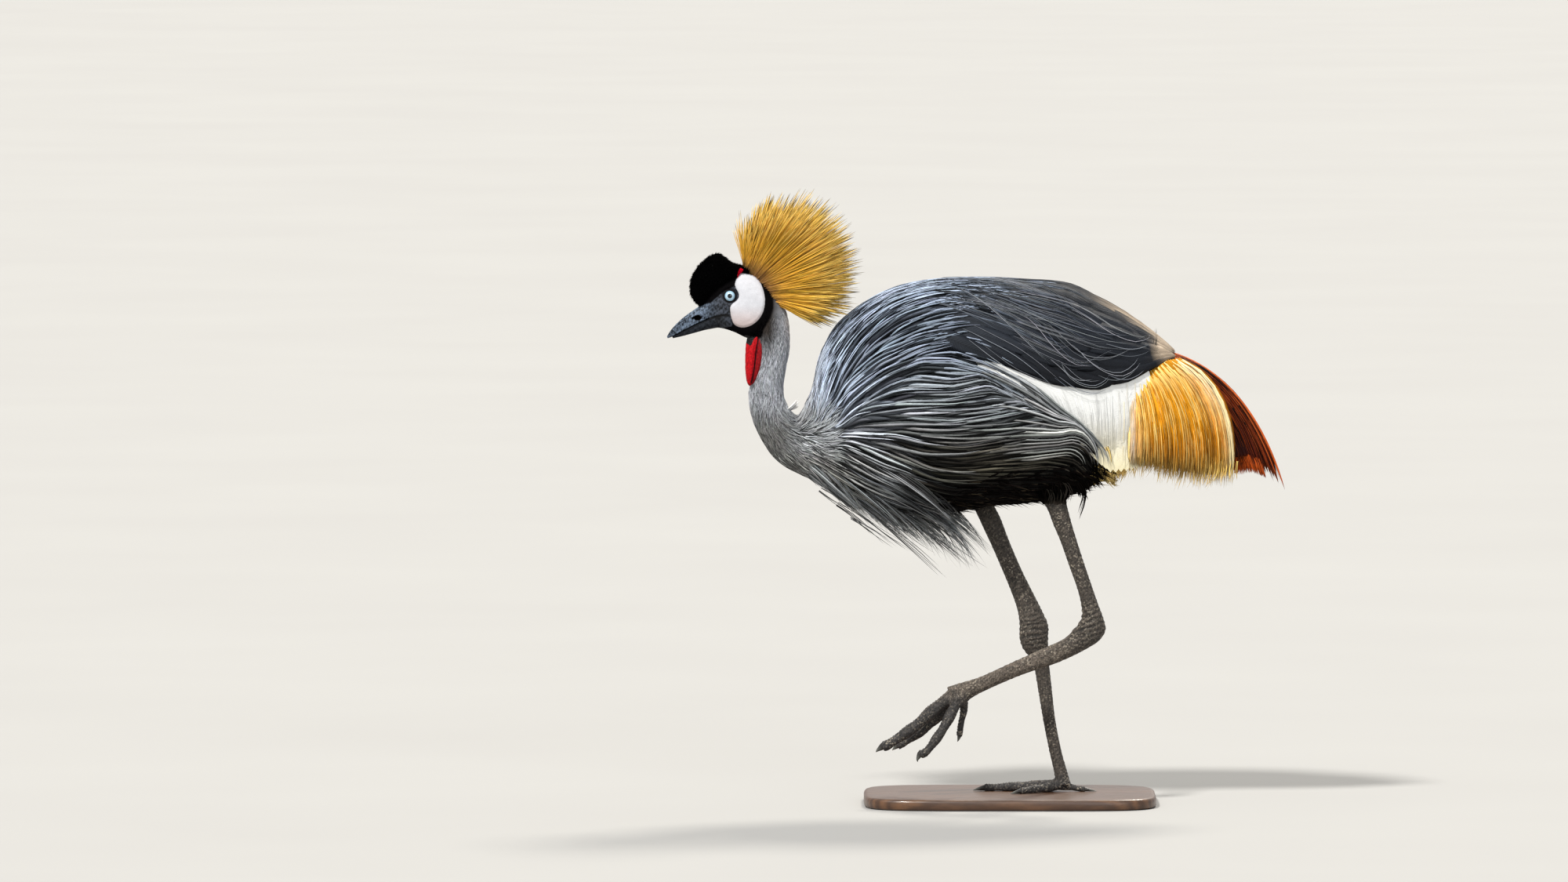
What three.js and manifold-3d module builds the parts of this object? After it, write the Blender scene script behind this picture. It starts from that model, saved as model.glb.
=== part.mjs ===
// Grey crowned crane, life size, walking: one leg planted on a flat base, the other lifted and folded.
// Millimetres, +Z up. The bird faces -X and its left side is towards -Y.
// The origin is on the underside of the base, under the belly, in the bird's mid plane.
import * as THREE from 'three';
import { mergeVertices } from 'three/addons/utils/BufferGeometryUtils.js';
import Module from 'manifold-3d';

const wasm = await Module();
wasm.setup();
const { Manifold, CrossSection } = wasm;

// ---------------------------------------------------------------- driving dimensions
const GRID = 1.02;            // millimetres per unit of the side-view drawing grid (u to the tail, v down)
const GROUND_U = 1300;        // grid column of the origin
const GROUND_V = 1012;        // grid row of the ground line
const GAP = 0.3;              // clearance between neighbouring pieces
const BASE_THICK = 14;        // flat base under the planted foot; its top is the ground line
const BASE_LENGTH = 380, BASE_WIDTH = 250, BASE_BEVEL = 3, BASE_MIDDLE = -12;

const EYE_DIAMETER = 15.5;    // eyeball
const EYE_AT = [931, 376.5];
const CHEEK_THICK = 1.6;      // bare cheek skin, raised above the feathers round it
const WING_THICK = 13;        // depth of the feather layers of the folded wing on the flank
const CREST_REACH = [94, 117, 123, 129, 130, 127, 122, 119, 111, 80]; // crown tips from the hindcrown, from the front edge round to the nape
const CREST_HALF_SPREAD = 76; // half width of the fan of bristles, seen from the front
const CREST_SPIKE = 0.09;     // how far the tips stand out of the fan, of its radius
const GOLD_THICK = [24, 15];   // sheet of hanging gold plumes, at its front and rear edge
const GOLD_OUT = [80, 40];     // its outer face from the mid plane, front and rear
const BLADE_THICK = [34, 6];   // stack of chestnut secondaries of one wing, at its root and tip
const TAIL_HALF_WIDTH = 24;
const TOE = { middle: 118, inner: 84, outer: 96, hind: 44 };   // toes of the planted foot, with claw
const TOE_RADIUS = { middle: 7.6, inner: 6.6, outer: 6.8, hind: 5.2 };
const CLAW_LENGTH = 15;
const TOE_SPREAD = { middle: -4, inner: 34, outer: -42, hind: 172 };  // degrees from straight ahead, + towards the left

// ---------------------------------------------------------------- materials
const paint = (colour, roughness, metalness = 0) => new THREE.MeshStandardMaterial({ color: colour, roughness, metalness });
const M = {
  grey: paint('#8d939b', 0.85), slate: paint('#4c5157', 0.7), white: paint('#e6e1d0', 0.85),
  gold: paint('#dca23c', 0.85), chestnut: paint('#83401f', 0.8), black: paint('#14110f', 0.95),
  skin: paint('#454c57', 0.6), bill: paint('#4a5563', 0.4), cheek: paint('#ddd9dc', 0.65),
  red: paint('#bb1420', 0.5), eye: paint('#a9c6d6', 0.08), wood: paint('#5a4332', 0.6), leg: paint('#3d362c', 0.75), claw: paint('#2a2724', 0.45),
};

// ---------------------------------------------------------------- helpers
// A point of the side-view grid in millimetres.
const X = (u) => (u - GROUND_U) * GRID;
const Z = (v) => (GROUND_V - v) * GRID + BASE_THICK;
const sgnpow = (x, p) => Math.sign(x) * Math.abs(x) ** p;
const mix = (a, b, t) => a + (b - a) * t;
const smooth = (t) => t * t * (3 - 2 * t);

// Value of a list at a fractional index, along a Catmull-Rom curve.
function spline(values, t) {
  const n = values.length - 1;
  const i = Math.min(Math.floor(t), n - 1);
  const f = t - i;
  const b = values[i], c = values[i + 1];
  const a = i > 0 ? values[i - 1] : 2 * b - c;
  const d = i + 2 <= n ? values[i + 2] : 2 * c - b;
  return 0.5 * (2 * b + (c - a) * f + (2 * a - 5 * b + 4 * c - d) * f * f + (3 * b - a - 3 * c + d) * f * f * f);
}

// A closed solid from rings of points, with a fan over each end.
function solidOfRings(rings) {
  const n = rings[0].length, pos = [], tri = [];
  for (const ring of rings) for (const p of ring) pos.push(p.x, p.y, p.z);
  for (let i = 0; i + 1 < rings.length; i++)
    for (let j = 0; j < n; j++) {
      const k = (j + 1) % n, a = i * n + j, b = i * n + k, c = (i + 1) * n + j, d = (i + 1) * n + k;
      tri.push(a, b, d, a, d, c);
    }
  for (const [ring, base, turn] of [[rings[0], 0, false], [rings.at(-1), (rings.length - 1) * n, true]]) {
    const c = ring.reduce((s, p) => s.add(p), new THREE.Vector3()).divideScalar(n);
    const m = pos.length / 3;
    pos.push(c.x, c.y, c.z);
    for (let j = 0; j < n; j++) {
      const k = (j + 1) % n;
      turn ? tri.push(m, base + j, base + k) : tri.push(m, base + k, base + j);
    }
  }
  let volume = 0;
  const P = (i) => new THREE.Vector3(pos[3 * i], pos[3 * i + 1], pos[3 * i + 2]);
  for (let i = 0; i < tri.length; i += 3) volume += P(tri[i]).dot(P(tri[i + 1]).cross(P(tri[i + 2])));
  if (volume < 0) for (let i = 0; i < tri.length; i += 3) [tri[i + 1], tri[i + 2]] = [tri[i + 2], tri[i + 1]];
  return new Manifold(new wasm.Mesh({ numProp: 3, vertProperties: new Float32Array(pos), triVerts: new Uint32Array(tri) }));
}

// A body in side view: ribs of [top u, top v, bottom u, bottom v, half width, y of the middle, roundness, fullness of the lower side].
function ribLoft(ribs, { sides = 16, steps = 2, pad = 0, thin = 0 } = {}) {
  const col = (k, dflt) => ribs.map((r) => r[k] ?? dflt);
  const lists = [col(0), col(1), col(2), col(3), col(4), col(5, 0), col(6, 2), col(7, 0)];
  const rings = [], total = (ribs.length - 1) * steps;
  const rib = (t) => {
    const [tu, tv, bu, bv, w, y, e, low] = lists.map((l) => spline(l, t));
    return { top: new THREE.Vector3(X(tu), y, Z(tv)), bot: new THREE.Vector3(X(bu), y, Z(bv)), w: Math.max(w, 0.25), e, low };
  };
  for (let s = 0; s <= total; s++) {
    const { top, bot, w, e, low } = rib(s / steps);
    const c = top.clone().add(bot).multiplyScalar(0.5);
    const a = top.clone().sub(bot).multiplyScalar(0.5);
    const la = a.length();
    a.multiplyScalar(Math.max(la + pad - thin, 0.2) / la);
    // a padded copy is also longer by the pad at each end, and a thinned one shorter
    if (pad !== thin && (s === 0 || s === total)) {
      const q = rib((s === 0 ? 1 : total - 1) / steps);
      const away = c.clone().sub(q.top.clone().add(q.bot).multiplyScalar(0.5)).normalize();
      c.addScaledVector(away, pad - thin);
    }
    const ring = [];
    for (let j = 0; j < sides; j++) {
      const th = (2 * Math.PI * j) / sides;
      const sn = sgnpow(Math.sin(th), 2 / e), cs = sgnpow(Math.cos(th), 2 / e);
      const wide = Math.max(w + pad - thin, 0.2) * (1 - low * sn);
      ring.push(new THREE.Vector3(c.x + a.x * sn, c.y + wide * cs, c.z + a.z * sn));
    }
    rings.push(ring);
  }
  return solidOfRings(rings);
}

// A round limb along a curve through points [x, y, z], radius from a function of the length, wide and high factors.
function limb(points, radius, { sides = 10, steps = 10, wide = 1, high = 1, up = [0, 0, 1] } = {}) {
  const curve = new THREE.CatmullRomCurve3(points.map((p) => new THREE.Vector3(...p)));
  const rings = [], UP = new THREE.Vector3(...up);
  for (let s = 0; s <= steps; s++) {
    const t = s / steps, c = curve.getPointAt(t), dir = curve.getTangentAt(t), r = radius(t);
    const side = UP.clone().cross(dir).normalize(), top = dir.clone().cross(side);
    const ring = [];
    for (let j = 0; j < sides; j++) {
      const th = (2 * Math.PI * (j + 0.5)) / sides;
      ring.push(c.clone().addScaledVector(side, r * wide * Math.cos(th)).addScaledVector(top, r * high * Math.sin(th)));
    }
    rings.push(ring);
  }
  return solidOfRings(rings);
}

// A side-view outline given on the grid, as a slab through y from..to.
function slab(outline, from, to, grow = 0) {
  const section = new CrossSection([outline.map(([u, v]) => [X(u), Z(v)])], 'NonZero').offset(grow, 'Miter');
  return section.extrude(to - from).rotate([90, 0, 0]).translate([0, to, 0]);
}
// The strip of half thickness h along a side-view line: a thin cut.
function strip(line, h, from, to) {
  const pts = line.map(([u, v]) => new THREE.Vector2(X(u), Z(v)));
  const left = [], right = [];
  pts.forEach((p, i) => {
    const d = pts[Math.min(i + 1, pts.length - 1)].clone().sub(pts[Math.max(i - 1, 0)]).normalize();
    left.push([p.x - d.y * h, p.y + d.x * h]);
    right.unshift([p.x + d.y * h, p.y - d.x * h]);
  });
  return new CrossSection([[...left, ...right]], 'NonZero').extrude(to - from).rotate([90, 0, 0]).translate([0, to, 0]);
}
const curvePoints = (pts, n) => new THREE.SplineCurve(pts.map((p) => new THREE.Vector2(...p))).getPoints(n).map((p) => [p.x, p.y]);
const mirror = (m) => m.mirror([0, 1, 0]);
// Both sides alike: the left half and its mirror image.
const bothSides = (m) => { const half = m.trimByPlane([0, -1, 0], 0); return half.add(mirror(half)); };
const largest = (m) => m.decompose().sort((a, b) => b.volume() - a.volume())[0];
const less = (m, ...cutters) => cutters.reduce((s, c) => s.subtract(c), m);

// A ragged lower edge: teeth along a line of the grid, each with its tip moved by (du, dv).
function fringe(a, b, teeth, du, dv, uneven = 0.35) {
  const out = [];
  for (let i = 0; i < teeth; i++) {
    const t = i / teeth, m = (i + 0.5) / teeth;
    const k = 1 - uneven * (0.5 + 0.5 * Math.sin(i * 2.4));
    out.push([mix(a[0], b[0], t), mix(a[1], b[1], t)]);
    out.push([mix(a[0], b[0], m) + du * k, mix(a[1], b[1], m) + dv * k]);
  }
  out.push(b);
  return out;
}

const group = new THREE.Group();
const parts = { head: new THREE.Group(), body: new THREE.Group(), legs: new THREE.Group() };
Object.values(parts).forEach((g) => group.add(g));

// The triangles of a solid, with points nearer than a micrometre or so merged.
function trianglesOf(solid) {
  const { vertProperties, triVerts, numProp } = solid.getMesh();
  const flat = new Float32Array(triVerts.length * 3);
  triVerts.forEach((v, i) => { for (let k = 0; k < 3; k++) flat[3 * i + k] = vertProperties[v * numProp + k]; });
  return mergeVertices(new THREE.BufferGeometry().setAttribute('position', new THREE.BufferAttribute(flat, 3)), 2e-3);
}
// Adds a solid as a named mesh, placed by its own middle.
function add(name, solid, material, where, tolerance = 0.1) {
  let clean = largest(solid).simplify(tolerance);
  for (let pass = 0; pass < 3; pass++) {
    if (pass) clean = clean.simplify(0.03);
    const g = trianglesOf(clean);
    clean = largest(new Manifold(new wasm.Mesh({ numProp: 3, vertProperties: g.attributes.position.array, triVerts: new Uint32Array(g.index.array) })));
  }
  const g = trianglesOf(clean);
  g.computeBoundingBox();
  const mid = g.boundingBox.getCenter(new THREE.Vector3()).round();
  g.translate(-mid.x, -mid.y, -mid.z);
  g.computeVertexNormals();
  const mesh = new THREE.Mesh(g, material);
  mesh.name = name;
  mesh.position.copy(mid);
  where.add(mesh);
  return clean;
}

// ---------------------------------------------------------------- head and neck
// ribs: top u, v, bottom u, v, half width, y, roundness, lower fullness
const HEAD = [
  [894.0, 388.5, 911.5, 417.2, 8.6, 0, 2.2], [904, 370, 925, 419.5, 12.2, 0, 2.2], [919, 354, 938, 424, 15.8, 0, 2.3],
  [940, 344.5, 953, 431, 18.6, 0, 2.3], [962, 345, 970, 434, 20.2, 0, 2.2], [979, 356, 984, 430, 19.2, 0, 2.1],
  [990, 374, 997, 420, 15, 0, 2], [996, 388, 1003, 408, 8.5, 0, 2],
];
const NECK = [
  [986, 372, 962, 398, 14], [1004.5, 400, 957, 424, 19.2], [1008, 438, 962, 443, 20], [1003.5, 468, 961.5, 472, 20.4],
  [999.5, 496, 957, 502, 21.6], [1003.5, 514, 962, 536, 24.5], [1015, 530, 974, 566, 30], [1034, 540, 991, 588, 38],
  [1060, 548, 1020, 605, 47], [1090, 555, 1050, 616, 54],
];
const UPPER_BILL = [
  [896, 387.5, 907, 404.8, 8.8, 0, 2.2], [885, 395, 895, 410.4, 7.6, 0, 2.2], [873, 403.5, 881, 417.2, 6.3, 0, 2.2],
  [862, 413.5, 868, 424.2, 4.6, 0, 2.1], [854.5, 422.5, 858, 429.2, 2.8], [850.6, 429, 851.8, 431.4, 1.0],
];
const LOWER_BILL = [
  [907, 405.6, 914, 418, 8.4, 0, 2.3], [895, 411.2, 900, 420.8, 7.0, 0, 2.3], [881, 418, 885, 424.8, 5.4, 0, 2.2],
  [868.5, 424.9, 871, 428.6, 3.6], [859, 429.6, 860, 431.2, 1.6],
];
const CAP = [
  [893, 392, 898, 386, 6.5, 0, 2.2], [880.5, 376, 903, 384, 12, 0, 2.3], [880, 355, 913, 373, 16, 0, 2.4],
  [890.5, 333.5, 924, 366, 18.6, 0, 2.5], [912, 321.5, 936, 360, 19.6, 0, 2.5], [931, 329, 946, 350, 19.2, 0, 2.3],
  [948, 337.5, 955, 350, 16.5, 0, 2.2], [962.5, 346, 965, 357, 12, 0, 2.1], [972.5, 359, 972, 366, 7],
];
// The folded wing bulges out over the shoulder, so the body is widest a little above its middle.
const BODY = [
  [1018, 533, 1012, 598, 34, 0, 2.1], [1036, 497, 1041, 613, 53, 0, 2.1], [1046, 454, 1070, 627, 73, 0, 2.1],
  [1066, 416, 1102, 641, 89, 0, 2.15], [1098, 388.5, 1137, 650, 103, 0, 2.2, -0.03], [1141, 366.5, 1178, 655, 113, 0, 2.2, -0.05],
  [1192, 356, 1222, 651, 118, 0, 2.25, -0.06], [1252, 354.5, 1270, 643, 118, 0, 2.3, -0.08], [1312, 357, 1318, 640, 112, 0, 2.3, -0.1],
  [1362, 361.5, 1363, 631, 103, 0, 2.3, -0.1], [1404, 381, 1406, 612, 92, 0, 2.4, -0.06], [1442, 403, 1441, 593, 79, 0, 2.7],
  [1476, 428, 1474, 566, 64, 0, 2.6], [1500, 449, 1500, 524, 42, 0, 2.3],
];
// Leading edge, lower edge and tip of the slate feathers of the folded wing; the white coverts lie under them.
const SLATE_EDGE = [[1190, 424], [1228, 444], [1276, 463], [1308, 479], [1337, 491], [1369, 500.5], [1400, 502], [1420, 499],
  [1440, 490], [1461, 474], [1486, 456], [1506, 452]];
const SLATE_FRONT = [[1296, 318], [1271, 343], [1239, 375], [1205, 408], [1190, 424]];
const FLANK_EDGE = [[1262, 452], [1290, 473], [1321, 495], [1350, 514], [1375, 534], [1393, 551], [1404, 566], [1411, 590], [1413, 640]];
const GOLD_FRONT = [[1456, 470], [1450, 520], [1447, 560], [1452, 620]];

// Feathered thighs, dark, mostly under the belly.
const THIGH = {
  right: [[1226, 560, 1292, 560, 26, 46], [1226, 596, 1285, 596, 22, 43], [1231, 622, 1276, 618, 18, 40], [1236, 640, 1268, 634, 14, 38.5]],
  left: [[1296, 560, 1372, 560, 26, -46], [1302, 596, 1372, 592, 23, -44], [1316, 622, 1368, 616, 18.5, -42.5], [1329, 640, 1364, 632, 14, -42]],
};

const headBody = (pad = 0) => ribLoft(HEAD, { sides: 16, steps: 1, pad });
const neckBody = (pad = 0) => ribLoft(NECK, { sides: 16, steps: 1, pad });
const bodyBody = (pad = 0, thin = 0) => ribLoft(BODY, { sides: 22, steps: 1, pad, thin });

// Head, neck and body are modelled whole and parted with thin cuts.
const heightOf = (m) => { const b = m.boundingBox(); return (b.min[2] + b.max[2]) / 2; };
const flesh = bothSides(Manifold.union([headBody(), neckBody(), bodyBody()]));
const cuts = [
  [[940, 447], [966, 437], [990, 418], [1016, 397]], [[940, 484], [1020, 480]],
  [[950, 556], [985, 536], [1022, 511]], [[1026, 508], [1017, 526], [1010, 570], [1006, 612]],
].map((line) => strip(line, GAP / 2, -140, 140));
const lengths = less(flesh, ...cuts).decompose().filter((m) => m.volume() > 2000);
const bodySolid = lengths.sort((a, b) => b.volume() - a.volume())[0];
let [head, neckUpper, neckMiddle, neckLower] = lengths.slice(1).sort((a, b) => heightOf(b) - heightOf(a));

const eyeBall = (r, side) => Manifold.sphere(r, 16).scale([1, 0.8, 1]).translate([X(EYE_AT[0]), side * 11.6, Z(EYE_AT[1])]);
const bills = [ribLoft(UPPER_BILL, { sides: 12, steps: 1 }), ribLoft(LOWER_BILL, { sides: 12, steps: 1 })];
const cutBase = strip([[888, 380], [893.5, 388], [913, 418.5], [918, 426]], GAP / 2 + 0.01, -30, 30);
const beforeBase = slab([[800, 300], [893.5 - 6, 378], [893.5, 388], [913, 418.5], [917, 424], [917, 480], [800, 480]], -40, 40);
head = less(head, beforeBase, cutBase);
head = less(head, eyeBall(EYE_DIAMETER / 2 + GAP, 1), eyeBall(EYE_DIAMETER / 2 + GAP, -1));
for (const side of [-1, 1]) add(side < 0 ? 'eye_left' : 'eye_right', eyeBall(EYE_DIAMETER / 2, side), M.eye, parts.head);

const nostril = (side) => Manifold.cylinder(6, 1, 1, 14, true).scale([5.6, 3.0, 1]).rotate([0, 0, 35]).rotate([90, 0, 0])
  .translate([X(887.5), side * 8.2, Z(405)]);
const capPad = ribLoft(CAP, { sides: 16, steps: 1, pad: GAP });
add('bill_upper', bothSides(less(bills[0].intersect(beforeBase), cutBase, nostril(-1), capPad)), M.bill, parts.head);
add('bill_lower', less(bills[1].intersect(beforeBase), cutBase, ribLoft(UPPER_BILL, { sides: 12, steps: 1, pad: GAP })), M.bill, parts.head);

// Velvet cap, a cushion over the forehead that reaches back over the crown.
const cap = less(ribLoft(CAP, { sides: 16, steps: 1 }), headBody(GAP));
add('cap', bothSides(cap), M.black, parts.head);

// Kidney-shaped bare cheeks.
const CHEEK = [[950, 344], [964, 350], [971.5, 362], [976, 380], [974.5, 392], [966, 407], [949, 417], [939, 415], [934, 407],
  [931.8, 394], [935, 386.5], [942.5, 379], [942.5, 373], [938, 364], [941.5, 353], [950, 344]];
const cheekLeft = slab(curvePoints(CHEEK, 26), -40, -6).intersect(headBody(GAP + CHEEK_THICK));
for (const side of [-1, 1]) {
  let c = less(cheekLeft, headBody(GAP), capPad, eyeBall(EYE_DIAMETER / 2 + GAP, -1), neckBody(GAP));
  if (side > 0) c = mirror(c);
  add(side < 0 ? 'cheek_left' : 'cheek_right', c, M.cheek, parts.head);
}

// Throat wattle: two flat lobes that hang side by side in front of the neck, the right one a little further forward.
const lobe = (shift, y) => ribLoft([
  [968 + shift, 428, 957 + shift, 431, 4.5, y], [974 + shift, 441, 955.5 + shift, 441, 7.5, y * 1.1], [973.5 + shift, 458, 954 + shift, 459, 8.6, y * 1.2],
  [969 + shift, 474, 954.5 + shift, 476, 8, y * 1.2], [962.5 + shift, 487, 956 + shift, 488, 5, y * 1.15], [959 + shift, 492, 957.5 + shift, 492, 1.6, y * 1.15],
], { sides: 10, steps: 1 });
const wattleLeft = lobe(0, -9.5), wattleRight = lobe(-3, 8.6);
const midPlane = Manifold.cube([400, GAP, 400], true).translate([X(960), 0, Z(450)]);
add('wattle_left', less(wattleLeft, neckBody(GAP), headBody(GAP), midPlane, slab([[900, 300], [1020, 300], [1020, 520], [900, 520]], 0, 60)), M.red, parts.head);
add('wattle_right', less(wattleRight, neckBody(GAP), headBody(GAP), midPlane, slab([[900, 300], [1020, 300], [1020, 520], [900, 520]], -60, 0)), M.red, parts.head);

// Crown: a fan of stiff bristles from the back of the head, as one closed fan with the tips standing out.
function crest(pad = 0) {
  const rows = 11, cols = 12, rings = [], from = 116, to = -42;   // degrees above the horizontal
  for (let i = 0; i <= rows; i++) {
    const s = i / rows, ang = THREE.MathUtils.degToRad(mix(from, to, s));
    const hub = new THREE.Vector3(X(978), 0, Z(358));
    const root = new THREE.Vector3(X(mix(950, 992, s)), 0, Z(mix(352, 390, s)));
    const out = new THREE.Vector3(Math.cos(ang), 0, Math.sin(ang));
    const reach = spline(CREST_REACH, s * (CREST_REACH.length - 1)) * GRID;
    const wide = Math.sqrt(Math.max(1 - Math.abs(2 * s - 1) ** 2.4 * 0.92, 0.02));
    const ring = [];
    for (let j = 0; j <= cols; j++) {
      const b = (2 * j) / cols - 1;                  // across the fan
      const spike = 1 + ((i + j) % 2 ? 0 : -CREST_SPIKE * 2) * (1 - Math.abs(b) ** 8);
      const tip = hub.clone().addScaledVector(out, reach * spike * Math.cos(b * 0.66) + pad);
      ring.push(tip.setY((CREST_HALF_SPREAD * wide * Math.sin(b * 1.25)) / Math.sin(1.25) + Math.sign(b) * pad));
    }
    for (let j = cols; j >= 0; j -= 3) {
      const b = (2 * j) / cols - 1;
      ring.push(root.clone().addScaledVector(out, -8 - pad).setY(b * (12 * (0.4 + 0.6 * wide) + pad)));
    }
    rings.push(ring);
  }
  return solidOfRings(rings);
}
const cheekPad = less(slab(curvePoints(CHEEK, 26), -40, -6, GAP).intersect(headBody(3 * GAP + CHEEK_THICK)), headBody(0));
add('crown', bothSides(less(crest(), headBody(GAP), neckBody(GAP), capPad, bodyBody(GAP), cheekPad)), M.gold, parts.head);
add('head', bothSides(head), M.skin, parts.head);
add('neck_upper', bothSides(neckUpper), M.grey, parts.body);
add('neck_middle', bothSides(neckMiddle), M.grey, parts.body);
add('neck_lower', bothSides(neckLower), M.grey, parts.body, 0.14);

// ---------------------------------------------------------------- body and wings
const shell = less(bodySolid, bodyBody(0, WING_THICK));
const wingSpan = 200;
const slateOutline = [...SLATE_FRONT, ...SLATE_EDGE.slice(1), [1530, 440], [1520, 330]];
const whiteOutline = [...FLANK_EDGE, [1452, 640], ...[...GOLD_FRONT].reverse(), ...SLATE_EDGE.slice(2, 9).reverse()];
const layer = (outline) => slab(outline, -wingSpan, -GAP / 2).intersect(shell);
const cutSlate = strip([...SLATE_FRONT.slice(0, -1), ...SLATE_EDGE], GAP / 2, -wingSpan, wingSpan);
const cutFlank = strip(FLANK_EDGE, GAP / 2, -wingSpan, wingSpan);
const slateLeft = less(layer(slateOutline), cutSlate);
const whiteLeft = less(layer(whiteOutline), cutSlate, cutFlank, strip(GOLD_FRONT, GAP / 2, -wingSpan, wingSpan), slab(slateOutline, -wingSpan, 0));
const behindGold = slab([[1456, 460], [1450, 520], [1447, 560], [1452, 660], [1600, 660], [1600, 440], [1486, 440]], -wingSpan, wingSpan);

// Trunk: the body less the wing layers, one layer thinner where the gold plumes start.
const wingRoom = less(bodyBody(GAP), bodyBody(0, WING_THICK + GAP)).intersect(
  Manifold.union([slateOutline, whiteOutline].map((o) => slab(o, -wingSpan, wingSpan, GAP / 2)).concat(behindGold)));
const trunk = less(bodySolid, wingRoom);
const thighRooms = ['left', 'right'].map((side) => ribLoft(THIGH[side], { sides: 14, steps: 1, pad: GAP }));
add('trunk', less(bothSides(trunk), ...thighRooms), M.grey, parts.body, 0.14);
for (const side of [-1, 1]) {
  const tag = side < 0 ? 'left' : 'right';
  const flip = side < 0 ? (m) => m : mirror;
  add(`wing_${tag}_slate`, flip(slateLeft), M.slate, parts.body);
  add(`wing_${tag}_white`, flip(whiteLeft), M.white, parts.body);
}

// Gold plumes hang over the rear of each wing as a drooping sheet.
const goldTop = [[1440, 486], [1461, 474], [1486, 457], [1503, 458], [1525, 475], [1553, 508], [1568, 545], [1572, 582], [1574, 612]];
const goldOutline = [...goldTop, ...fringe([1572, 613], [1500, 606], 5, -6, 9).slice(1), ...fringe([1500, 606], [1446, 588], 4, -4, 8).slice(1), [1440, 560]];
function sheet(pad = 0) {
  // the sheet follows the flank inwards towards the rear, and leans in a little above and below
  const rings = [];
  for (let i = 0; i <= 6; i++) {
    const s = i / 6, u = mix(1436, 1590, s), ring = [];
    const out = mix(...GOLD_OUT, smooth(s)), thick = mix(...GOLD_THICK, s);
    for (let j = 0; j <= 5; j++) {
      const q = j / 5, lean = 1 - 0.2 * ((q - 0.48) / 0.42) ** 2;
      ring.push(new THREE.Vector3(X(u), -out * lean - pad, Z(mix(640, 430, q))));
    }
    for (let j = 5; j >= 0; j--) ring.push(new THREE.Vector3(ring[j].x, Math.min(ring[j].y + thick + 2 * pad, -2 + pad), ring[j].z));
    rings.push(ring);
  }
  return solidOfRings(rings);
}
const fullBody = bodyBody(GAP);
const sheetPad = sheet(GAP);
const goldLeft = less(sheet().intersect(slab(goldOutline, -wingSpan, -4)), slab(slateOutline, -wingSpan, 0),
  cutSlate, strip(GOLD_FRONT, GAP / 2, -wingSpan, 0), slab([[1300, 400], ...GOLD_FRONT, [1300, 700]], -wingSpan, 0), bodyBody(0, WING_THICK - GAP));
add('wing_left_gold', goldLeft, M.gold, parts.body);
add('wing_right_gold', mirror(goldLeft), M.gold, parts.body);

// Chestnut secondaries: one long curved blade stack per wing, side by side over the tail.
const bladeTop = [[1478, 434], [1502, 450], [1531, 463], [1565, 487], [1598, 521], [1621, 558], [1635, 598], [1640, 626]];
const bladeOutline = [...bladeTop, ...[[1628, 612], [1619, 611], [1611, 600], [1603, 600], [1590, 590], [1560, 566], [1520, 528], [1488, 492], [1474, 462]]];
function blade(pad = 0) {
  const rings = [];
  for (let i = 0; i <= 8; i++) {
    const s = i / 8, u = mix(1468, 1645, s), ring = [];
    const yo = -mix(...BLADE_THICK, smooth(Math.min(s * 1.15, 1))) - pad, yi = -GAP / 2;
    for (let j = 0; j <= 4; j++) ring.push(new THREE.Vector3(X(u), yo * (0.35 + 0.65 * Math.sin(Math.PI * Math.min(1, (j + 0.6) / 4.2) * 0.5) ** 0.5), Z(mix(420, 640, j / 4))));
    for (let j = 4; j >= 0; j--) ring.push(new THREE.Vector3(X(u), yi, Z(mix(420, 640, j / 4))));
    rings.push(ring);
  }
  return solidOfRings(rings);
}
const bladeLeft = less(blade().intersect(slab(bladeOutline, -60, 0)), fullBody, sheetPad);
add('wing_left_chestnut', bladeLeft, M.chestnut, parts.body);
add('wing_right_chestnut', mirror(bladeLeft), M.chestnut, parts.body);

// Tail: short flat feathers below the secondaries, between the gold plumes.
const tailOutline = [[1440, 520], [1500, 535], [1545, 568], [1582, 602], ...fringe([1580, 606], [1566, 611], 2, 4, 6).slice(1), [1520, 578], [1480, 560], [1440, 556]];
const tail = less(slab(tailOutline, -TAIL_HALF_WIDTH, TAIL_HALF_WIDTH), bladeLeftPad(), mirror(bladeLeftPad()));
function bladeLeftPad() { return blade(GAP).intersect(slab([[1468, 420], ...bladeTop.map(([u, v]) => [u + 1, v - 1]), [1641, 630], [1603, 602], [1590, 592], [1560, 567], [1520, 529], [1488, 493], [1468, 470]], -60, 1)); }
add('tail', bothSides(less(tail, bodyBody(0, WING_THICK), slab(slateOutline, -wingSpan, wingSpan), slab([[1300, 400], ...GOLD_FRONT.map(([u, v]) => [u + 0.4, v]), [1300, 700]], -wingSpan, wingSpan), sheetPad, mirror(sheetPad))), M.black, parts.body);

// Long plumes of the lower breast hang free and end in separate points.
const plumeOutline = [[1074, 622], [1088, 640], [1104, 656], [1117, 673], [1120, 662], [1138, 684], [1160, 697], [1189, 712], [1180, 694],
  [1208, 708], [1243, 719], [1226, 701], [1266, 706], [1238, 684], [1250, 682], [1224, 664], [1246, 668], [1226, 652], [1246, 650], [1236, 636], [1180, 620], [1110, 606]];
const plumeBody = ribLoft([
  [1078, 600, 1070, 640, 30, 0, 1.8], [1110, 600, 1100, 672, 42, 0, 1.7], [1150, 600, 1140, 702, 46, 0, 1.6], [1190, 600, 1186, 722, 44, 0, 1.5],
  [1225, 600, 1232, 728, 34, 0, 1.5], [1250, 600, 1272, 716, 18, 0, 1.5],
], { sides: 14, steps: 1 });

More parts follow.
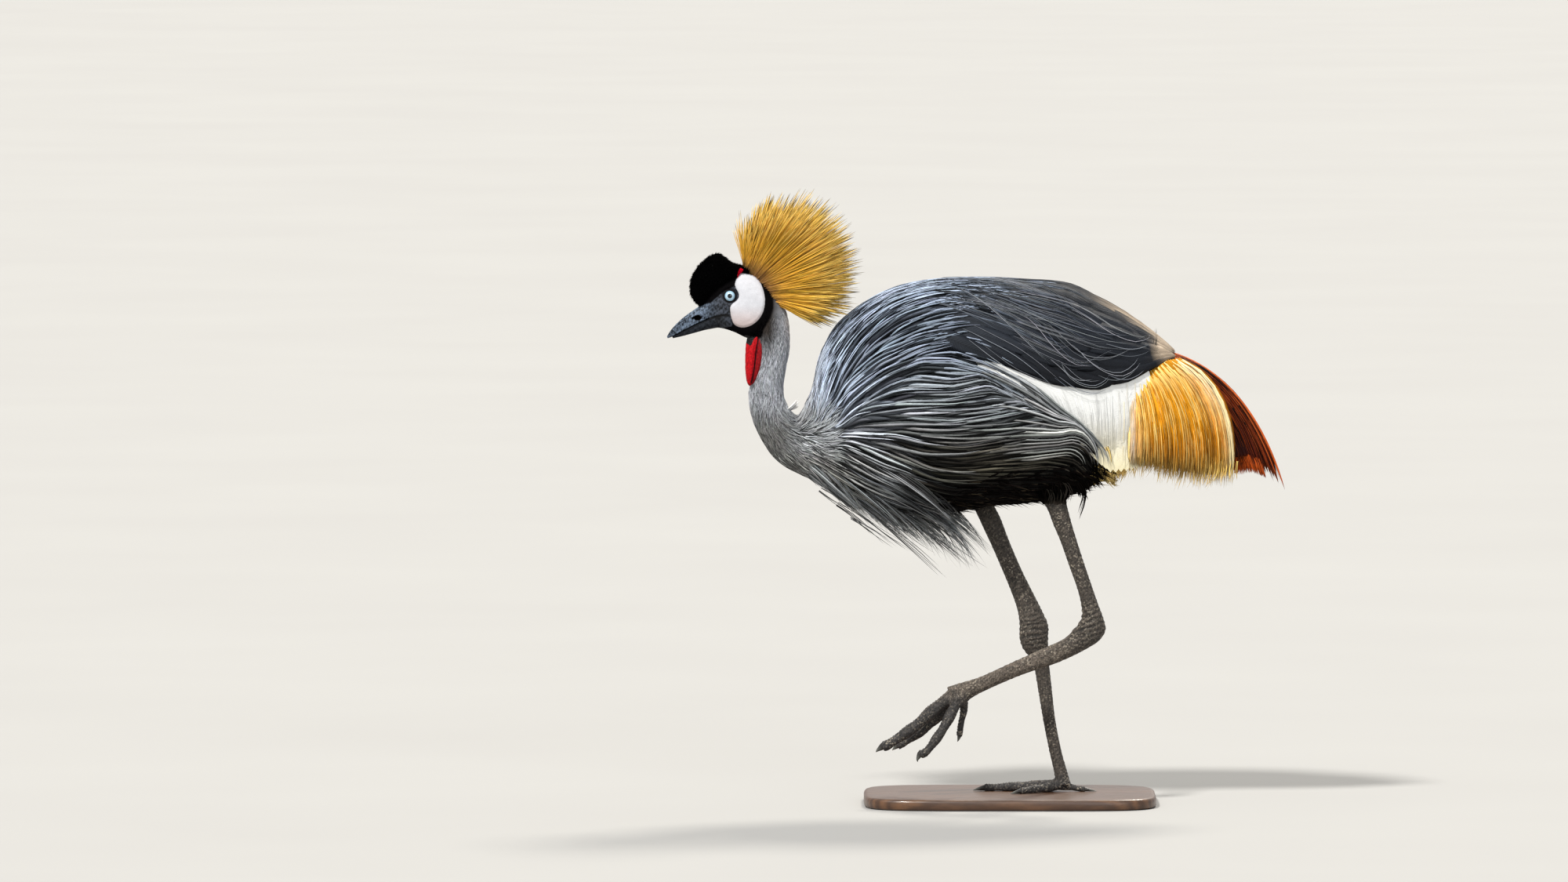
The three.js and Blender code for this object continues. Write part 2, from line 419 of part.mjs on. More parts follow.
// ---------------------------------------------------------------- legs
// Planted right leg and lifted left leg: front u, v, back u, v, half width, y.
function shankRibs(side) {
  return side === 'right'
    ? [[1236, 622, 1268, 616, 15, 40], [1240, 643, 1265, 638, 11.8, 38], [1253, 672, 1277, 664, 10.2, 35.5], [1267, 702, 1288, 693, 9.6, 33],
      [1283, 739, 1304, 730, 9.3, 30], [1293, 764, 1318, 758, 10, 28], [1299, 783, 1331, 784, 12.5, 26.5], [1301, 800, 1337.5, 800, 14.2, 25.5],
      [1301, 815, 1337.5, 815, 14.4, 24.5], [1305, 829, 1337.5, 829, 12.6, 24], [1318, 848, 1338.5, 846, 9, 23], [1325, 884, 1342.5, 883, 7.6, 21],
      [1331, 920, 1346.5, 919, 7.2, 18.5], [1339, 960, 1354.5, 960, 7.4, 16], [1345, 986, 1362, 987, 9.6, 14.5], [1347, 1002, 1367, 1004, 11.5, 13.5]]
    : [[1314, 624, 1362, 614, 17, -42], [1333, 643, 1359.5, 636, 11.8, -42], [1343, 667, 1364, 657, 9.6, -42], [1352, 688, 1370, 678, 8.8, -42],
      [1363, 719, 1380.5, 711, 8.4, -42], [1374, 750, 1391, 742, 8.6, -42], [1379, 773, 1400, 768, 10.2, -42], [1378, 788, 1407, 787, 12, -42],
      [1369, 800, 1409, 803, 12.8, -42], [1357, 812, 1395, 819.5, 11.6, -42], [1334, 823, 1352, 841.5, 9.4, -41.5], [1294, 841, 1303, 858.5, 7.8, -41],
      [1250, 861, 1260, 877, 7.8, -40], [1224, 869, 1238, 889, 9.4, -39.5], [1207, 874.5, 1229, 900, 11.4, -39]];
}
const legSolid = (side, pad = 0) => ribLoft(shankRibs(side), { sides: 12, steps: 1, pad });

// One toe with its claw: a path of points from the knuckle to the pad, then the bend and tip of the claw.
const above = (m) => m.trimByPlane([0, 0, 1], BASE_THICK + GAP);
function toeShapes({ path, bend, claw, r, up, joints, end }) {
  const radius = (t) => r * mix(1, end, t) * (1 + 0.09 * Math.cos(2 * Math.PI * joints * t));
  const nail = (t) => Math.max(r * 0.54 * (1 - t) ** 0.75, 0.55);
  const start = new THREE.Vector3(...path.at(-1));
  const back = start.clone().addScaledVector(new THREE.Vector3(...bend).sub(start).normalize(), -1).toArray();
  const steps = joints > 1 ? 9 : 5;
  const root = new THREE.Vector3(...path[0]), knuckle = root.clone().sub(new THREE.Vector3(...path[1])).normalize();
  const toe = (pad) => limb([root.clone().addScaledVector(knuckle, 3 * pad).toArray(), ...path.slice(1)], (t) => radius(t) + pad, { steps, sides: 8, up, high: 0.93 });
  return {
    toe: toe(0), grown: toe(GAP),
    claw: limb([start.toArray(), bend, claw], nail, { steps: 4, sides: 6, up }),
    clawRoom: limb([back, start.toArray(), bend], () => r * 0.54 + 1.5 * GAP, { steps: 2, sides: 6, up }),
  };
}
const ANKLE = [X(1357), 13.5];
function plantedToe(kind) {
  const hind = kind === 'hind', r = TOE_RADIUS[kind], claw = CLAW_LENGTH, bone = TOE[kind] - claw;
  const yaw = THREE.MathUtils.degToRad(TOE_SPREAD[kind]);
  const at = (s, h) => [ANKLE[0] - Math.cos(yaw) * s, ANKLE[1] - Math.sin(yaw) * s, BASE_THICK + GAP + h];
  return toeShapes({
    path: [at(1, r * 1.3), at(bone * 0.3, r * (hind ? 1.1 : 0.98)), at(bone * 0.65, r * 0.72), at(bone, r * 0.5)],
    bend: at(bone + claw * 0.5, r * 0.5), claw: at(bone + claw, 0.7), r, up: [0, 0, 1], joints: hind ? 1 : 3, end: 0.62,
  });
}
const G = (u, v, y) => [X(u), y, Z(v)];
// The lifted foot hangs half closed.
const RAISED = {
  middle: { path: [G(1215, 886, -39), G(1196, 899, -40), G(1166, 925, -40), G(1134, 947, -39)], bend: G(1126, 950, -39), claw: G(1117, 957.5, -38.5), r: 9, up: [0, 0, 1] },
  inner: { path: [G(1218, 892, -34), G(1200, 910, -27), G(1176, 932, -21), G(1153, 947, -18)], bend: G(1145, 951, -17), claw: G(1138, 957, -16.5), r: 7, up: [0, 0, 1] },
  outer: { path: [G(1224, 886, -45), G(1214, 905, -52), G(1200, 930, -58), G(1182, 954, -62)], bend: G(1173, 958.5, -63), claw: G(1170, 968, -63.5), r: 7.6, up: [1, 0, 0] },
  hind: { path: [G(1229, 893, -33), G(1229, 906, -30), G(1226, 920, -28), G(1224.5, 931, -27.5)], bend: G(1223.5, 938, -27.5), claw: G(1221, 945, -28), r: 5.4, up: [1, 0, 0] },
};
const raisedToe = (kind) => toeShapes({ ...RAISED[kind], joints: kind === 'hind' ? 1 : 3, end: 0.68 });

for (const side of ['left', 'right']) {
  const planted = side === 'right';
  const rest = planted ? above : (m) => m;
  const leg = legSolid(side), legRoom = legSolid(side, GAP);
  const thigh = ribLoft(THIGH[side], { sides: 14, steps: 1 }), thighRoom = ribLoft(THIGH[side], { sides: 14, steps: 1, pad: GAP });
  add(`thigh_${side}`, thigh, M.black, parts.legs);
  // shank, hock and tarsus are one limb parted by two thin cuts
  const cuts = planted
    ? [strip([[1280, 779], [1350, 774]], GAP / 2, -90, 90), strip([[1290, 833], [1352, 831]], GAP / 2, -90, 90)]
    : [strip([[1360, 780], [1420, 770]], GAP / 2, -90, 90), strip([[1344, 805], [1364, 845]], GAP / 2, -90, 90)];
  const pieces = less(rest(leg), thighRoom, fullBody, ...cuts).decompose().filter((m) => m.volume() > 1500).sort((p, q) => heightOf(q) - heightOf(p));
  ['shank', 'hock', 'tarsus'].forEach((n, i) => add(`${n}_${side}`, pieces[i], M.leg, parts.legs));
  const earlier = [];
  for (const kind of ['middle', 'inner', 'outer', 'hind']) {
    const { toe, grown, claw, clawRoom } = planted ? plantedToe(kind) : raisedToe(kind);
    add(`toe_${side}_${kind}`, less(rest(toe), legRoom, clawRoom, ...earlier), M.leg, parts.legs, 0.14);
    add(`claw_${side}_${kind}`, rest(claw), M.claw, parts.legs);
    earlier.push(grown);
  }
}

add('breast_plumes', less(plumeBody.intersect(slab(plumeOutline, -60, 60)), fullBody, ...thighRooms, legSolid('right', GAP)), M.grey, parts.body);

// Flat oval base, with a small bevel round the top.
const oval = (shrink) => new THREE.EllipseCurve(BASE_MIDDLE, 0, BASE_LENGTH / 2 - shrink, BASE_WIDTH / 2 - shrink).getPoints(40).slice(0, -1);
const ovalRing = (shrink, z) => oval(shrink).map((p) => new THREE.Vector3(p.x, p.y, z));
add('stand_base', solidOfRings([ovalRing(0, 0), ovalRing(0, BASE_THICK - BASE_BEVEL), ovalRing(BASE_BEVEL, BASE_THICK)]), M.wood, parts.legs);

export default group;
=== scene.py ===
import math
import bpy
import numpy as np
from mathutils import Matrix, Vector
from mathutils.bvhtree import BVHTree

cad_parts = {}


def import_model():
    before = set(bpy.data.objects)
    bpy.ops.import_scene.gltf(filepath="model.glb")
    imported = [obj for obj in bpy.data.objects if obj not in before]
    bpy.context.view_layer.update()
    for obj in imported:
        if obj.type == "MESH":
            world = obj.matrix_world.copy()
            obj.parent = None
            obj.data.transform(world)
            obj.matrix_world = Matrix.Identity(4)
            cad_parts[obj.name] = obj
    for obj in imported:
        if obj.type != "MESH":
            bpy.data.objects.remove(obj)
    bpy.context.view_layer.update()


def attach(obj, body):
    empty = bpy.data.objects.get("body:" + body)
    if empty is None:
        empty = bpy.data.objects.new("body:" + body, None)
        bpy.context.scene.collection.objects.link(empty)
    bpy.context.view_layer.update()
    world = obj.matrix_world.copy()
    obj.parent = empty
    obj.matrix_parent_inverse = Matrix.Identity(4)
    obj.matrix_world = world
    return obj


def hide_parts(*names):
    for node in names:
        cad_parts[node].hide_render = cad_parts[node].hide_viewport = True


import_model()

# ---------------------------------------------------------------- drawing grid and small maths
G = 1.02e-3                       # metres per unit of the side-view drawing grid
GROUND_U, GROUND_V, BASE = 1300.0, 1012.0, 0.014


def X(u):
    return (np.asarray(u, float) - GROUND_U) * G


def Z(v):
    return (GROUND_V - np.asarray(v, float)) * G + BASE


def uv_of(P):
    return P[..., 0] / G + GROUND_U, GROUND_V - (P[..., 2] - BASE) / G


def mix(a, b, t):
    return a + (b - a) * t


def ramp(a, b, x):
    t = np.clip((np.asarray(x, float) - a) / (b - a), 0, 1)
    return t * t * (3 - 2 * t)


def unit(a):
    return a / np.maximum(np.linalg.norm(a, axis=-1, keepdims=True), 1e-12)


def srgb(r, g, b):
    c = np.array([r, g, b], float) / 255
    return np.where(c <= 0.04045, c / 12.92, ((c + 0.055) / 1.055) ** 2.4)


def sgnpow(x, p):
    return np.sign(x) * np.abs(x) ** p


def catmull(vals, t):
    """Values at fractional indices t along a Catmull-Rom curve through the rows of vals."""
    vals = np.asarray(vals, float)
    n = len(vals) - 1
    t = np.asarray(t, float)
    i = np.clip(np.floor(t).astype(int), 0, n - 1)
    f = (t - i)[..., None]
    b, c = vals[i], vals[i + 1]
    a = np.where((i > 0)[..., None], vals[np.maximum(i - 1, 0)], 2 * b - c)
    d = np.where((i + 2 <= n)[..., None], vals[np.minimum(i + 2, n)], 2 * c - b)
    return 0.5 * (2 * b + (c - a) * f + (2 * a - 5 * b + 4 * c - d) * f * f + (3 * b - a - 3 * c + d) * f ** 3)


def along_line(pts, n_or_s):
    """Points at even shares of the length of a polyline, or at the shares given."""
    pts = np.asarray(pts, float)
    seg = np.linalg.norm(np.diff(pts, axis=0), axis=1)
    s = np.concatenate([[0], np.cumsum(seg)]) / seg.sum()
    q = np.linspace(0, 1, n_or_s) if np.isscalar(n_or_s) else np.asarray(n_or_s)
    return np.stack([np.interp(q, s, pts[:, k]) for k in range(pts.shape[1])], -1)


def inside(poly, u, v):
    """Whether points lie in a polygon of the side view."""
    poly = np.asarray(poly, float)
    u, v = np.asarray(u, float), np.asarray(v, float)
    res = np.zeros(u.shape, bool)
    j = len(poly) - 1
    for i in range(len(poly)):
        (ui, vi), (uj, vj) = poly[i], poly[j]
        if vi != vj:
            cut = ((vi > v) != (vj > v)) & (u < (uj - ui) * (v - vi) / (vj - vi) + ui)
            res ^= cut
        j = i
    return res


def distance_to(line, u, v):
    """Distance in grid units to a polyline of the side view."""
    line = np.asarray(line, float)
    best = np.full(np.shape(u), 1e9)
    for a, b in zip(line[:-1], line[1:]):
        d = b - a
        t = np.clip(((u - a[0]) * d[0] + (v - a[1]) * d[1]) / (d @ d + 1e-12), 0, 1)
        best = np.minimum(best, np.hypot(u - a[0] - t * d[0], v - a[1] - t * d[1]))
    return best


def wave_noise(P, scale, seed, octaves=3):
    """Smooth solid noise in about -1..1 from sums of waves."""
    r = np.random.default_rng(seed)
    out = np.zeros(P.shape[:-1])
    amp = 1.0
    for o in range(octaves):
        for _ in range(5):
            k = unit(r.normal(size=3)) * scale * (1.9 ** o) * (0.7 + 0.6 * r.random())
            out += amp / 5 * np.sin(P @ k * 2 * math.pi + r.random() * 6.283) * 1.5
        amp *= 0.55
    return out


# ---------------------------------------------------------------- shapes shared with the solids
# Ribs: top u, v, bottom u, v, half width mm, middle y mm, roundness, fullness of the lower side.
HEAD = [
    [894.0, 388.5, 911.5, 417.2, 8.6, 0, 2.2], [904, 370, 925, 419.5, 12.2, 0, 2.2], [919, 354, 938, 424, 15.8, 0, 2.3],
    [940, 344.5, 953, 431, 18.6, 0, 2.3], [962, 345, 970, 434, 20.2, 0, 2.2], [979, 356, 984, 430, 19.2, 0, 2.1],
    [990, 374, 997, 420, 15, 0, 2], [996, 388, 1003, 408, 8.5, 0, 2]]
NECK = [
    [986, 372, 962, 398, 14], [1004.5, 400, 957, 424, 19.2], [1008, 438, 962, 443, 20], [1003.5, 468, 961.5, 472, 20.4],
    [999.5, 496, 954, 502, 21.6], [1003.5, 514, 959.5, 536, 24.5], [1015, 530, 974, 566, 30], [1034, 540, 991, 588, 38],
    [1060, 548, 1020, 605, 47], [1090, 555, 1050, 616, 54]]
UPPER_BILL = [
    [913, 385, 919, 402, 6.0, 0, 2.2], [902, 384.2, 911, 404, 8.9, 0, 2.2], [896, 387.5, 907, 404.8, 9.2, 0, 2.2], [885, 395, 895, 410.4, 7.6, 0, 2.2],
    [873, 403.5, 881, 417.2, 6.3, 0, 2.2], [862, 413.5, 868, 424.2, 4.6, 0, 2.1], [854.5, 422.5, 858, 429.2, 2.8, 0, 2.1],
    [850.6, 429, 851.8, 431.4, 1.0, 0, 2]]
LOWER_BILL = [
    [920, 404, 925, 416, 6.0, 0, 2.3], [911.5, 402.6, 918, 418, 8.6, 0, 2.3], [906.5, 404.2, 914, 418.2, 8.9, 0, 2.3], [894.5, 409.6, 900, 420.8, 7.3, 0, 2.3], [880.4, 416.4, 885, 424.8, 5.8, 0, 2.2],
    [867.8, 423.3, 871, 428.6, 4.0, 0, 2], [857.5, 429.2, 858.4, 431.4, 1.8, 0, 2]]
CAP = [
    [893, 392, 898, 386, 6.5, 0, 2.2], [881, 376, 903, 384, 12, 0, 2.3], [881, 356, 913, 373, 16, 0, 2.4],
    [892, 336.5, 924, 366, 18.6, 0, 2.5], [911, 323.5, 934, 360, 19.6, 0, 2.5], [922, 327, 941, 355, 19.6, 0, 2.4], [931.5, 334.5, 947, 350, 18.8, 0, 2.3],
    [948, 339.5, 955, 350, 16.5, 0, 2.2], [962.5, 347, 965, 357, 12, 0, 2.1], [972.5, 359, 972, 366, 7, 0, 2]]
BODY = [
    [1018, 533, 1012, 598, 34, 0, 2.1], [1036, 497, 1041, 613, 53, 0, 2.1], [1046, 454, 1070, 627, 73, 0, 2.1],
    [1066, 416, 1102, 641, 89, 0, 2.15], [1098, 388.5, 1137, 650, 103, 0, 2.2, -0.03], [1141, 366.5, 1178, 655, 113, 0, 2.2, -0.05],
    [1192, 356, 1222, 651, 118, 0, 2.25, -0.06], [1252, 354.5, 1270, 643, 118, 0, 2.3, -0.08], [1312, 357, 1318, 640, 112, 0, 2.3, -0.1],
    [1362, 361.5, 1363, 631, 103, 0, 2.3, -0.1], [1404, 381, 1406, 612, 92, 0, 2.4, -0.06], [1442, 403, 1441, 593, 79, 0, 2.7],
    [1476, 428, 1474, 566, 64, 0, 2.6], [1500, 449, 1500, 524, 42, 0, 2.3]]
RIGHT_LEG = [
    [1236, 622, 1268, 616, 15, 40], [1240, 643, 1265, 638, 11.8, 38], [1253, 672, 1277, 664, 10.2, 35.5], [1267, 702, 1288, 693, 9.6, 33],
    [1283, 739, 1304, 730, 9.3, 30], [1293, 764, 1318, 758, 10, 28], [1299, 783, 1331, 784, 12.5, 26.5], [1301, 800, 1337.5, 800, 14.2, 25.5],
    [1301, 815, 1337.5, 815, 14.4, 24.5], [1305, 829, 1337.5, 829, 12.6, 24], [1318, 848, 1338.5, 846, 9, 23], [1325, 884, 1342.5, 883, 7.6, 21],
    [1331, 920, 1346.5, 919, 7.2, 18.5], [1339, 960, 1354.5, 960, 7.4, 16], [1345, 986, 1362, 987, 9.6, 14.5], [1347, 1002, 1367, 1004, 11.5, 13.5]]
LEFT_LEG = [
    [1314, 624, 1362, 614, 17, -42], [1333, 643, 1359.5, 636, 11.8, -42], [1343, 667, 1364, 657, 9.6, -42], [1352, 688, 1370, 678, 8.8, -42],
    [1363, 719, 1380.5, 711, 8.4, -42], [1374, 750, 1391, 742, 8.6, -42], [1379, 773, 1400, 768, 10.2, -42], [1378, 788, 1407, 787, 12, -42],
    [1369, 800, 1409, 803, 12.8, -42], [1357, 812, 1395, 819.5, 11.6, -42], [1334, 823, 1352, 841.5, 9.4, -41.5], [1294, 841, 1303, 858.5, 7.8, -41],
    [1250, 861, 1260, 877, 7.8, -40], [1224, 869, 1238, 889, 9.4, -39.5], [1207, 874.5, 1229, 900, 11.4, -39]]
THIGH_RIGHT = [[1226, 560, 1292, 560, 26, 46], [1226, 596, 1285, 596, 22, 43], [1231, 622, 1276, 618, 18, 40], [1236, 640, 1268, 634, 14, 38.5]]
THIGH_LEFT = [[1296, 560, 1372, 560, 26, -46], [1302, 596, 1372, 592, 23, -44], [1316, 622, 1368, 616, 18.5, -42.5], [1329, 640, 1364, 632, 14, -42]]
CHEEK = [(949.3, 343.4), (957, 346.8), (964.6, 352.1), (969.9, 359.7), (973.6, 368.7), (975.6, 378.9), (975.2, 389.1), (972.2, 399.3),
         (966, 408.2), (958.2, 414), (949.3, 416.8), (941.6, 415.9), (936, 412), (933, 404.4), (931.6, 396.7), (931.6, 391), (934.2, 386.5),
         (939.1, 382.7), (942.3, 377.6), (941.8, 372.5), (938.6, 366.1), (937.6, 361), (939.7, 354.6), (944.2, 348.3)]
_C = np.array(CHEEK)
CHEEK = catmull(np.concatenate([_C[-2:], _C, _C[:3]]), np.linspace(2, 2 + len(_C), 121))
RED_SPOT = [(940.9, 351), (942.5, 345.2), (944.8, 341.2), (947.4, 343), (945.4, 346.8), (943, 350.5), (941, 354.5)]
EYE_U, EYE_V, EYE_Y, EYE_R = 931.0, 376.5, 0.0116, 0.00775
SLATE_FRONT = [(1296, 318), (1271, 343), (1239, 375), (1205, 408), (1190, 424)]
SLATE_EDGE = [(1190, 424), (1228, 444), (1276, 463), (1308, 479), (1337, 491), (1369, 500.5), (1400, 502), (1420, 499), (1440, 490),
              (1461, 474), (1486, 456), (1506, 452)]
FLANK_EDGE = [(1190, 424), (1262, 452), (1290, 473), (1321, 495), (1350, 514), (1375, 534), (1393, 551), (1404, 566), (1411, 590), (1413, 640)]
WING_ZONE = SLATE_FRONT[:-1] + FLANK_EDGE + [(1640, 640), (1640, 300), (1296, 300)]


def dense(ribs, n):
    cols = np.array([[r[k] if len(r) > k else d for k, d in enumerate([0, 0, 0, 0, 0, 0, 2.0, 0])] for r in ribs], float)
    return catmull(cols, np.linspace(0, len(ribs) - 1, n))


def loft(ribs, n, m, pad=0.0):
    """Rings of points (n, m, 3) of a rib body, and whether it is closed by a fan at each end."""
    R = dense(ribs, n)
    top = np.stack([X(R[:, 0]), R[:, 5] * 1e-3, Z(R[:, 1])], -1)
    bot = np.stack([X(R[:, 2]), R[:, 5] * 1e-3, Z(R[:, 3])], -1)
    c, a = (top + bot) / 2, (top - bot) / 2
    la = np.linalg.norm(a, axis=1, keepdims=True)
    a = a * np.maximum(la + pad, 0.0002) / la
    w = np.maximum(R[:, 4] * 1e-3 + pad, 0.0002)
    th = 2 * math.pi * np.arange(m) / m
    sn = sgnpow(np.sin(th)[None], 2 / R[:, 6:7])
    cs = sgnpow(np.cos(th)[None], 2 / R[:, 6:7])
    P = c[:, None] + a[:, None] * sn[..., None]
    P[..., 1] += w[:, None] * (1 - R[:, 7:8] * sn) * cs
    return P


def tube_faces(n, m):
    i, j = np.meshgrid(np.arange(n - 1), np.arange(m), indexing="ij")
    k = (j + 1) % m
    q = np.stack([i * m + j, (i + 1) * m + j, (i + 1) * m + k, i * m + k], -1).reshape(-1, 4)
    j = np.arange(m)
    t = np.concatenate([np.stack([np.full(m, n * m), j, (j + 1) % m], -1),
                        np.stack([np.full(m, n * m + 1), (n - 1) * m + (j + 1) % m, (n - 1) * m + j], -1)])
    return q, t


def tube_solid(rings):
    """Vertices, quads and triangles of a closed tube, turned so that its faces look outwards."""
    n, m, _ = rings.shape
    V = np.concatenate([rings.reshape(-1, 3), rings[0].mean(0)[None], rings[-1].mean(0)[None]])
    q, t = tube_faces(n, m)
    tri = np.concatenate([q[:, [0, 1, 2]], q[:, [0, 2, 3]], t])
    vol = np.einsum("ij,ij->i", V[tri[:, 0]], np.cross(V[tri[:, 1]], V[tri[:, 2]])).sum()
    if vol < 0:
        q, t = q[:, ::-1], t[:, ::-1]
    return V, q, t


def make_mesh(name, V, quads=None, tris=None, smooth=True):
    me = bpy.data.meshes.new(name)
    V = np.ascontiguousarray(V, np.float32)
    me.vertices.add(len(V))
    me.vertices.foreach_set("co", V.ravel())
    parts, starts, at = [], [], 0
    for F in (quads, tris):
        if F is None or not len(F):
            continue
        F = np.ascontiguousarray(F, np.int32)
        parts.append(F.ravel())
        starts.append(at + np.arange(len(F), dtype=np.int32) * F.shape[1])
        at += F.size
    loops, starts = np.concatenate(parts), np.concatenate(starts)
    me.loops.add(len(loops))
    me.loops.foreach_set("vertex_index", loops)
    me.polygons.add(len(starts))
    me.polygons.foreach_set("loop_start", starts)
    me.update(calc_edges=True)
    me.polygons.foreach_set("use_smooth", np.full(len(starts), smooth))
    return me


def make_object(name, me):
    ob = bpy.data.objects.new(name, me)
    bpy.context.scene.collection.objects.link(ob)
    return ob


def joined(solids, name):
    """One object from several closed solids (V, quads, tris)."""
    Vs, qs, ts, at = [], [], [], 0
    for V, q, t in solids:
        Vs.append(V)
        if len(q):
            qs.append(q + at)
        if len(t):
            ts.append(t + at)
        at += len(V)
    return make_object(name, make_mesh(name, np.concatenate(Vs), np.concatenate(qs) if qs else None, np.concatenate(ts) if ts else None))


def apply_modifiers(ob):
    dg = bpy.context.evaluated_depsgraph_get()
    me = bpy.data.meshes.new_from_object(ob.evaluated_get(dg), depsgraph=dg)
    old = ob.data
    ob.modifiers.clear()
    ob.data = me
    bpy.data.meshes.remove(old)
    return ob


def remeshed(ob, voxel, smooth=0, factor=0.5):
    m = ob.modifiers.new("voxels", "REMESH")
    m.mode, m.voxel_size, m.use_smooth_shade = "VOXEL", voxel, True
    if smooth:
        s = ob.modifiers.new("relax", "SMOOTH")
        s.iterations, s.factor = smooth, factor
    return apply_modifiers(ob)


def mesh_arrays(me):
    V = np.empty(len(me.vertices) * 3, np.float32)
    me.vertices.foreach_get("co", V)
    N = np.empty(len(me.vertices) * 3, np.float32)
    me.vertices.foreach_get("normal", N)
    return V.reshape(-1, 3).astype(float), N.reshape(-1, 3).astype(float)


def set_points(me, V):
    me.vertices.foreach_set("co", np.ascontiguousarray(V, np.float32).ravel())
    me.update()


EXPOSE = 0.74                      # tones are drawn for a lamp of strength one; the studio's lamps are this much brighter


def colour_attribute(me, name, rgb):
    a = me.color_attributes.new(name, "FLOAT_COLOR", "POINT")
    c = np.ones((len(me.vertices), 4), np.float32)
    rgb = np.maximum(rgb, 0) * EXPOSE
    c[:, :3] = rgb / np.maximum(rgb.max(-1, keepdims=True) / 0.96, 1)
    a.data.foreach_set("color", c.ravel())


def float_attribute(me, name, x):
    a = me.attributes.new(name, "FLOAT", "POINT")
    a.data.foreach_set("value", np.ascontiguousarray(x, np.float32).ravel())


# ---------------------------------------------------------------- materials
def material(name, rough=0.6, spec=0.4, sheen=0.0, coat=0.0):
    """A new node material and small helpers to build its colour, roughness and relief."""
    m = bpy.data.materials.new(name)
    m.use_nodes = True
    nt = m.node_tree
    b = nt.nodes["Principled BSDF"]
    b.inputs["Roughness"].default_value = rough
    b.inputs["Specular IOR Level"].default_value = spec
    if sheen:
        b.inputs["Sheen Weight"].default_value = sheen
        b.inputs["Sheen Roughness"].default_value = 0.45
    if coat:
        b.inputs["Coat Weight"].default_value = coat
        b.inputs["Coat Roughness"].default_value = 0.12
    return m, nt, b


class Nodes:
    def __init__(self, nt):
        self.nt = nt

    def add(self, kind, **inputs):
        n = self.nt.nodes.new(kind)
        for k, v in inputs.items():
            key = k.replace("_", " ")
            if key in n.inputs:
                n.inputs[key].default_value = v
            else:
                setattr(n, k, v)
        return n

    def link(self, a, b):
        self.nt.links.new(a, b)

    def attr(self, name, out="Color"):
        n = self.nt.nodes.new("ShaderNodeAttribute")
        n.attribute_name = name
        return n.outputs[out]

    def place(self, scale=(1, 1, 1)):
        c = self.nt.nodes.new("ShaderNodeTexCoord")
        mp = self.nt.nodes.new("ShaderNodeMapping")
        mp.inputs["Scale"].default_value = scale
        self.link(c.outputs["Object"], mp.inputs["Vector"])
        return mp.outputs["Vector"]

    def noise(self, scale, detail=3.0, vec=None, rough=0.55):
        n = self.nt.nodes.new("ShaderNodeTexNoise")
        n.inputs["Scale"].default_value = scale
        n.inputs["Detail"].default_value = detail
        n.inputs["Roughness"].default_value = rough
        self.link(vec or self.place(), n.inputs["Vector"])
        return n.outputs["Fac"]

    def voronoi(self, scale, vec=None, feature="F1", out="Distance", randomness=1.0):
        n = self.nt.nodes.new("ShaderNodeTexVoronoi")
        n.feature = feature
        n.inputs["Scale"].default_value = scale
        n.inputs["Randomness"].default_value = randomness
        self.link(vec or self.place(), n.inputs["Vector"])
        return n.outputs[out]

    def range(self, fac, a, b, c, d):
        n = self.nt.nodes.new("ShaderNodeMapRange")
        n.clamp = True
        for k, v in zip(("From Min", "From Max", "To Min", "To Max"), (a, b, c, d)):
            n.inputs[k].default_value = v
        self.link(fac, n.inputs["Value"])
        return n.outputs["Result"]

    def math(self, op, a, b=None):
        n = self.nt.nodes.new("ShaderNodeMath")
        n.operation = op
        for i, x in enumerate((a, b)):
            if x is None:
                continue
            if isinstance(x, (int, float)):
                n.inputs[i].default_value = x
            else:
                self.link(x, n.inputs[i])
        return n.outputs[0]

    def mixed(self, fac, a, b, blend="MIX"):
        n = self.nt.nodes.new("ShaderNodeMix")
        n.data_type, n.blend_type = "RGBA", blend
        for sock, x in ((n.inputs[0], fac), (n.inputs[6], a), (n.inputs[7], b)):
            if isinstance(x, (int, float)):
                sock.default_value = x
            elif isinstance(x, (tuple, list, np.ndarray)):
                sock.default_value = tuple(float(c) for c in x)[:3] + (1.0,)
            else:
                self.link(x, sock)
        return n.outputs[2]

    def scaled(self, colour, fac):
        """colour times a grey factor."""
        n = self.nt.nodes.new("ShaderNodeVectorMath")
        n.operation = "SCALE"
        self.link(colour, n.inputs[0])
        self.link(fac, n.inputs["Scale"])
        return n.outputs[0]

    def bump(self, height, strength, distance, normal=None):
        n = self.nt.nodes.new("ShaderNodeBump")
        n.inputs["Strength"].default_value = strength
        n.inputs["Distance"].default_value = distance
        self.link(height, n.inputs["Height"])
        if normal is not None:
            self.link(normal, n.inputs["Normal"])
        return n.outputs["Normal"]


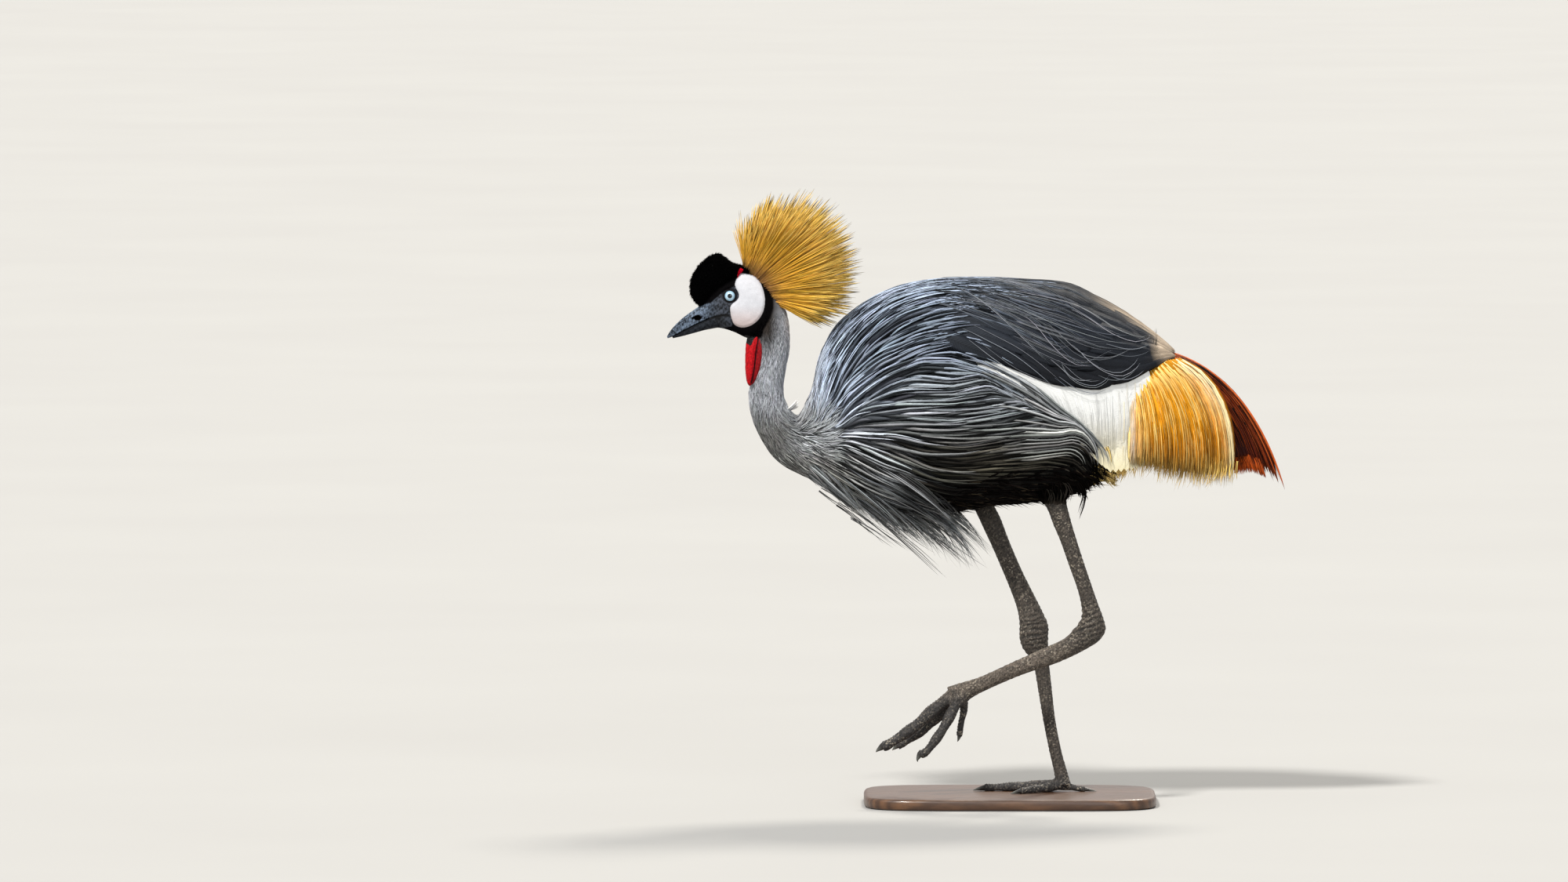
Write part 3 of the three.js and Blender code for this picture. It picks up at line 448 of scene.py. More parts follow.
def feather_material(name, rough, barbs, depth, vary=0.25, sheen=0.15, spec=0.25, shaft=0.0, stripes=0.0):
    """Plumage: the tuft's own tone, fine barbs that run off the shaft, and wear that varies along the tuft."""
    m, nt, b = material(name, rough=rough, spec=spec, sheen=sheen)
    k = Nodes(nt)
    tone, along, across = k.attr("Tone"), k.attr("along", "Fac"), k.attr("across", "Fac")
    side = k.math("ABSOLUTE", across)
    phase = k.math("ADD", k.math("MULTIPLY", along, barbs), k.math("MULTIPLY", side, -2.6))
    wobble = k.math("MULTIPLY", k.noise(320, 2), 1.6)
    line = k.math("SINE", k.math("MULTIPLY", k.math("ADD", phase, wobble), 6.2832))
    if stripes:                       # loose barbs that run along the plume
        drift = k.math("MULTIPLY", k.noise(45, 2), 5.0)
        line = k.math("SINE", k.math("MULTIPLY", k.math("ADD", k.math("ADD", k.math("MULTIPLY", across, 2.2), drift), k.math("MULTIPLY", along, -1.2)), 6.2832))
    soft = k.noise(60, 3)
    fac = k.math("ADD", k.range(line, -1, 1, 1 - vary * 0.55, 1 + vary * 0.35), k.range(soft, 0.3, 0.7, -vary * 0.4, vary * 0.4))
    if shaft:
        rachis = k.range(side, 0.0, 0.10, shaft, 0.0)
        fac = k.math("ADD", fac, rachis)
    k.link(k.scaled(tone, fac), b.inputs["Base Color"])
    k.link(k.range(k.noise(90, 2), 0.3, 0.7, rough - 0.08, rough + 0.1), b.inputs["Roughness"])
    k.link(k.bump(line, 0.5, depth), b.inputs["Normal"])
    return m


# ---------------------------------------------------------------- floor, light, camera
def build_stage():
    me = make_mesh("floor", np.array([[-90, -90, 0], [90, -90, 0], [90, 90, 0], [-90, 90, 0]], float) - [0, 0, 0.0004], np.array([[0, 1, 2, 3]]), smooth=False)
    floor = make_object("floor", me)
    m, nt, b = material("floor_paper", rough=0.85, spec=0.15)
    k = Nodes(nt)
    k.link(k.mixed(k.range(k.noise(1.3, 2), 0.3, 0.7, 0, 1), (0.333, 0.329, 0.320), (0.343, 0.340, 0.330)), b.inputs["Base Color"])
    me.materials.append(m)
    w = bpy.data.worlds.new("studio")
    bpy.context.scene.world = w
    w.use_nodes = True
    bg = w.node_tree.nodes["Background"]
    bg.inputs["Color"].default_value = (0.98, 0.985, 1.0, 1)
    bg.inputs["Strength"].default_value = 0.58

    def sun(name, towards, strength, angle, colour):
        d = bpy.data.lights.new(name, "SUN")
        d.energy, d.angle, d.color = strength, math.radians(angle), colour
        o = bpy.data.objects.new(name, d)
        bpy.context.scene.collection.objects.link(o)
        o.location = Vector(towards) * 3
        o.rotation_euler = Vector(towards).to_track_quat("Z", "Y").to_euler()

    sun("key", (-0.42, -0.66, 0.95), 4.5, 8, (1.0, 0.975, 0.93))
    sun("fill", (0.35, -0.95, 0.30), 0.95, 40, (0.94, 0.97, 1.0))
    sun("rim", (0.25, 0.75, 0.85), 2.8, 13, (1.0, 0.95, 0.86))
    cam = bpy.data.cameras.new("camera")
    cam.sensor_width, cam.lens = 36.0, 353.0
    cam.clip_start, cam.clip_end = 0.5, 400
    co = bpy.data.objects.new("camera", cam)
    bpy.context.scene.collection.objects.link(co)
    target = Vector((float(X(1000)), 0.0, float(Z(562.5))))
    el = math.radians(3.5)
    co.location = target + Vector((0, -math.cos(el), math.sin(el))) * 20.0
    co.rotation_euler = (target - co.location).to_track_quat("-Z", "Y").to_euler()
    bpy.context.scene.camera = co
    bpy.context.scene.view_settings.view_transform = "Standard"
    bpy.context.scene.view_settings.look = "None"


build_stage()

# ---------------------------------------------------------------- plumage colours, by place on the bird
NECK_GREY, NECK_FOLD_SHADE, UNDER_HEAD = srgb(204, 208, 216), srgb(146, 146, 144), srgb(66, 60, 56)
MANTLE_BLUE, SIDE_GREY = srgb(160, 173, 193), srgb(138, 144, 150)
LOW_BROWN, BELLY_BLACK, BREAST_GREY = srgb(84, 80, 70), srgb(11, 8, 7), srgb(124, 124, 121)
SLATE, SLATE_DARK, BUFF = srgb(40, 44, 51), srgb(23, 24, 27), srgb(184, 166, 144)
WHITE, CREAM = srgb(247, 248, 246), srgb(242, 231, 190)
GOLD, GOLD_DEEP, GOLD_PALE, GOLD_BROWN = srgb(220, 150, 32) / EXPOSE, srgb(190, 116, 14) / EXPOSE, srgb(252, 218, 130) / EXPOSE, srgb(118, 74, 20)
CHESTNUT, CHESTNUT_DEEP, CHESTNUT_RED = srgb(142, 56, 18), srgb(76, 22, 8), srgb(226, 104, 36)


def blend(c, d, f):
    f = np.asarray(f)[..., None]
    return c * (1 - f) + d * f


def plumage(u, v):
    """Mid tone of the body's plumage at a place of the side view."""
    c = np.broadcast_to(NECK_GREY, np.shape(u) + (3,)).copy()
    c = blend(c, UNDER_HEAD, ramp(1005, 981, u + 0.1 * (v - 400)) * ramp(466, 420, v))
    # painted highlight: a warm pale band along the back edge of the upper neck, as the rim light from behind
    c = blend(c, srgb(204, 190, 182), 0.6 * ramp(996, 1006, u) * ramp(450, 410, v))
    # painted shade: the lower neck is painted darker grey, as the shade of the throat's fold
    c = blend(c, NECK_FOLD_SHADE, ramp(500, 552, v) * ramp(1080, 1040, u))
    c = blend(c, MANTLE_BLUE, ramp(1015, 1060, u) * ramp(575, 500, v))
    c = blend(c, BREAST_GREY, ramp(1020, 1060, u) * ramp(545, 600, v))
    c = blend(c, MANTLE_BLUE * 0.62, ramp(1085, 1150, u) * ramp(374, 398, v) * ramp(500, 450, v))
    c = blend(c, SIDE_GREY, ramp(1080, 1170, u) * ramp(430, 500, v))
    c = blend(c, LOW_BROWN, ramp(500, 585, v) * ramp(1110, 1220, u))
    c = c * (1 + 0.30 * ramp(1135, 1080, u) * ramp(1020, 1050, u) * ramp(550, 490, v))[..., None]
    c = c * (1 - 0.6 * ramp(1112, 1150, u) * ramp(592, 622, v))[..., None]
    c = blend(c, srgb(186, 190, 194), 0.85 * ramp(990, 1018, u) * ramp(1075, 1045, u) * ramp(516, 542, v) * ramp(584, 562, v))
    c = blend(c, srgb(8, 7, 7), ramp(973, 963, u) * ramp(450, 441, v) * ramp(408, 424, v))
    edge = np.interp(u, [1150, 1210, 1300, 1380, 1440], [668, 612, 606, 588, 560])
    c = blend(c, BELLY_BLACK, ramp(edge - 14, edge + 12, v) * ramp(1150, 1190, u))
    return c


# Lie of the feathers: at (u, v), direction (du, dv).
LIE = np.array([
    (975, 385, .35, .94), (990, 400, .05, 1), (962, 430, 0, 1), (990, 440, 0, 1), (985, 470, -.05, 1), (978, 500, -.03, 1),
    (1000, 500, -.02, 1), (962, 530, .15, .98), (985, 530, .25, .97), (1006, 530, .6, .8), (985, 560, .5, .86), (1010, 560, .78, .6),
    (1015, 590, .75, .62), (1035, 570, .95, .2), (1026, 540, .9, -.2), (1026, 522, .3, -.95), (1040, 500, .35, -.94), (1052, 470, .38, -.92),
    (1070, 440, .55, -.83), (1110, 400, .75, -.66), (1160, 375, .93, -.37), (1220, 362, .99, -.08), (1300, 360, 1, .03),
    (1060, 520, .72, -.69), (1100, 490, .85, -.52), (1150, 450, .93, -.37), (1200, 425, .98, -.2), (1230, 450, .95, .3),
    (1060, 560, .97, -.2), (1120, 530, .99, -.1), (1180, 505, 1, -.02), (1185, 472, 1, .05), (1235, 484, .95, -.26), (1258, 462, .88, .45), (1240, 510, .98, -.14), (1290, 524, .97, -.2), (1335, 534, .96, -.08),
    (1280, 472, .84, .54), (1312, 492, .82, .57), (1345, 514, .8, .6), (1374, 538, .74, .67), (1396, 560, .5, .87), (1407, 585, .15, .99), (1368, 562, .86, .36),
    (1388, 580, .5, .87), (1080, 580, .95, .3), (1140, 580, .96, .28), (1200, 575, .99, .05), (1250, 575, .98, -.14),
    (1310, 570, .98, -.1), (1350, 568, .95, .25), (1385, 590, .6, .8), (1050, 610, .9, .43), (1090, 640, .8, .6), (1130, 640, .8, .6),
    (1180, 640, .84, .54), (1160, 600, .9, .42), (1110, 600, .9, .43), (1250, 620, .97, .1), (1320, 625, .98, .1), (1390, 612, .8, .6)], float)


def lie(P):
    u, v = uv_of(P)
    d2 = (u[:, None] - LIE[:, 0]) ** 2 + (v[:, None] - LIE[:, 1]) ** 2 + 40.0
    w = d2 ** -2.2
    d = (w @ LIE[:, 2:4]) / w.sum(1)[:, None]
    return unit(np.stack([d[:, 0], np.zeros(len(P)), -d[:, 1]], -1))


# ---------------------------------------------------------------- the surface the feather tips lie on
class Surface:
    def __init__(self, ob):
        me = ob.data
        self.V, vn = mesh_arrays(me)
        polys = [tuple(p.vertices) for p in me.polygons]
        self.tree = BVHTree.FromPolygons([tuple(p) for p in self.V], polys)
        self.normals = unit(np.array([vn[list(p)].mean(0) for p in polys]))
        self.tri = np.array([(p[0], p[i], p[i + 1]) for p in polys for i in range(1, len(p) - 1)])
        a, b, c = (self.V[self.tri[:, i]] for i in range(3))
        self.area = np.linalg.norm(np.cross(b - a, c - a), axis=1) / 2

    def project(self, P):
        near, at = self.tree.find_nearest, []
        loc = np.empty((len(P), 3))
        idx = np.empty(len(P), int)
        for i, p in enumerate(P.tolist()):
            q = near(p)
            loc[i] = q[0]
            idx[i] = q[2]
        return loc, self.normals[idx]

    def sample(self, n, rng, keep=None):
        """n points spread evenly over the surface, or over the part that keep(P) allows."""
        got = []
        total = 0
        while total < n:
            t = rng.choice(len(self.tri), size=int(n * 1.6) + 200, p=self.area / self.area.sum())
            r1, r2 = np.sqrt(rng.random(len(t)))[:, None], rng.random(len(t))[:, None]
            a, b, c = (self.V[self.tri[t, i]] for i in range(3))
            P = a * (1 - r1) + b * (r1 * (1 - r2)) + c * (r1 * r2)
            if keep is not None:
                P = P[keep(P)]
            got.append(P)
            total += len(P)
        return np.concatenate(got)[:n]

    def side(self, u, v, s):
        """Points on the flank at side-view places, s = -1 for the left, and the normals there."""
        P = np.empty((len(u), 3))
        N = np.empty((len(u), 3))
        for i, (x, z) in enumerate(zip(X(u), Z(v))):
            hit = self.tree.ray_cast((x, s * 0.4, z), (0, -s, 0))
            if hit[0] is None:
                q = self.tree.find_nearest((x, s * 0.12, z))
                hit = (q[0], q[1], q[2], 0)
            P[i], N[i] = hit[0], self.normals[hit[2]]
        return P, N


def guide_surface():
    solids = [tube_solid(loft(r, n, m, -0.0008)) for r, n, m in ((BODY, 90, 72), (NECK, 60, 40), (HEAD, 40, 40))]
    ob = remeshed(joined(solids, "guide"), 0.0038, smooth=6, factor=0.5)
    s = Surface(ob)
    me = ob.data
    bpy.data.objects.remove(ob)
    bpy.data.meshes.remove(me)
    return s


# ---------------------------------------------------------------- tufts as closed thin solids
def march(surf, R, L, K, yaw=None, turn=None, lay=lie):
    """Paths of K points that follow the lie over the surface from roots R, for lengths L."""
    n = len(R)
    P, N = np.empty((n, K, 3)), np.empty((n, K, 3))
    p, nr = surf.project(R)
    step = (L / (K - 1))[:, None]
    for k in range(K):
        P[:, k], N[:, k] = p, nr
        if k == K - 1:
            break
        d = lay(p)
        d = unit(d - (d * nr).sum(1, keepdims=True) * nr)
        if yaw is not None:
            a = (yaw + (turn * k / (K - 1) if turn is not None else 0))[:, None]
            d = d * np.cos(a) + np.cross(nr, d) * np.sin(a)
        p, nr = surf.project(p + d * step)
    return P, N


def resample(A, s):
    """A (n, K, c) read at shares s (n, J) of its length."""
    n, K, _ = A.shape
    x = np.clip(s, 0, 1) * (K - 1)
    i = np.minimum(x.astype(int), K - 2)
    f = (x - i)[..., None]
    r = np.arange(n)[:, None]
    return A[r, i] * (1 - f) + A[r, i + 1] * f


def tangents(P):
    return unit(np.gradient(P, axis=1))


def spread_places(uv, pitch=0.0045):
    """Moves each place of the unwrap to the nearest free cell, so that no two patches share texels."""
    n = int(1 / pitch)
    cell = np.clip((uv * n).astype(int), 0, n - 1)
    used, out = set(), np.empty((len(uv), 2))
    ring = sorted(((i, j) for i in range(-14, 15) for j in range(-14, 15)), key=lambda q: q[0] ** 2 + q[1] ** 2)
    for k, (a, b) in enumerate(cell.tolist()):
        for i, j in ring:
            c = (min(max(a + i, 0), n - 1), min(max(b + j, 0), n - 1))
            if c not in used:
                break
        used.add(c)
        out[k] = ((c[0] + 0.5) / n, (c[1] + 0.5) / n)
    return out


def unwrap(P, box=None, middle=None):
    """Cylinder unwrap round the bird's long axis: along the body, and the angle round it."""
    u, v = uv_of(P)
    mid = np.interp(u, [860, 940, 985, 1000, 1060, 1150, 1300, 1500, 1640], [405, 385, 470, 545, 545, 510, 500, 510, 560]) if middle is None else middle
    ang = np.arctan2(P[:, 1], (mid - v) * G)
    a = np.stack([u, ang], -1)
    lo, hi = a.min(0), a.max(0)
    return 0.01 + 0.98 * (a - lo) / np.maximum(hi - lo, 1e-9)


class Tufts:
    """Collects tufts given as rings and turns them into one mesh with tone, place along and across, and the OFBake map."""

    def __init__(self, name):
        self.name, self.V, self.q, self.t, self.n = name, [], [], [], 0
        self.tone, self.al, self.ac, self.local, self.root, self.tuft_of = [], [], [], [], [], []
        self.count = 0
        self.polys = []

    def add(self, rings, tips, tone, across):
        """rings (n, K, R, 3), tips (n, 3), tone (n, K + 1, 3) or (n, K + 1, R, 3), across (R,)."""
        n, K, R, _ = rings.shape
        size = K * R + 1
        V = np.concatenate([rings.reshape(n, K * R, 3), tips[:, None]], 1)
        base = self.n + np.arange(n)[:, None, None] * size
        i, j = np.meshgrid(np.arange(K - 1), np.arange(R), indexing="ij")
        k = (j + 1) % R
        q = np.stack([i * R + j, i * R + k, (i + 1) * R + k, (i + 1) * R + j], -1).reshape(-1, 4)
        self.q.append((q[None] + base).reshape(-1, 4))
        j = np.arange(R)
        t = np.stack([(K - 1) * R + j, (K - 1) * R + (j + 1) % R, np.full(R, K * R)], -1)
        fan = np.stack([np.zeros(R - 2, int), np.arange(2, R), np.arange(1, R - 1)], -1)
        t = np.concatenate([t, fan])
        self.t.append((t[None] + base).reshape(-1, 3))
        if tone.ndim == 3:
            tn = np.concatenate([np.repeat(tone[:, :K, None], R, 2).reshape(n, K * R, 3), tone[:, K:K + 1]], 1)
        else:
            tn = np.concatenate([tone[:, :K].reshape(n, K * R, 3), tone[:, K:K + 1, R // 2]], 1)
        self.V.append(V.reshape(-1, 3))
        self.tone.append(tn.reshape(-1, 3))
        al = np.concatenate([np.repeat(np.arange(K) / K, R), [1.0]])
        ac = np.concatenate([np.tile(across, K), [0.0]])
        self.al.append(np.tile(al, n))
        self.ac.append(np.tile(ac, n))
        self.tuft_of.append(np.repeat(np.arange(n), size) + self.count)
        self.root.append(rings[:, 0].mean(1))
        self.n += n * size
        self.count += n

    def build(self, mat, slot, replaces=(), places=None, smooth=True):
        V, tone = np.concatenate(self.V), np.concatenate(self.tone)
        al, ac = np.concatenate(self.al), np.concatenate(self.ac)
        tuft = np.concatenate(self.tuft_of)
        q, t = np.concatenate(self.q), np.concatenate(self.t)
        me = make_mesh(self.name, V, q, t, smooth=smooth)
        colour_attribute(me, "Tone", tone)
        float_attribute(me, "along", al)
        float_attribute(me, "across", ac)
        roots = np.concatenate(self.root)
        place = spread_places(unwrap(roots) if places is None else places)
        uv = place[tuft] + np.stack([ac * 0.0014, (al - 0.5) * 0.0028], -1)
        loops = np.concatenate([q.ravel(), t.ravel()])
        layer = me.uv_layers.new(name="OFBake")
        layer.data.foreach_set("uv", np.ascontiguousarray(uv[loops], np.float32).ravel())
        me.materials.append(mat)
        ob = make_object(self.name, me)
        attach(ob, "root")
        if replaces:
            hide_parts(*replaces)
        print("coat", self.name, "tufts", self.count, "triangles", 2 * len(q) + len(t))
        return ob


def vane(tufts, P, N, W, H, tone, section="tri", twist=None):
    """Slender tufts: P, N (n, K + 1, 3) with the last point as the tip, half width W and height H (n, K)."""
    T = tangents(P)
    S = unit(np.cross(T, N))
    Nn = np.cross(S, T)
    K = W.shape[1]
    p, s, nn = P[:, :K], S[:, :K], Nn[:, :K]
    if twist is not None:
        a = twist[..., None]
        s, nn = s * np.cos(a) + nn * np.sin(a), nn * np.cos(a) - s * np.sin(a)
    w, h = W[..., None], H[..., None]
    if section == "tri":
        rings = np.stack([p - s * w, p + nn * h, p + s * w], 2)
        across = np.array([-1, 0, 1.0])
    elif section == "dia":
        rings = np.stack([p - s * w, p + nn * h, p + s * w, p - nn * h * 0.4], 2)
        across = np.array([-1, 0, 1.0, 0])
    else:                      # a broad vane, arched, with thickness
        cols = np.linspace(-1, 1, 5)
        top = [p + s * w * c + nn * h * (1 - c * c) for c in cols]
        low = [p + s * w * c * 0.96 + nn * (h * (1 - c * c) - np.maximum(h * 0.35, 0.0003)) for c in cols[::-1][1:-1]]
        rings = np.stack(top + low, 2)
        across = np.concatenate([cols, cols[::-1][1:-1]])
    tufts.add(rings, P[:, K], tone, across)


def lifted(P, N, depth, lift, rise=0.35, tip=0.0):
    """Sinks the roots under the surface and lets the tufts come up to it."""
    s = np.linspace(0, 1, P.shape[1])[None, :, None]
    depth, lift, tip = (np.broadcast_to(np.asarray(x, float), (len(P),))[:, None, None] for x in (depth, lift, tip))
    off = mix(-depth, lift, ramp(0, rise, s)) + tip * s ** 2
    return P + N * off


def profile(n, K, kind, rng=None):
    """Half width along a tuft, 0..1."""
    s = np.arange(K) / K
    if kind == "lance":
        w = np.minimum(1, 0.45 + 3.2 * s) * (1 - s ** 2.6) ** 0.8
    elif kind == "round":
        w = np.minimum(1, 0.5 + 2.5 * s) * (1 - s ** 5) ** 0.6
    elif kind == "hair":
        w = (1 - s ** 1.6) ** 0.7
    else:
        w = np.ones(K)
    return np.broadcast_to(w, (n, K)).copy()


def tone_along(base, rng, spread=0.12, root=0.55, tip=1.15, K=8, hue=0.02):
    """(n, K + 1, 3) tones: darker at the root, paler to the tip, each tuft a little different."""
    n = len(base)
    s = np.linspace(0, 1, K + 1)[None, :, None]
    f = mix(root, 1.0, ramp(0, 0.45, s)) * mix(1.0, tip, ramp(0.5, 1.0, s))
    g = np.exp(rng.normal(0, spread, (n, 1, 1)))
    h = 1 + rng.normal(0, hue, (n, 1, 3))
    return base[:, None] * f * g * h


# ---------------------------------------------------------------- skin
HEAD_BLACK = [(880, 330), (905, 316), (930, 322), (949, 334), (963, 342.5), (971.5, 351), (977, 360), (981.5, 370), (984.5, 381), (985, 391), (982, 402),
              (976.5, 411), (972, 419), (971, 427), (961, 430), (958.5, 436), (956.5, 440), (953, 437), (949, 432), (943, 428), (935, 424), (921, 421), (921, 412), (885, 400), (870, 380)]
FACE = [(880, 380), (887.4, 387.2), (897, 388), (907.2, 384.6), (914.8, 377.6), (922.5, 371.2), (931.4, 366.1), (936.5, 364.2), (940, 368), (943, 374),
        (942.5, 378.5), (938, 384), (933, 388), (931, 393), (932, 400), (933, 406), (934.5, 412), (934, 415.6), (925, 417.4), (921, 422), (912, 424), (895, 428), (880, 410)]


def limb_points(pts, n):
    pts = np.asarray(pts, float)
    P = catmull(pts, np.linspace(0, len(pts) - 1, n * 4))
    return along_line(P, n)


def limb(pts, radius, n, m, wide=1.0, high=1.0, up=(0, 0, 1)):
    C = limb_points(pts, n)
    t = np.linspace(0, 1, n)
    r = radius(t)[:, None, None]
    D = unit(np.gradient(C, axis=0))
    side = unit(np.cross(np.asarray(up, float)[None], D))
    top = np.cross(D, side)
    th = 2 * math.pi * np.arange(m) / m
    return C[:, None] + r * (side[:, None] * (np.cos(th) * wide)[None, :, None] + top[:, None] * (np.sin(th) * high)[None, :, None])


TOE_LENGTH = {"middle": 118, "inner": 84, "outer": 96, "hind": 44}
TOE_R = {"middle": 7.6, "inner": 6.6, "outer": 6.8, "hind": 5.2}
TOE_YAW = {"middle": -4, "inner": 34, "outer": -42, "hind": 172}
ANKLE = (float(X(1357)), 0.0135)
RAISED = {
    "middle": ([(1215, 886, -39), (1196, 899, -40), (1166, 925, -40), (1134, 947, -39), (1126, 950, -39)], (1117, 957.5, -38.5), 9.0),
    "inner": ([(1218, 892, -34), (1200, 910, -27), (1176, 932, -21), (1153, 947, -18), (1145, 951, -17)], (1138, 957, -16.5), 7.0),
    "outer": ([(1224, 886, -45), (1214, 905, -52), (1200, 930, -58), (1182, 954, -62), (1173, 958.5, -63)], (1170, 968, -63.5), 7.6),
    "hind": ([(1229, 893, -33), (1229, 906, -30), (1226, 920, -28), (1224.5, 931, -27.5), (1223.5, 938, -27.5)], (1221, 945, -28), 5.4)}


def world(pts):
    p = np.asarray(pts, float)
    return np.stack([X(p[:, 0]), p[:, 2] * 1e-3, Z(p[:, 1])], -1)


def toe_specs():
    """(side, toe, bone path, claw tip, radius at the root, share at the end, joints)"""
    out = []
    for toe, (path, claw, r) in RAISED.items():
        out.append(("left", toe, world(path), world([claw])[0], r * 1e-3, 0.68, 1 if toe == "hind" else 3))
    for toe, length in TOE_LENGTH.items():
        a = math.radians(TOE_YAW[toe])
        d = np.array([-math.cos(a), -math.sin(a)])
        r, bone = TOE_R[toe] * 1e-3, (length - 15) * 1e-3
        hs = [(0.001, r * 1.3), (bone * 0.3, r * (1.1 if toe == "hind" else 0.98)), (bone * 0.65, r * 0.72), (bone, r * 0.5)]
        path = np.array([[ANKLE[0] + d[0] * s, ANKLE[1] + d[1] * s, BASE + 0.0004 + h] for s, h in hs])
        tip = np.array([ANKLE[0] + d[0] * (bone + 0.015), ANKLE[1] + d[1] * (bone + 0.015), BASE + 0.0009])
        out.append(("right", toe, path, tip, r, 0.62, 1 if toe == "hind" else 3))
    return out


def toe_radius(t, r, end, joints):
    return r * mix(1, end, t) * (1 + 0.09 * np.cos(2 * math.pi * joints * t))


def head_solid():
    """Head with eye sockets, lids, cheeks, and the groove of the gape, as a fine loft."""
    rings = loft(HEAD, 190, 200, -0.0001)
    n, m, _ = rings.shape
    T = np.gradient(rings, axis=0)
    S = np.gradient(np.concatenate([rings[:, -1:], rings, rings[:, :1]], 1), axis=1)[:, 1:-1]
    N = unit(np.cross(S, T))
    c = rings.mean(1, keepdims=True)
    N = N * np.sign((N * (rings - c)).sum(-1, keepdims=True))
    u, v = uv_of(rings)
    y = rings[..., 1]
    flank = ramp(0.005, 0.009, np.abs(y))
    inside_cheek = inside(CHEEK, u, v)
    d = distance_to(CHEEK, u, v)
    puff = np.where(inside_cheek, 0.0015 * ramp(-0.3, 3.2, d) + 0.0005 * ramp(2, 12, d), -0.0004 * ramp(2.2, 0.2, d))
    puff += np.where(inside_cheek, wave_noise(rings, 130, 5, 2) * 0.00012, 0)
    off = puff * flank
    # sockets and lids
    r = np.hypot((u - EYE_U) * G, (v - EYE_V) * G)
    ball = EYE_Y + 0.8 * EYE_R * np.sqrt(np.clip(1 - (r / EYE_R) ** 2, 0.02, 1))
    lid = ball + 0.0007 - 0.0005 * ramp(0.0074, 0.0086, r)
    here = np.abs(y)
    target = np.where(r < 0.0062, 0.008, lid)
    blend_out = ramp(0.0125, 0.0082, r)
    depth = (here - target) * blend_out
    side = np.sign(y)
    rings = rings + N * off[..., None]
    rings[..., 1] -= side * depth * flank
    fold = 0.00045 * np.exp(-((r - 0.0097) / 0.0005) ** 2) * ramp(0, 3, EYE_V - v + 1.5)
    rings = rings - N * (fold * flank)[..., None]
    gape = distance_to([(905, 405.5), (917, 403), (927, 401)], u, v)
    rings = rings - N * (0.0008 * np.exp(-(gape / 0.9) ** 2) * flank)[..., None]
    return tube_solid(rings)


def torus(centre, major, minor, axis_y, n=48, m=12, squash=1.0):
    t = 2 * math.pi * np.arange(n) / n
    s = 2 * math.pi * np.arange(m) / m
    rr = major + minor * np.cos(s)[None]
    P = np.stack([centre[0] + rr * np.cos(t)[:, None], centre[1] + axis_y * minor * squash * np.sin(s)[None] * np.ones((n, 1)), centre[2] + rr * np.sin(t)[:, None]], -1)
    i, j = np.meshgrid(np.arange(n), np.arange(m), indexing="ij")
    q = np.stack([i * m + j, ((i + 1) % n) * m + j, ((i + 1) % n) * m + (j + 1) % m, i * m + (j + 1) % m], -1).reshape(-1, 4)
    V = P.reshape(-1, 3)
    tri = np.concatenate([q[:, [0, 1, 2]], q[:, [0, 2, 3]]])
    if np.einsum("ij,ij->i", V[tri[:, 0]] - V.mean(0), np.cross(V[tri[:, 1]] - V.mean(0), V[tri[:, 2]] - V.mean(0))).sum() < 0:
        q = q[:, ::-1]
    return V, q, np.empty((0, 3), int)


def wattle_lobe(ribs, y, seed):
    """One hanging lobe with fine folds down its length. Ribs: front u, v, rear u, v, half thickness mm."""
    ribs = [[r[2], r[3], r[0], r[1], r[4], y, 2.1] for r in ribs]
    rings = loft(ribs, 100, 84)
    c = rings.mean(1, keepdims=True)
    out = unit(rings - c)
    fine = np.sin(np.arange(84) / 84 * 2 * math.pi * 11 + seed)[None] * 0.00020 + wave_noise(rings, 170, 11 + seed, 2) * 0.00022
    return tube_solid(rings + out * fine[..., None])


WATTLE_FRONT = [[953, 431, 967, 428, 4.0], [951.4, 439, 967.6, 436, 6.2], [950.8, 450, 965.4, 448, 7.4], [950.6, 463, 964, 462, 7.8], [951.2, 477, 962, 476.5, 7.0],
                [953, 487, 959.5, 486.5, 4.6], [955.4, 491.6, 957.4, 491.4, 1.4]]
WATTLE_REAR = [[962, 428.5, 971.5, 427.5, 3.6], [963, 438, 974, 437, 6.0], [962.4, 448, 975, 447.5, 7.2], [961, 461, 973.2, 460.5, 7.4], [959.4, 475, 968.8, 475.5, 6.4],
               [957.6, 485, 963.4, 486.5, 4.2], [957, 490, 959, 490.4, 1.2]]


def fold_at(V):
    """Wrinkles where the hocks bend, in metres."""
    u, v = uv_of(V)
    wr = wave_noise(V, 60, 21, 2)
    right = np.exp(-(((u - 1319) / 20) ** 2 + ((v - 808) / 26) ** 2)) * (V[:, 1] > 0)
    left = np.exp(-(((u - 1386) / 22) ** 2 + ((v - 792) / 22) ** 2)) * (V[:, 1] < 0)
    return 0.0009 * (right * np.sin((v + 0.15 * (u - 1319)) * 2 * math.pi / 6.4 + wr * 1.6) + left * np.sin((v + 0.42 * (u - 1389)) * 2 * math.pi / 7.0 + wr * 1.2))


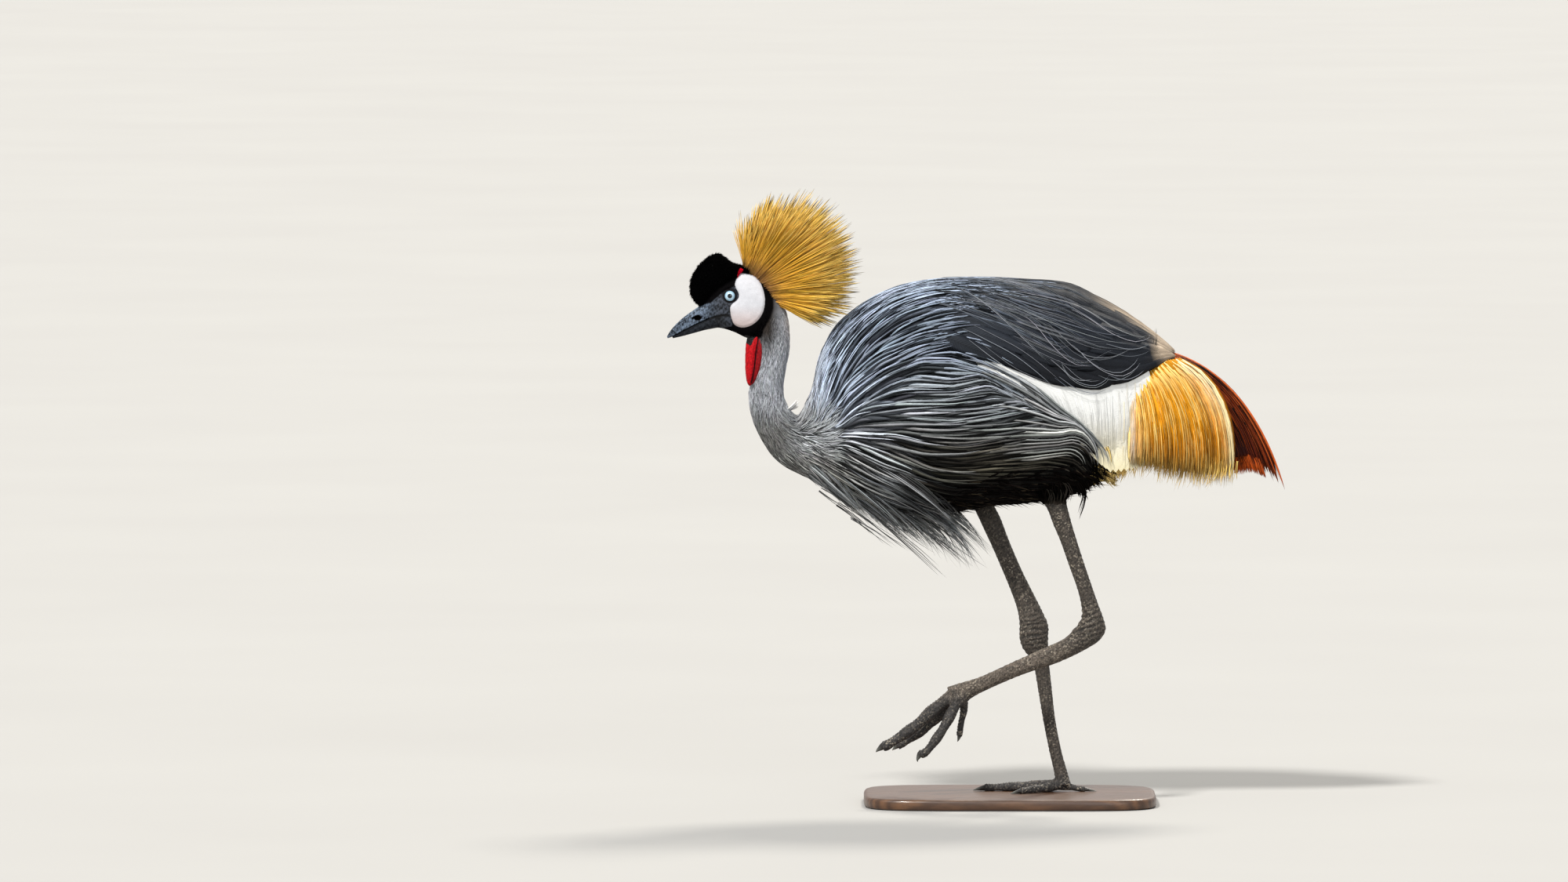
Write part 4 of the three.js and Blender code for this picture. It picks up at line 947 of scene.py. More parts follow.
def build_skin():
    eyes = []
    for s in (-1, 1):
        r = 0.00705
        y = EYE_Y + 0.8 * EYE_R * math.sqrt(1 - (r / EYE_R) ** 2) + 0.0003
        eyes.append(torus((float(X(EYE_U)), s * y, float(Z(EYE_V))), r, 0.00085, 1.0))
    neck = [list(r) for r in NECK[:5]]
    head = joined([head_solid(), tube_solid(loft(neck, 60, 60, -0.0016)), wattle_lobe(WATTLE_FRONT, -12.0, 1), wattle_lobe(WATTLE_REAR, -9.6, 2),
                   wattle_lobe(WATTLE_FRONT, 12.0, 3), wattle_lobe(WATTLE_REAR, 9.6, 4)] + eyes, "skin_head")
    head = remeshed(head, 0.00078, smooth=1, factor=0.3)
    body = joined([tube_solid(loft(BODY, 60, 56, -0.0085)), tube_solid(loft(NECK, 50, 40, -0.0024))], "skin_body")
    body = remeshed(body, 0.0042, smooth=3)
    solids = [tube_solid(loft(RIGHT_LEG, 200, 44)), tube_solid(loft(LEFT_LEG, 200, 44)),
              tube_solid(loft(THIGH_RIGHT, 16, 32, -0.004)), tube_solid(loft(THIGH_LEFT, 16, 32, -0.004))]
    # wrinkles where the ankle bends, rings of scutes on the shanks
    for side, toe, path, tip, r, end, joints in toe_specs():
        solids.append(tube_solid(limb(path, lambda t: toe_radius(t, r, end, joints), 70, 28)))
    legs = remeshed(joined(solids, "skin_legs"), 0.00138, smooth=1, factor=0.5)
    V, N = mesh_arrays(legs.data)
    u, v = uv_of(V)
    wr = wave_noise(V, 90, 21, 2)
    # pebbled scales all over, coarser on the front of the tarsus
    peb = wave_noise(V, 260, 22, 2) * 0.00022 + wave_noise(V, 430, 23, 1) * 0.00012
    fold = fold_at(V)
    # scutes across the toes
    toes = ((v > 880) & (V[:, 1] < -0.01)) | ((V[:, 2] < BASE + 0.014) & (V[:, 1] > -0.06))
    reach = np.where(V[:, 1] < -0.012, np.hypot(u - 1222, v - 885), np.hypot(u - 1357, (V[:, 1] - 0.0135) / G))
    top = ramp(-0.2, 0.5, N[:, 2] - 0.4 * N[:, 0])
    scute = 0.00035 * toes * ramp(8, 16, reach) * np.sin(reach * 2 * math.pi / 3.6 + wr * 0.8) * top
    tars = ((V[:, 1] > 0) & (v > 835) & (v < 1000)) | ((V[:, 1] < 0) & (v > 815) & (u < 1350))
    wrap = 0.0002 * tars * np.sin((v * 0.9 - u * 0.45) * 2 * math.pi / 5.0 + wr * 2.5) * ramp(-0.4, 0.3, -N[:, 0])
    lim = np.where(V[:, 2] < BASE + 0.0015, 0.0, 1.0)
    set_points(legs.data, V + N * ((peb + fold + scute + wrap) * lim)[:, None])
    # the bird as one mesh
    for other in (body, legs):
        m = head.modifiers.new("union", "BOOLEAN")
        m.operation, m.object = "UNION", other
        try:
            m.solver = "MANIFOLD"
        except TypeError:
            m.solver = "EXACT"
    before = len(head.data.polygons)
    head = apply_modifiers(head)
    whole = len(head.data.polygons)
    print("skin faces", before, len(body.data.polygons), len(legs.data.polygons), "->", whole)
    for o in (body, legs):
        bpy.data.objects.remove(o)
    head.name = "skin"
    head.data.name = "skin"
    me = head.data
    me.polygons.foreach_set("use_smooth", np.ones(len(me.polygons), bool))
    V, N = mesh_arrays(me)
    u, v = uv_of(V)
    y = np.abs(V[:, 1])
    # markings
    black = srgb(8, 7, 8)
    # painted shade: the skin under the coat is painted dark, near black under the body's plumes and less dark under the
    # neck's hairs, as the shade in the gaps between them
    col = plumage(u, v) * mix(0.62, 0.10, ramp(1000, 1060, u))[:, None]
    zone = np.zeros(len(V))                           # 0 under feathers, 1 face, 2 cheek, 3 wattle, 4 legs
    headish = inside(HEAD_BLACK, u, v)
    col = blend(col, black[None], np.where(headish, 1.0, ramp(4, 0, distance_to(HEAD_BLACK, u, v)) * (u > 940) * (v < 470)))
    # bare face in front of the cheek and below the cap
    facepoly = FACE
    isface = inside(facepoly, u, v) & (v < 440)
    fine = wave_noise(V, 330, 31, 2)
    fcol = bill_and_face_tone(u, v, N[:, 2], mottle(V))
    dface = distance_to(facepoly, u, v)
    soft = np.where(isface, ramp(-0.6, 1.6, dface), 0)
    col = blend(col, fcol, soft)
    r = np.hypot((u - EYE_U) * G, (v - EYE_V) * G)
    col = blend(col, srgb(22, 20, 22)[None], np.where(y > 0.008, ramp(0.0104, 0.0088, r), 0) * (headish))
    zone[isface] = 1
    isc = inside(CHEEK, u, v) & (y > 0.006) & headish
    dc = distance_to(CHEEK, u, v)
    blush = srgb(206, 190, 188)
    cheek = srgb(208, 209, 215)
    ccol = blend(cheek[None] * np.ones((len(V), 3)), blush[None], ramp(385, 415, v))
    ccol = ccol * (1 + 0.035 * wave_noise(V, 90, 33, 3))[:, None]
    col = blend(col, ccol, np.where(isc, ramp(-0.5, 0.7, dc), 0))
    zone[isc] = 2
    redp = inside(RED_SPOT, u, v) & (y > 0.004)
    col[redp] = srgb(196, 24, 44) * (1 + 0.15 * fine[redp, None])
    # wattle: everything in front of the throat in its outline, below the black tongue
    front = np.interp(v, [425, 441, 458, 474, 487, 492], [953, 952.5, 951, 951.5, 953, 954])
    back = np.interp(v, [425, 441, 458, 474, 487, 493], [973, 976, 975, 970.5, 964.5, 961])
    neck_front = np.interp(v, [420, 443, 472, 502], [957, 962, 961.5, 957])
    lobes = (v > 427) & (v < 494) & (u > front - 3) & (u < back + 1)
    standing = np.abs(y - 0.0115) < 0.0125
    # only the lobes stand out from the neck's own section
    NR = dense([r for r in NECK], 300)
    k = np.clip(np.searchsorted((NR[:, 1] + NR[:, 3]) / 2, v), 0, 299)
    cu, cv, au, av = (NR[k, 0] + NR[k, 2]) / 2, (NR[k, 1] + NR[k, 3]) / 2, (NR[k, 0] - NR[k, 2]) / 2, (NR[k, 1] - NR[k, 3]) / 2
    rel = ((u - cu) * au + (v - cv) * av) / (au ** 2 + av ** 2)
    rho = np.abs(rel) ** 2 + (y * 1e3 / NR[k, 4]) ** 2
    isw = lobes & standing & (rho > 0.93)
    tongue = (v < np.interp(u, [948, 952, 955, 957, 959, 962, 965, 976], [436, 437, 438.5, 440.5, 437.5, 431, 428.5, 427.5]))
    groove_line = [(967.5, 430), (965.6, 440), (963.8, 453), (961.8, 471), (958.4, 487)]
    rear = u - np.interp(v, [430, 440, 453, 471, 487], [967.5, 965.6, 963.8, 961.8, 958.4])
    # painted shade: the rear lobe is painted a darker red, as shade
    red = blend(srgb(176, 3, 16)[None] * np.ones((len(V), 3)), srgb(132, 1, 9)[None], ramp(-0.5, 1.5, rear))
    red = red * np.clip(1 + 0.34 * fine + 0.22 * np.sin(u * 3.1 + 0.6 * np.sin(v * 0.3) + 0.15 * v), 0.3, 1.6)[:, None]
    # painted shade: the groove between the lobes is painted near black, as the shade in the fold
    groove = distance_to(groove_line, u, v)
    red = blend(red, srgb(40, 0, 4)[None], 0.92 * ramp(1.7, 0.5, groove))
    red = blend(red, srgb(96, 0, 10)[None], 0.6 * ramp(487, 492, v))
    col[isw & ~tongue] = red[isw & ~tongue]
    col[isw & tongue] = black
    zone[isw] = 3
    # legs
    isl = (v > 640) & (u > 1100)
    legc = blend(srgb(72, 65, 58)[None] * np.ones((len(V), 3)), srgb(98, 88, 78)[None], ramp(1380, 1340, u) * ramp(905, 875, v) * ramp(806, 822, v) * (V[:, 1] < 0))
    legc = blend(legc, srgb(60, 57, 56)[None], ramp(868, 905, v) * (V[:, 1] < 0) + ramp(985, 1003, v) * (V[:, 1] > 0))
    # painted shade in the wrinkles' troughs and painted light on their ridges
    legc = legc * np.clip(1 + 900 * fold_at(V), 0.35, 1.4)[:, None]
    pits = wave_noise(V, 300, 41, 2)
    legc = legc * np.clip(1 + 0.5 * pits, 0.3, 1.8)[:, None]
    belly = BELLY_BLACK * 1.2
    mixl = ramp(632, 650, v) * (u > 1100)
    col = np.where((mixl > 0)[:, None], blend(belly[None] * np.ones((len(V), 3)), legc, mixl), col)
    zone[isl] = 4
    colour_attribute(me, "Tone", col)
    float_attribute(me, "zone", zone)
    # materials: 0 under the coat, 1 head, 2 legs
    pz = np.zeros(len(me.polygons), np.int32)
    li = np.empty(len(me.loops), np.int32)
    me.loops.foreach_get("vertex_index", li)
    ls = np.empty(len(me.polygons), np.int32)
    me.polygons.foreach_get("loop_start", ls)
    z0 = zone[li[ls]]
    pz[(z0 > 0.5) & (z0 < 3.5)] = 1
    pz[z0 > 3.5] = 2
    m0, nt, b = material("skin_under_coat", rough=0.9, spec=0.02)
    k = Nodes(nt)
    k.link(k.scaled(k.attr("Tone"), k.range(k.noise(140, 4), 0.3, 0.7, 0.8, 1.2)), b.inputs["Base Color"])
    k.link(k.bump(k.noise(900, 3), 0.4, 0.0004), b.inputs["Normal"])
    m1, nt, b = material("skin_head", rough=0.6, spec=0.14)
    k = Nodes(nt)
    grain = k.noise(1500, 4)
    pore = k.voronoi(1300)
    k.link(k.scaled(k.attr("Tone"), k.range(grain, 0.3, 0.7, 0.86, 1.14)), b.inputs["Base Color"])
    k.link(k.range(k.noise(500, 3), 0.3, 0.7, 0.42, 0.68), b.inputs["Roughness"])
    k.link(k.bump(grain, 0.25, 0.0003, k.bump(pore, 0.3, 0.00025)), b.inputs["Normal"])
    m2, nt, b = material("skin_leg", rough=0.62, spec=0.35)
    k = Nodes(nt)
    cell = k.voronoi(520, feature="DISTANCE_TO_EDGE")
    cell2 = k.voronoi(520, feature="F1", out="Color")
    crack = k.range(cell, 0.0, 0.12, 0.0, 1.0)
    sep = k.add("ShaderNodeSeparateColor")
    k.link(cell2, sep.inputs[0])
    tint = k.math("MULTIPLY", k.range(crack, 0, 1, 0.3, 1.0), k.range(sep.outputs[0], 0, 1, 0.5, 1.55))
    speck = k.math("MULTIPLY", k.range(sep.outputs[1], 0.80, 0.90, 0.0, 0.55), k.range(k.noise(26, 2), 0.4, 0.62, 0.25, 1.0))
    k.link(k.mixed(speck, k.scaled(k.attr("Tone"), tint), srgb(158, 148, 132)), b.inputs["Base Color"])
    k.link(k.range(k.noise(300, 3), 0.3, 0.7, 0.5, 0.78), b.inputs["Roughness"])
    k.link(k.bump(crack, 0.7, 0.0006, k.bump(k.noise(1600, 3), 0.25, 0.0003)), b.inputs["Normal"])
    me.materials.clear()
    for m in (m0, m1, m2):
        me.materials.append(m)
    me.polygons.foreach_set("material_index", pz)
    me.update()
    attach(head, "root")
    nodes = ["head", "neck_upper", "neck_middle", "neck_lower", "trunk", "cheek_left", "cheek_right", "wattle_left", "wattle_right"]
    nodes += [f"{p}_{s}" for p in ("thigh", "shank", "hock", "tarsus") for s in ("left", "right")]
    nodes += [f"toe_{s}_{t}" for s in ("left", "right") for t in TOE_LENGTH]
    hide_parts(*nodes)
    return head


# ---------------------------------------------------------------- bill, eyes, claws, base
def bill_material():
    m, nt, b = material("bill_horn", rough=0.45, spec=0.14, coat=0.0)
    k = Nodes(nt)
    grain = k.noise(700, 5, rough=0.65)
    streak = k.noise(220, 3, k.place((0.35, 1, 1)))
    fleck = k.range(k.voronoi(900), 0.12, 0.5, 1.35, 0.85)
    k.link(k.scaled(k.attr("Tone"), k.math("MULTIPLY", fleck, k.math("MULTIPLY", k.range(grain, 0.3, 0.7, 0.66, 1.36), k.range(streak, 0.3, 0.7, 0.85, 1.15)))), b.inputs["Base Color"])
    k.link(k.range(k.noise(400, 3), 0.3, 0.7, 0.36, 0.58), b.inputs["Roughness"])
    k.link(k.range(k.attr("Tone"), 0.002, 0.05, 0.0, 0.16), b.inputs["Specular IOR Level"])
    k.link(k.bump(grain, 0.5, 0.0004), b.inputs["Normal"])
    return m


def bill_rings(ribs, n, m, top_e, low_e):
    """Loft whose upper and lower halves have their own roundness, so that the cutting edges meet squarely."""
    R = dense(ribs, n)
    top = np.stack([X(R[:, 0]), 0 * R[:, 0], Z(R[:, 1])], -1)
    bot = np.stack([X(R[:, 2]), 0 * R[:, 0], Z(R[:, 3])], -1)
    c, a = (top + bot) / 2, (top - bot) / 2
    th = 2 * math.pi * np.arange(m) / m
    e = np.where(np.sin(th) > 0, top_e, low_e)
    sn, cs = sgnpow(np.sin(th), 2 / e), sgnpow(np.cos(th), 2 / e)
    P = c[:, None] + a[:, None] * sn[None, :, None]
    P[..., 1] += R[:, 4:5] * 1e-3 * cs
    return P


def nostril(u, v):
    """Distance from the nostril's centre, 1 on its rim: a drop that is fuller towards the face."""
    a = math.radians(-6)
    p, q = (u - 888.6) * math.cos(a) + (v - 405) * math.sin(a), -(u - 888.6) * math.sin(a) + (v - 405) * math.cos(a)
    return np.sqrt((p / 6.8) ** 2 + (q / mix(2.8, 4.3, ramp(-6, 5, p))) ** 2)


GAPE = [(851, 431.6), (859, 429.3), (868.2, 424.5), (881, 417.6), (895, 410.8), (907, 405.2), (912, 403.6), (921, 401.2), (929, 401.4)]
FACE_TONE, BILL_TONE, JAW_TONE = srgb(50, 54, 62), srgb(82, 94, 110), srgb(32, 34, 38)


def mottle(V):
    """Blotches and flecks of the horn and the bare face."""
    m = 0.85 * wave_noise(V, 150, 35, 3) + 0.75 * wave_noise(V, 330, 31, 2)
    return np.sign(m) * np.abs(m) ** 0.8


def bill_and_face_tone(u, v, nz, fine):
    """One tone for the bare face and the bill, so that they run into each other without a seam."""
    c = blend(np.broadcast_to(FACE_TONE, u.shape + (3,)), BILL_TONE, ramp(918, 893, u))
    # painted highlight: where the bill faces up it is painted a paler blue-grey
    c = blend(c, srgb(120, 134, 152), 0.5 * ramp(0.35, 0.9, nz) * ramp(912, 890, u))
    c = blend(c, srgb(46, 50, 56), 0.6 * ramp(866, 853, u))
    gv = np.interp(u, [p[0] for p in GAPE], [p[1] for p in GAPE])
    c = blend(c, JAW_TONE, ramp(-0.3, 1.2, v - gv) * ramp(936, 918, u) * 0.85)
    c = c * np.clip(1 + 0.85 * fine[..., None], 0.22, 2.4)
    # painted shade: a near-black line along the gape, as the shade in the slit between the mandibles
    line = distance_to(GAPE, u, v)
    return blend(c, srgb(8, 8, 9), 0.95 * ramp(2.5, 0.9, line) * ramp(853, 858, u))


def build_bill():
    mat = bill_material()
    for name, ribs, node, te, le in (("bill_upper_horn", UPPER_BILL, "bill_upper", 2.1, 4.6), ("bill_lower_horn", LOWER_BILL, "bill_lower", 4.6, 2.1)):
        rings = bill_rings(ribs, 150, 96, te, le)
        T = np.gradient(rings, axis=0)
        S = np.gradient(np.concatenate([rings[:, -1:], rings, rings[:, :1]], 1), axis=1)[:, 1:-1]
        N = unit(np.cross(S, T))
        c = rings.mean(1, keepdims=True)
        N = N * np.sign((N * (rings - c)).sum(-1, keepdims=True))
        u, v = uv_of(rings)
        y = rings[..., 1]
        flank = ramp(0.0012, 0.0030, np.abs(y))
        off = np.full(u.shape, -0.0001)
        if node == "bill_upper":
            hole = nostril(u, v)
            off -= 0.0034 * ramp(1.02, 0.60, hole) * flank
            off += 0.00028 * np.exp(-((hole - 1.16) / 0.14) ** 2) * flank
            groove = distance_to([(868, 415.5), (877, 411), (884, 408.5)], u, v)
            off -= 0.00035 * np.exp(-(groove / 1.5) ** 2) * flank
            groove = distance_to([(895, 404), (903, 400), (910, 396)], u, v)
            off -= 0.00022 * np.exp(-(groove / 1.8) ** 2) * flank
            tom = distance_to([(858, 426), (868, 420.8), (881, 413.8), (895, 407), (907, 401.4)], u, v)
            off -= 0.00035 * np.exp(-(tom / 0.7) ** 2) * flank
        else:
            gv = np.interp(u, [p[0] for p in GAPE], [p[1] for p in GAPE])
            off -= 0.0007 * ramp(1.4, 0.2, v - gv) * flank
            ram = distance_to([(862, 430.4), (872, 427), (885, 421.8), (900, 416), (912, 412)], u, v)
            off -= 0.00025 * np.exp(-(ram / 0.8) ** 2) * flank
        off += wave_noise(rings, 170, 51, 2) * 0.00006
        rings = rings + N * off[..., None]
        V, qd, t = tube_solid(rings)
        ob = make_object(name, make_mesh(name, V, qd, t))
        me = ob.data
        uu, vv = uv_of(V)
        _, Nn = mesh_arrays(me)
        col = bill_and_face_tone(uu, vv, Nn[:, 2], mottle(V))
        if node == "bill_upper":
            # painted shade: the nostril's hollow is painted near black
            col = blend(col, srgb(7, 5, 5), ramp(1.06, 0.90, nostril(uu, vv)) * (np.abs(V[:, 1]) > 0.002))
        else:
            col = blend(col, JAW_TONE, 0.6)
        colour_attribute(me, "Tone", col)
        me.materials.append(mat)
        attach(ob, "root")
        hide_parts(node)


def build_eyes():
    m, nt, b = material("eye_wet", rough=0.14, spec=0.3, coat=0.55)
    b.inputs["Coat Roughness"].default_value = 0.02
    k = Nodes(nt)
    streak = k.noise(900, 3)
    k.link(k.scaled(k.attr("Tone"), k.range(streak, 0.3, 0.7, 0.9, 1.1)), b.inputs["Base Color"])
    k.link(k.range(k.noise(300, 2), 0.3, 0.7, 0.06, 0.16), b.inputs["Roughness"])
    k.link(k.bump(streak, 0.05, 0.0002), b.inputs["Normal"])
    for s, node in ((-1, "eye_left"), (1, "eye_right")):
        n, mm = 72, 80
        # rings from the front of the eye to its back
        a = np.linspace(0.012, math.pi - 0.05, n)
        th = 2 * math.pi * np.arange(mm) / mm
        r = EYE_R * np.sin(a)
        y = 0.8 * EYE_R * np.cos(a) + 0.0005 * np.exp(-(a / 0.55) ** 2)
        rings = np.stack([float(X(EYE_U)) + r[:, None] * np.cos(th), s * (EYE_Y + y[:, None]) + 0 * th, float(Z(EYE_V)) + r[:, None] * np.sin(th)], -1)
        V, q, t = tube_solid(rings)
        ob = make_object(f"eyeball_{'left' if s < 0 else 'right'}", make_mesh("eyeball", V, q, t))
        rr = np.hypot(V[:, 0] - float(X(EYE_U)), V[:, 2] - float(Z(EYE_V)))
        rr = np.where(np.abs(V[:, 1]) > EYE_Y, rr, EYE_R)
        ang = np.arctan2(V[:, 2] - float(Z(EYE_V)), V[:, 0] - float(X(EYE_U)))
        iris = blend(srgb(196, 226, 244)[None] * np.ones((len(V), 3)), srgb(150, 188, 212)[None], ramp(0.0035, 0.0066, rr))
        iris = iris * (1 + 0.05 * np.sin(ang * 37) * np.sin(ang * 23 + 1))[:, None]
        col = blend(iris, srgb(2, 2, 3)[None], ramp(0.0031, 0.0028, rr))
        col = blend(col, srgb(96, 120, 138)[None], 0.5 * np.exp(-((rr - 0.0032) / 0.0003) ** 2))
        col = blend(col, srgb(24, 26, 30)[None], ramp(0.0064, 0.0069, rr))
        me = ob.data
        colour_attribute(me, "Tone", col)
        me.materials.append(m)
        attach(ob, "root")
        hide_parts(node)


def build_claws():
    m, nt, b = material("claw_horn", rough=0.4, spec=0.45)
    k = Nodes(nt)
    g = k.noise(600, 4)
    k.link(k.scaled(k.attr("Tone"), k.range(g, 0.3, 0.7, 0.75, 1.3)), b.inputs["Base Color"])
    k.link(k.range(g, 0.3, 0.7, 0.3, 0.55), b.inputs["Roughness"])
    k.link(k.bump(k.noise(1200, 3, k.place((1, 1, 1))), 0.3, 0.0003), b.inputs["Normal"])
    for side, toe, path, tip, r, end, joints in toe_specs():
        re = r * end * 1.0
        last = path[-1]
        d = unit(last - path[-2])
        start = last - d * 0.002
        mid = (last * 0.45 + tip * 0.55) + d * 0.0015
        pts = np.array([start, last, mid, tip])
        if side == "right":
            pts[1:3, 2] = np.maximum(pts[1:3, 2], tip[2] + 0.0006)
        rings = limb(pts, lambda t: re * 0.92 * np.maximum(1 - t, 0.03) ** 0.75, 40, 24, wide=0.9, high=0.95)
        rings[..., 2] = np.maximum(rings[..., 2], BASE + 0.0003)
        V, q, t = tube_solid(rings)
        name = f"claw_{side}_{toe}_horn"
        ob = make_object(name, make_mesh(name, V, q, t))
        s = np.linalg.norm(V - tip, axis=1)
        col = blend(srgb(96, 98, 92)[None] * np.ones((len(V), 3)), srgb(40, 37, 34)[None], ramp(0.002, 0.012, s))
        colour_attribute(ob.data, "Tone", col)
        ob.data.materials.append(m)
        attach(ob, "root")
        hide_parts(f"claw_{side}_{toe}")


def build_base():
    L, W, T, mid = 0.380, 0.250, BASE, -0.012
    n = 160
    t = 2 * math.pi * np.arange(n) / n
    cx, cy = sgnpow(np.cos(t), 2 / 5.0), sgnpow(np.sin(t), 2 / 5.0)
    rings = []
    for inset, z in [(0.006, 0.0), (0.0012, 0.0006), (0.0, 0.0022), (0.0, T - 0.0042), (0.0006, T - 0.0022), (0.0018, T - 0.0008), (0.0036, T - 0.0002), (0.006, T)]:
        rings.append(np.stack([mid + (L / 2 - inset) * cx, (W / 2 - inset) * cy, np.full(n, z)], -1))
    for f in (0.9, 0.75, 0.55, 0.3, 0.05):
        rings.append(np.stack([mid + (L / 2 - 0.006) * f * cx, (W / 2 - 0.006) * f * cy, np.full(n, T)], -1))
    V, q, tr = tube_solid(np.array(rings))
    ob = make_object("stand_plinth", make_mesh("stand_plinth", V, q, tr))
    m, nt, b = material("base_wood", rough=0.42, spec=0.4, coat=0.2)
    k = Nodes(nt)
    warp = k.noise(3.0, 4, k.place((1, 5, 5)))
    wave = k.nt.nodes.new("ShaderNodeTexWave")
    wave.wave_type, wave.bands_direction = "BANDS", "Y"
    wave.inputs["Scale"].default_value = 9.0
    wave.inputs["Distortion"].default_value = 5.5
    wave.inputs["Detail"].default_value = 3.0
    wave.inputs["Detail Scale"].default_value = 1.6
    k.link(k.place((0.9, 3.4, 3.4)), wave.inputs["Vector"])
    pores = k.noise(90, 4, k.place((0.6, 9, 9)))
    c = k.mixed(wave.outputs["Fac"], srgb(64, 43, 29), srgb(98, 68, 45))
    c = k.mixed(k.range(warp, 0.3, 0.7, 0, 0.5), c, srgb(60, 40, 28))
    c = k.mixed(k.range(pores, 0.56, 0.7, 0, 0.55), c, srgb(38, 25, 17))
    k.link(c, b.inputs["Base Color"])
    k.link(k.range(pores, 0.4, 0.7, 0.36, 0.6), b.inputs["Roughness"])
    k.link(k.bump(pores, 0.25, 0.0003, k.bump(wave.outputs["Fac"], 0.12, 0.0004)), b.inputs["Normal"])
    ob.data.materials.append(m)
    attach(ob, "root")
    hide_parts("stand_base")


# ---------------------------------------------------------------- coat
MAT = {
    "plume": feather_material("plumage_long", 0.55, 30, 0.00018, vary=0.5, sheen=0, spec=0.07, stripes=1.0),
    "grey": feather_material("plumage_grey", 0.62, 26, 0.0002, vary=0.3, sheen=0, spec=0.10),
    "slate": feather_material("plumage_slate", 0.55, 46, 0.00018, vary=0.22, sheen=0, spec=0.06, shaft=-0.25),
    "white": feather_material("plumage_white", 0.6, 40, 0.0001, vary=0.05, sheen=0, spec=0.12),
    "gold": feather_material("plumage_gold", 0.55, 22, 0.0002, vary=0.25, sheen=0, spec=0.06),
    "chestnut": feather_material("plumage_chestnut", 0.5, 40, 0.0002, vary=0.35, sheen=0, spec=0.12, shaft=-0.5),
    "black": feather_material("plumage_black", 0.9, 16, 0.0002, vary=0.3, sheen=0, spec=0.02),
    "crown": feather_material("crown_bristle", 0.6, 24, 0.00015, vary=0.12, sheen=0, spec=0.05),
}


def smooth_limit(P, N, limit, extra):
    """Share of each path before it first goes past limit(u, v) by more than extra."""
    n, K, _ = P.shape
    u, v = uv_of(P)
    past = limit(u, v) > extra[:, None]
    first = np.where(past.any(1), past.argmax(1), K - 1)
    return np.maximum(first, 2) / (K - 1)


def past_flank(u, v):
    """How far a point is inside the wing's zone, in grid units."""
    d = distance_to(SLATE_FRONT[:-1] + FLANK_EDGE, u, v)
    return np.where(inside(WING_ZONE, u, v), d, -d)


def even_places(surf, n, rng, keep, gap):
    """Roots spread evenly, no two nearer than gap(u, v)."""
    C = surf.sample(n * 7, rng, keep)
    g = gap(*uv_of(C))
    size = float(g.max())
    cells, got = {}, []
    keys = np.floor(C / size).astype(int)
    near = [(i, j, k) for i in (-1, 0, 1) for j in (-1, 0, 1) for k in (-1, 0, 1)]
    for m in range(len(C)):
        a, b, c = keys[m].tolist()
        p, r2 = C[m], g[m] ** 2
        free = True
        for i, j, k in near:
            for q in cells.get((a + i, b + j, c + k), ()):
                d = p - q
                if d[0] * d[0] + d[1] * d[1] + d[2] * d[2] < r2:
                    free = False
                    break
            if not free:
                break
        if free:
            cells.setdefault((a, b, c), []).append(p)
            got.append(p)
    return np.array(got)


def painted_edge_light(tone, P, N, R, strength=0.45):
    """Paints light on each tuft's upper edge and shade on its lower one, and a little shade along its middle: (n, K +
    1, R, 3).
    """
    S = unit(np.cross(tangents(P), N))
    up = S[..., 2]
    across = {3: np.array([-1, 0, 1.0]), 4: np.array([-1, 0, 1.0, 0])}[R]
    f = 1 + strength * up[..., None] * across
    f = f * np.where(np.abs(across) < 0.5, 0.92, 1.06)
    return tone[:, :, None] * f[..., None]


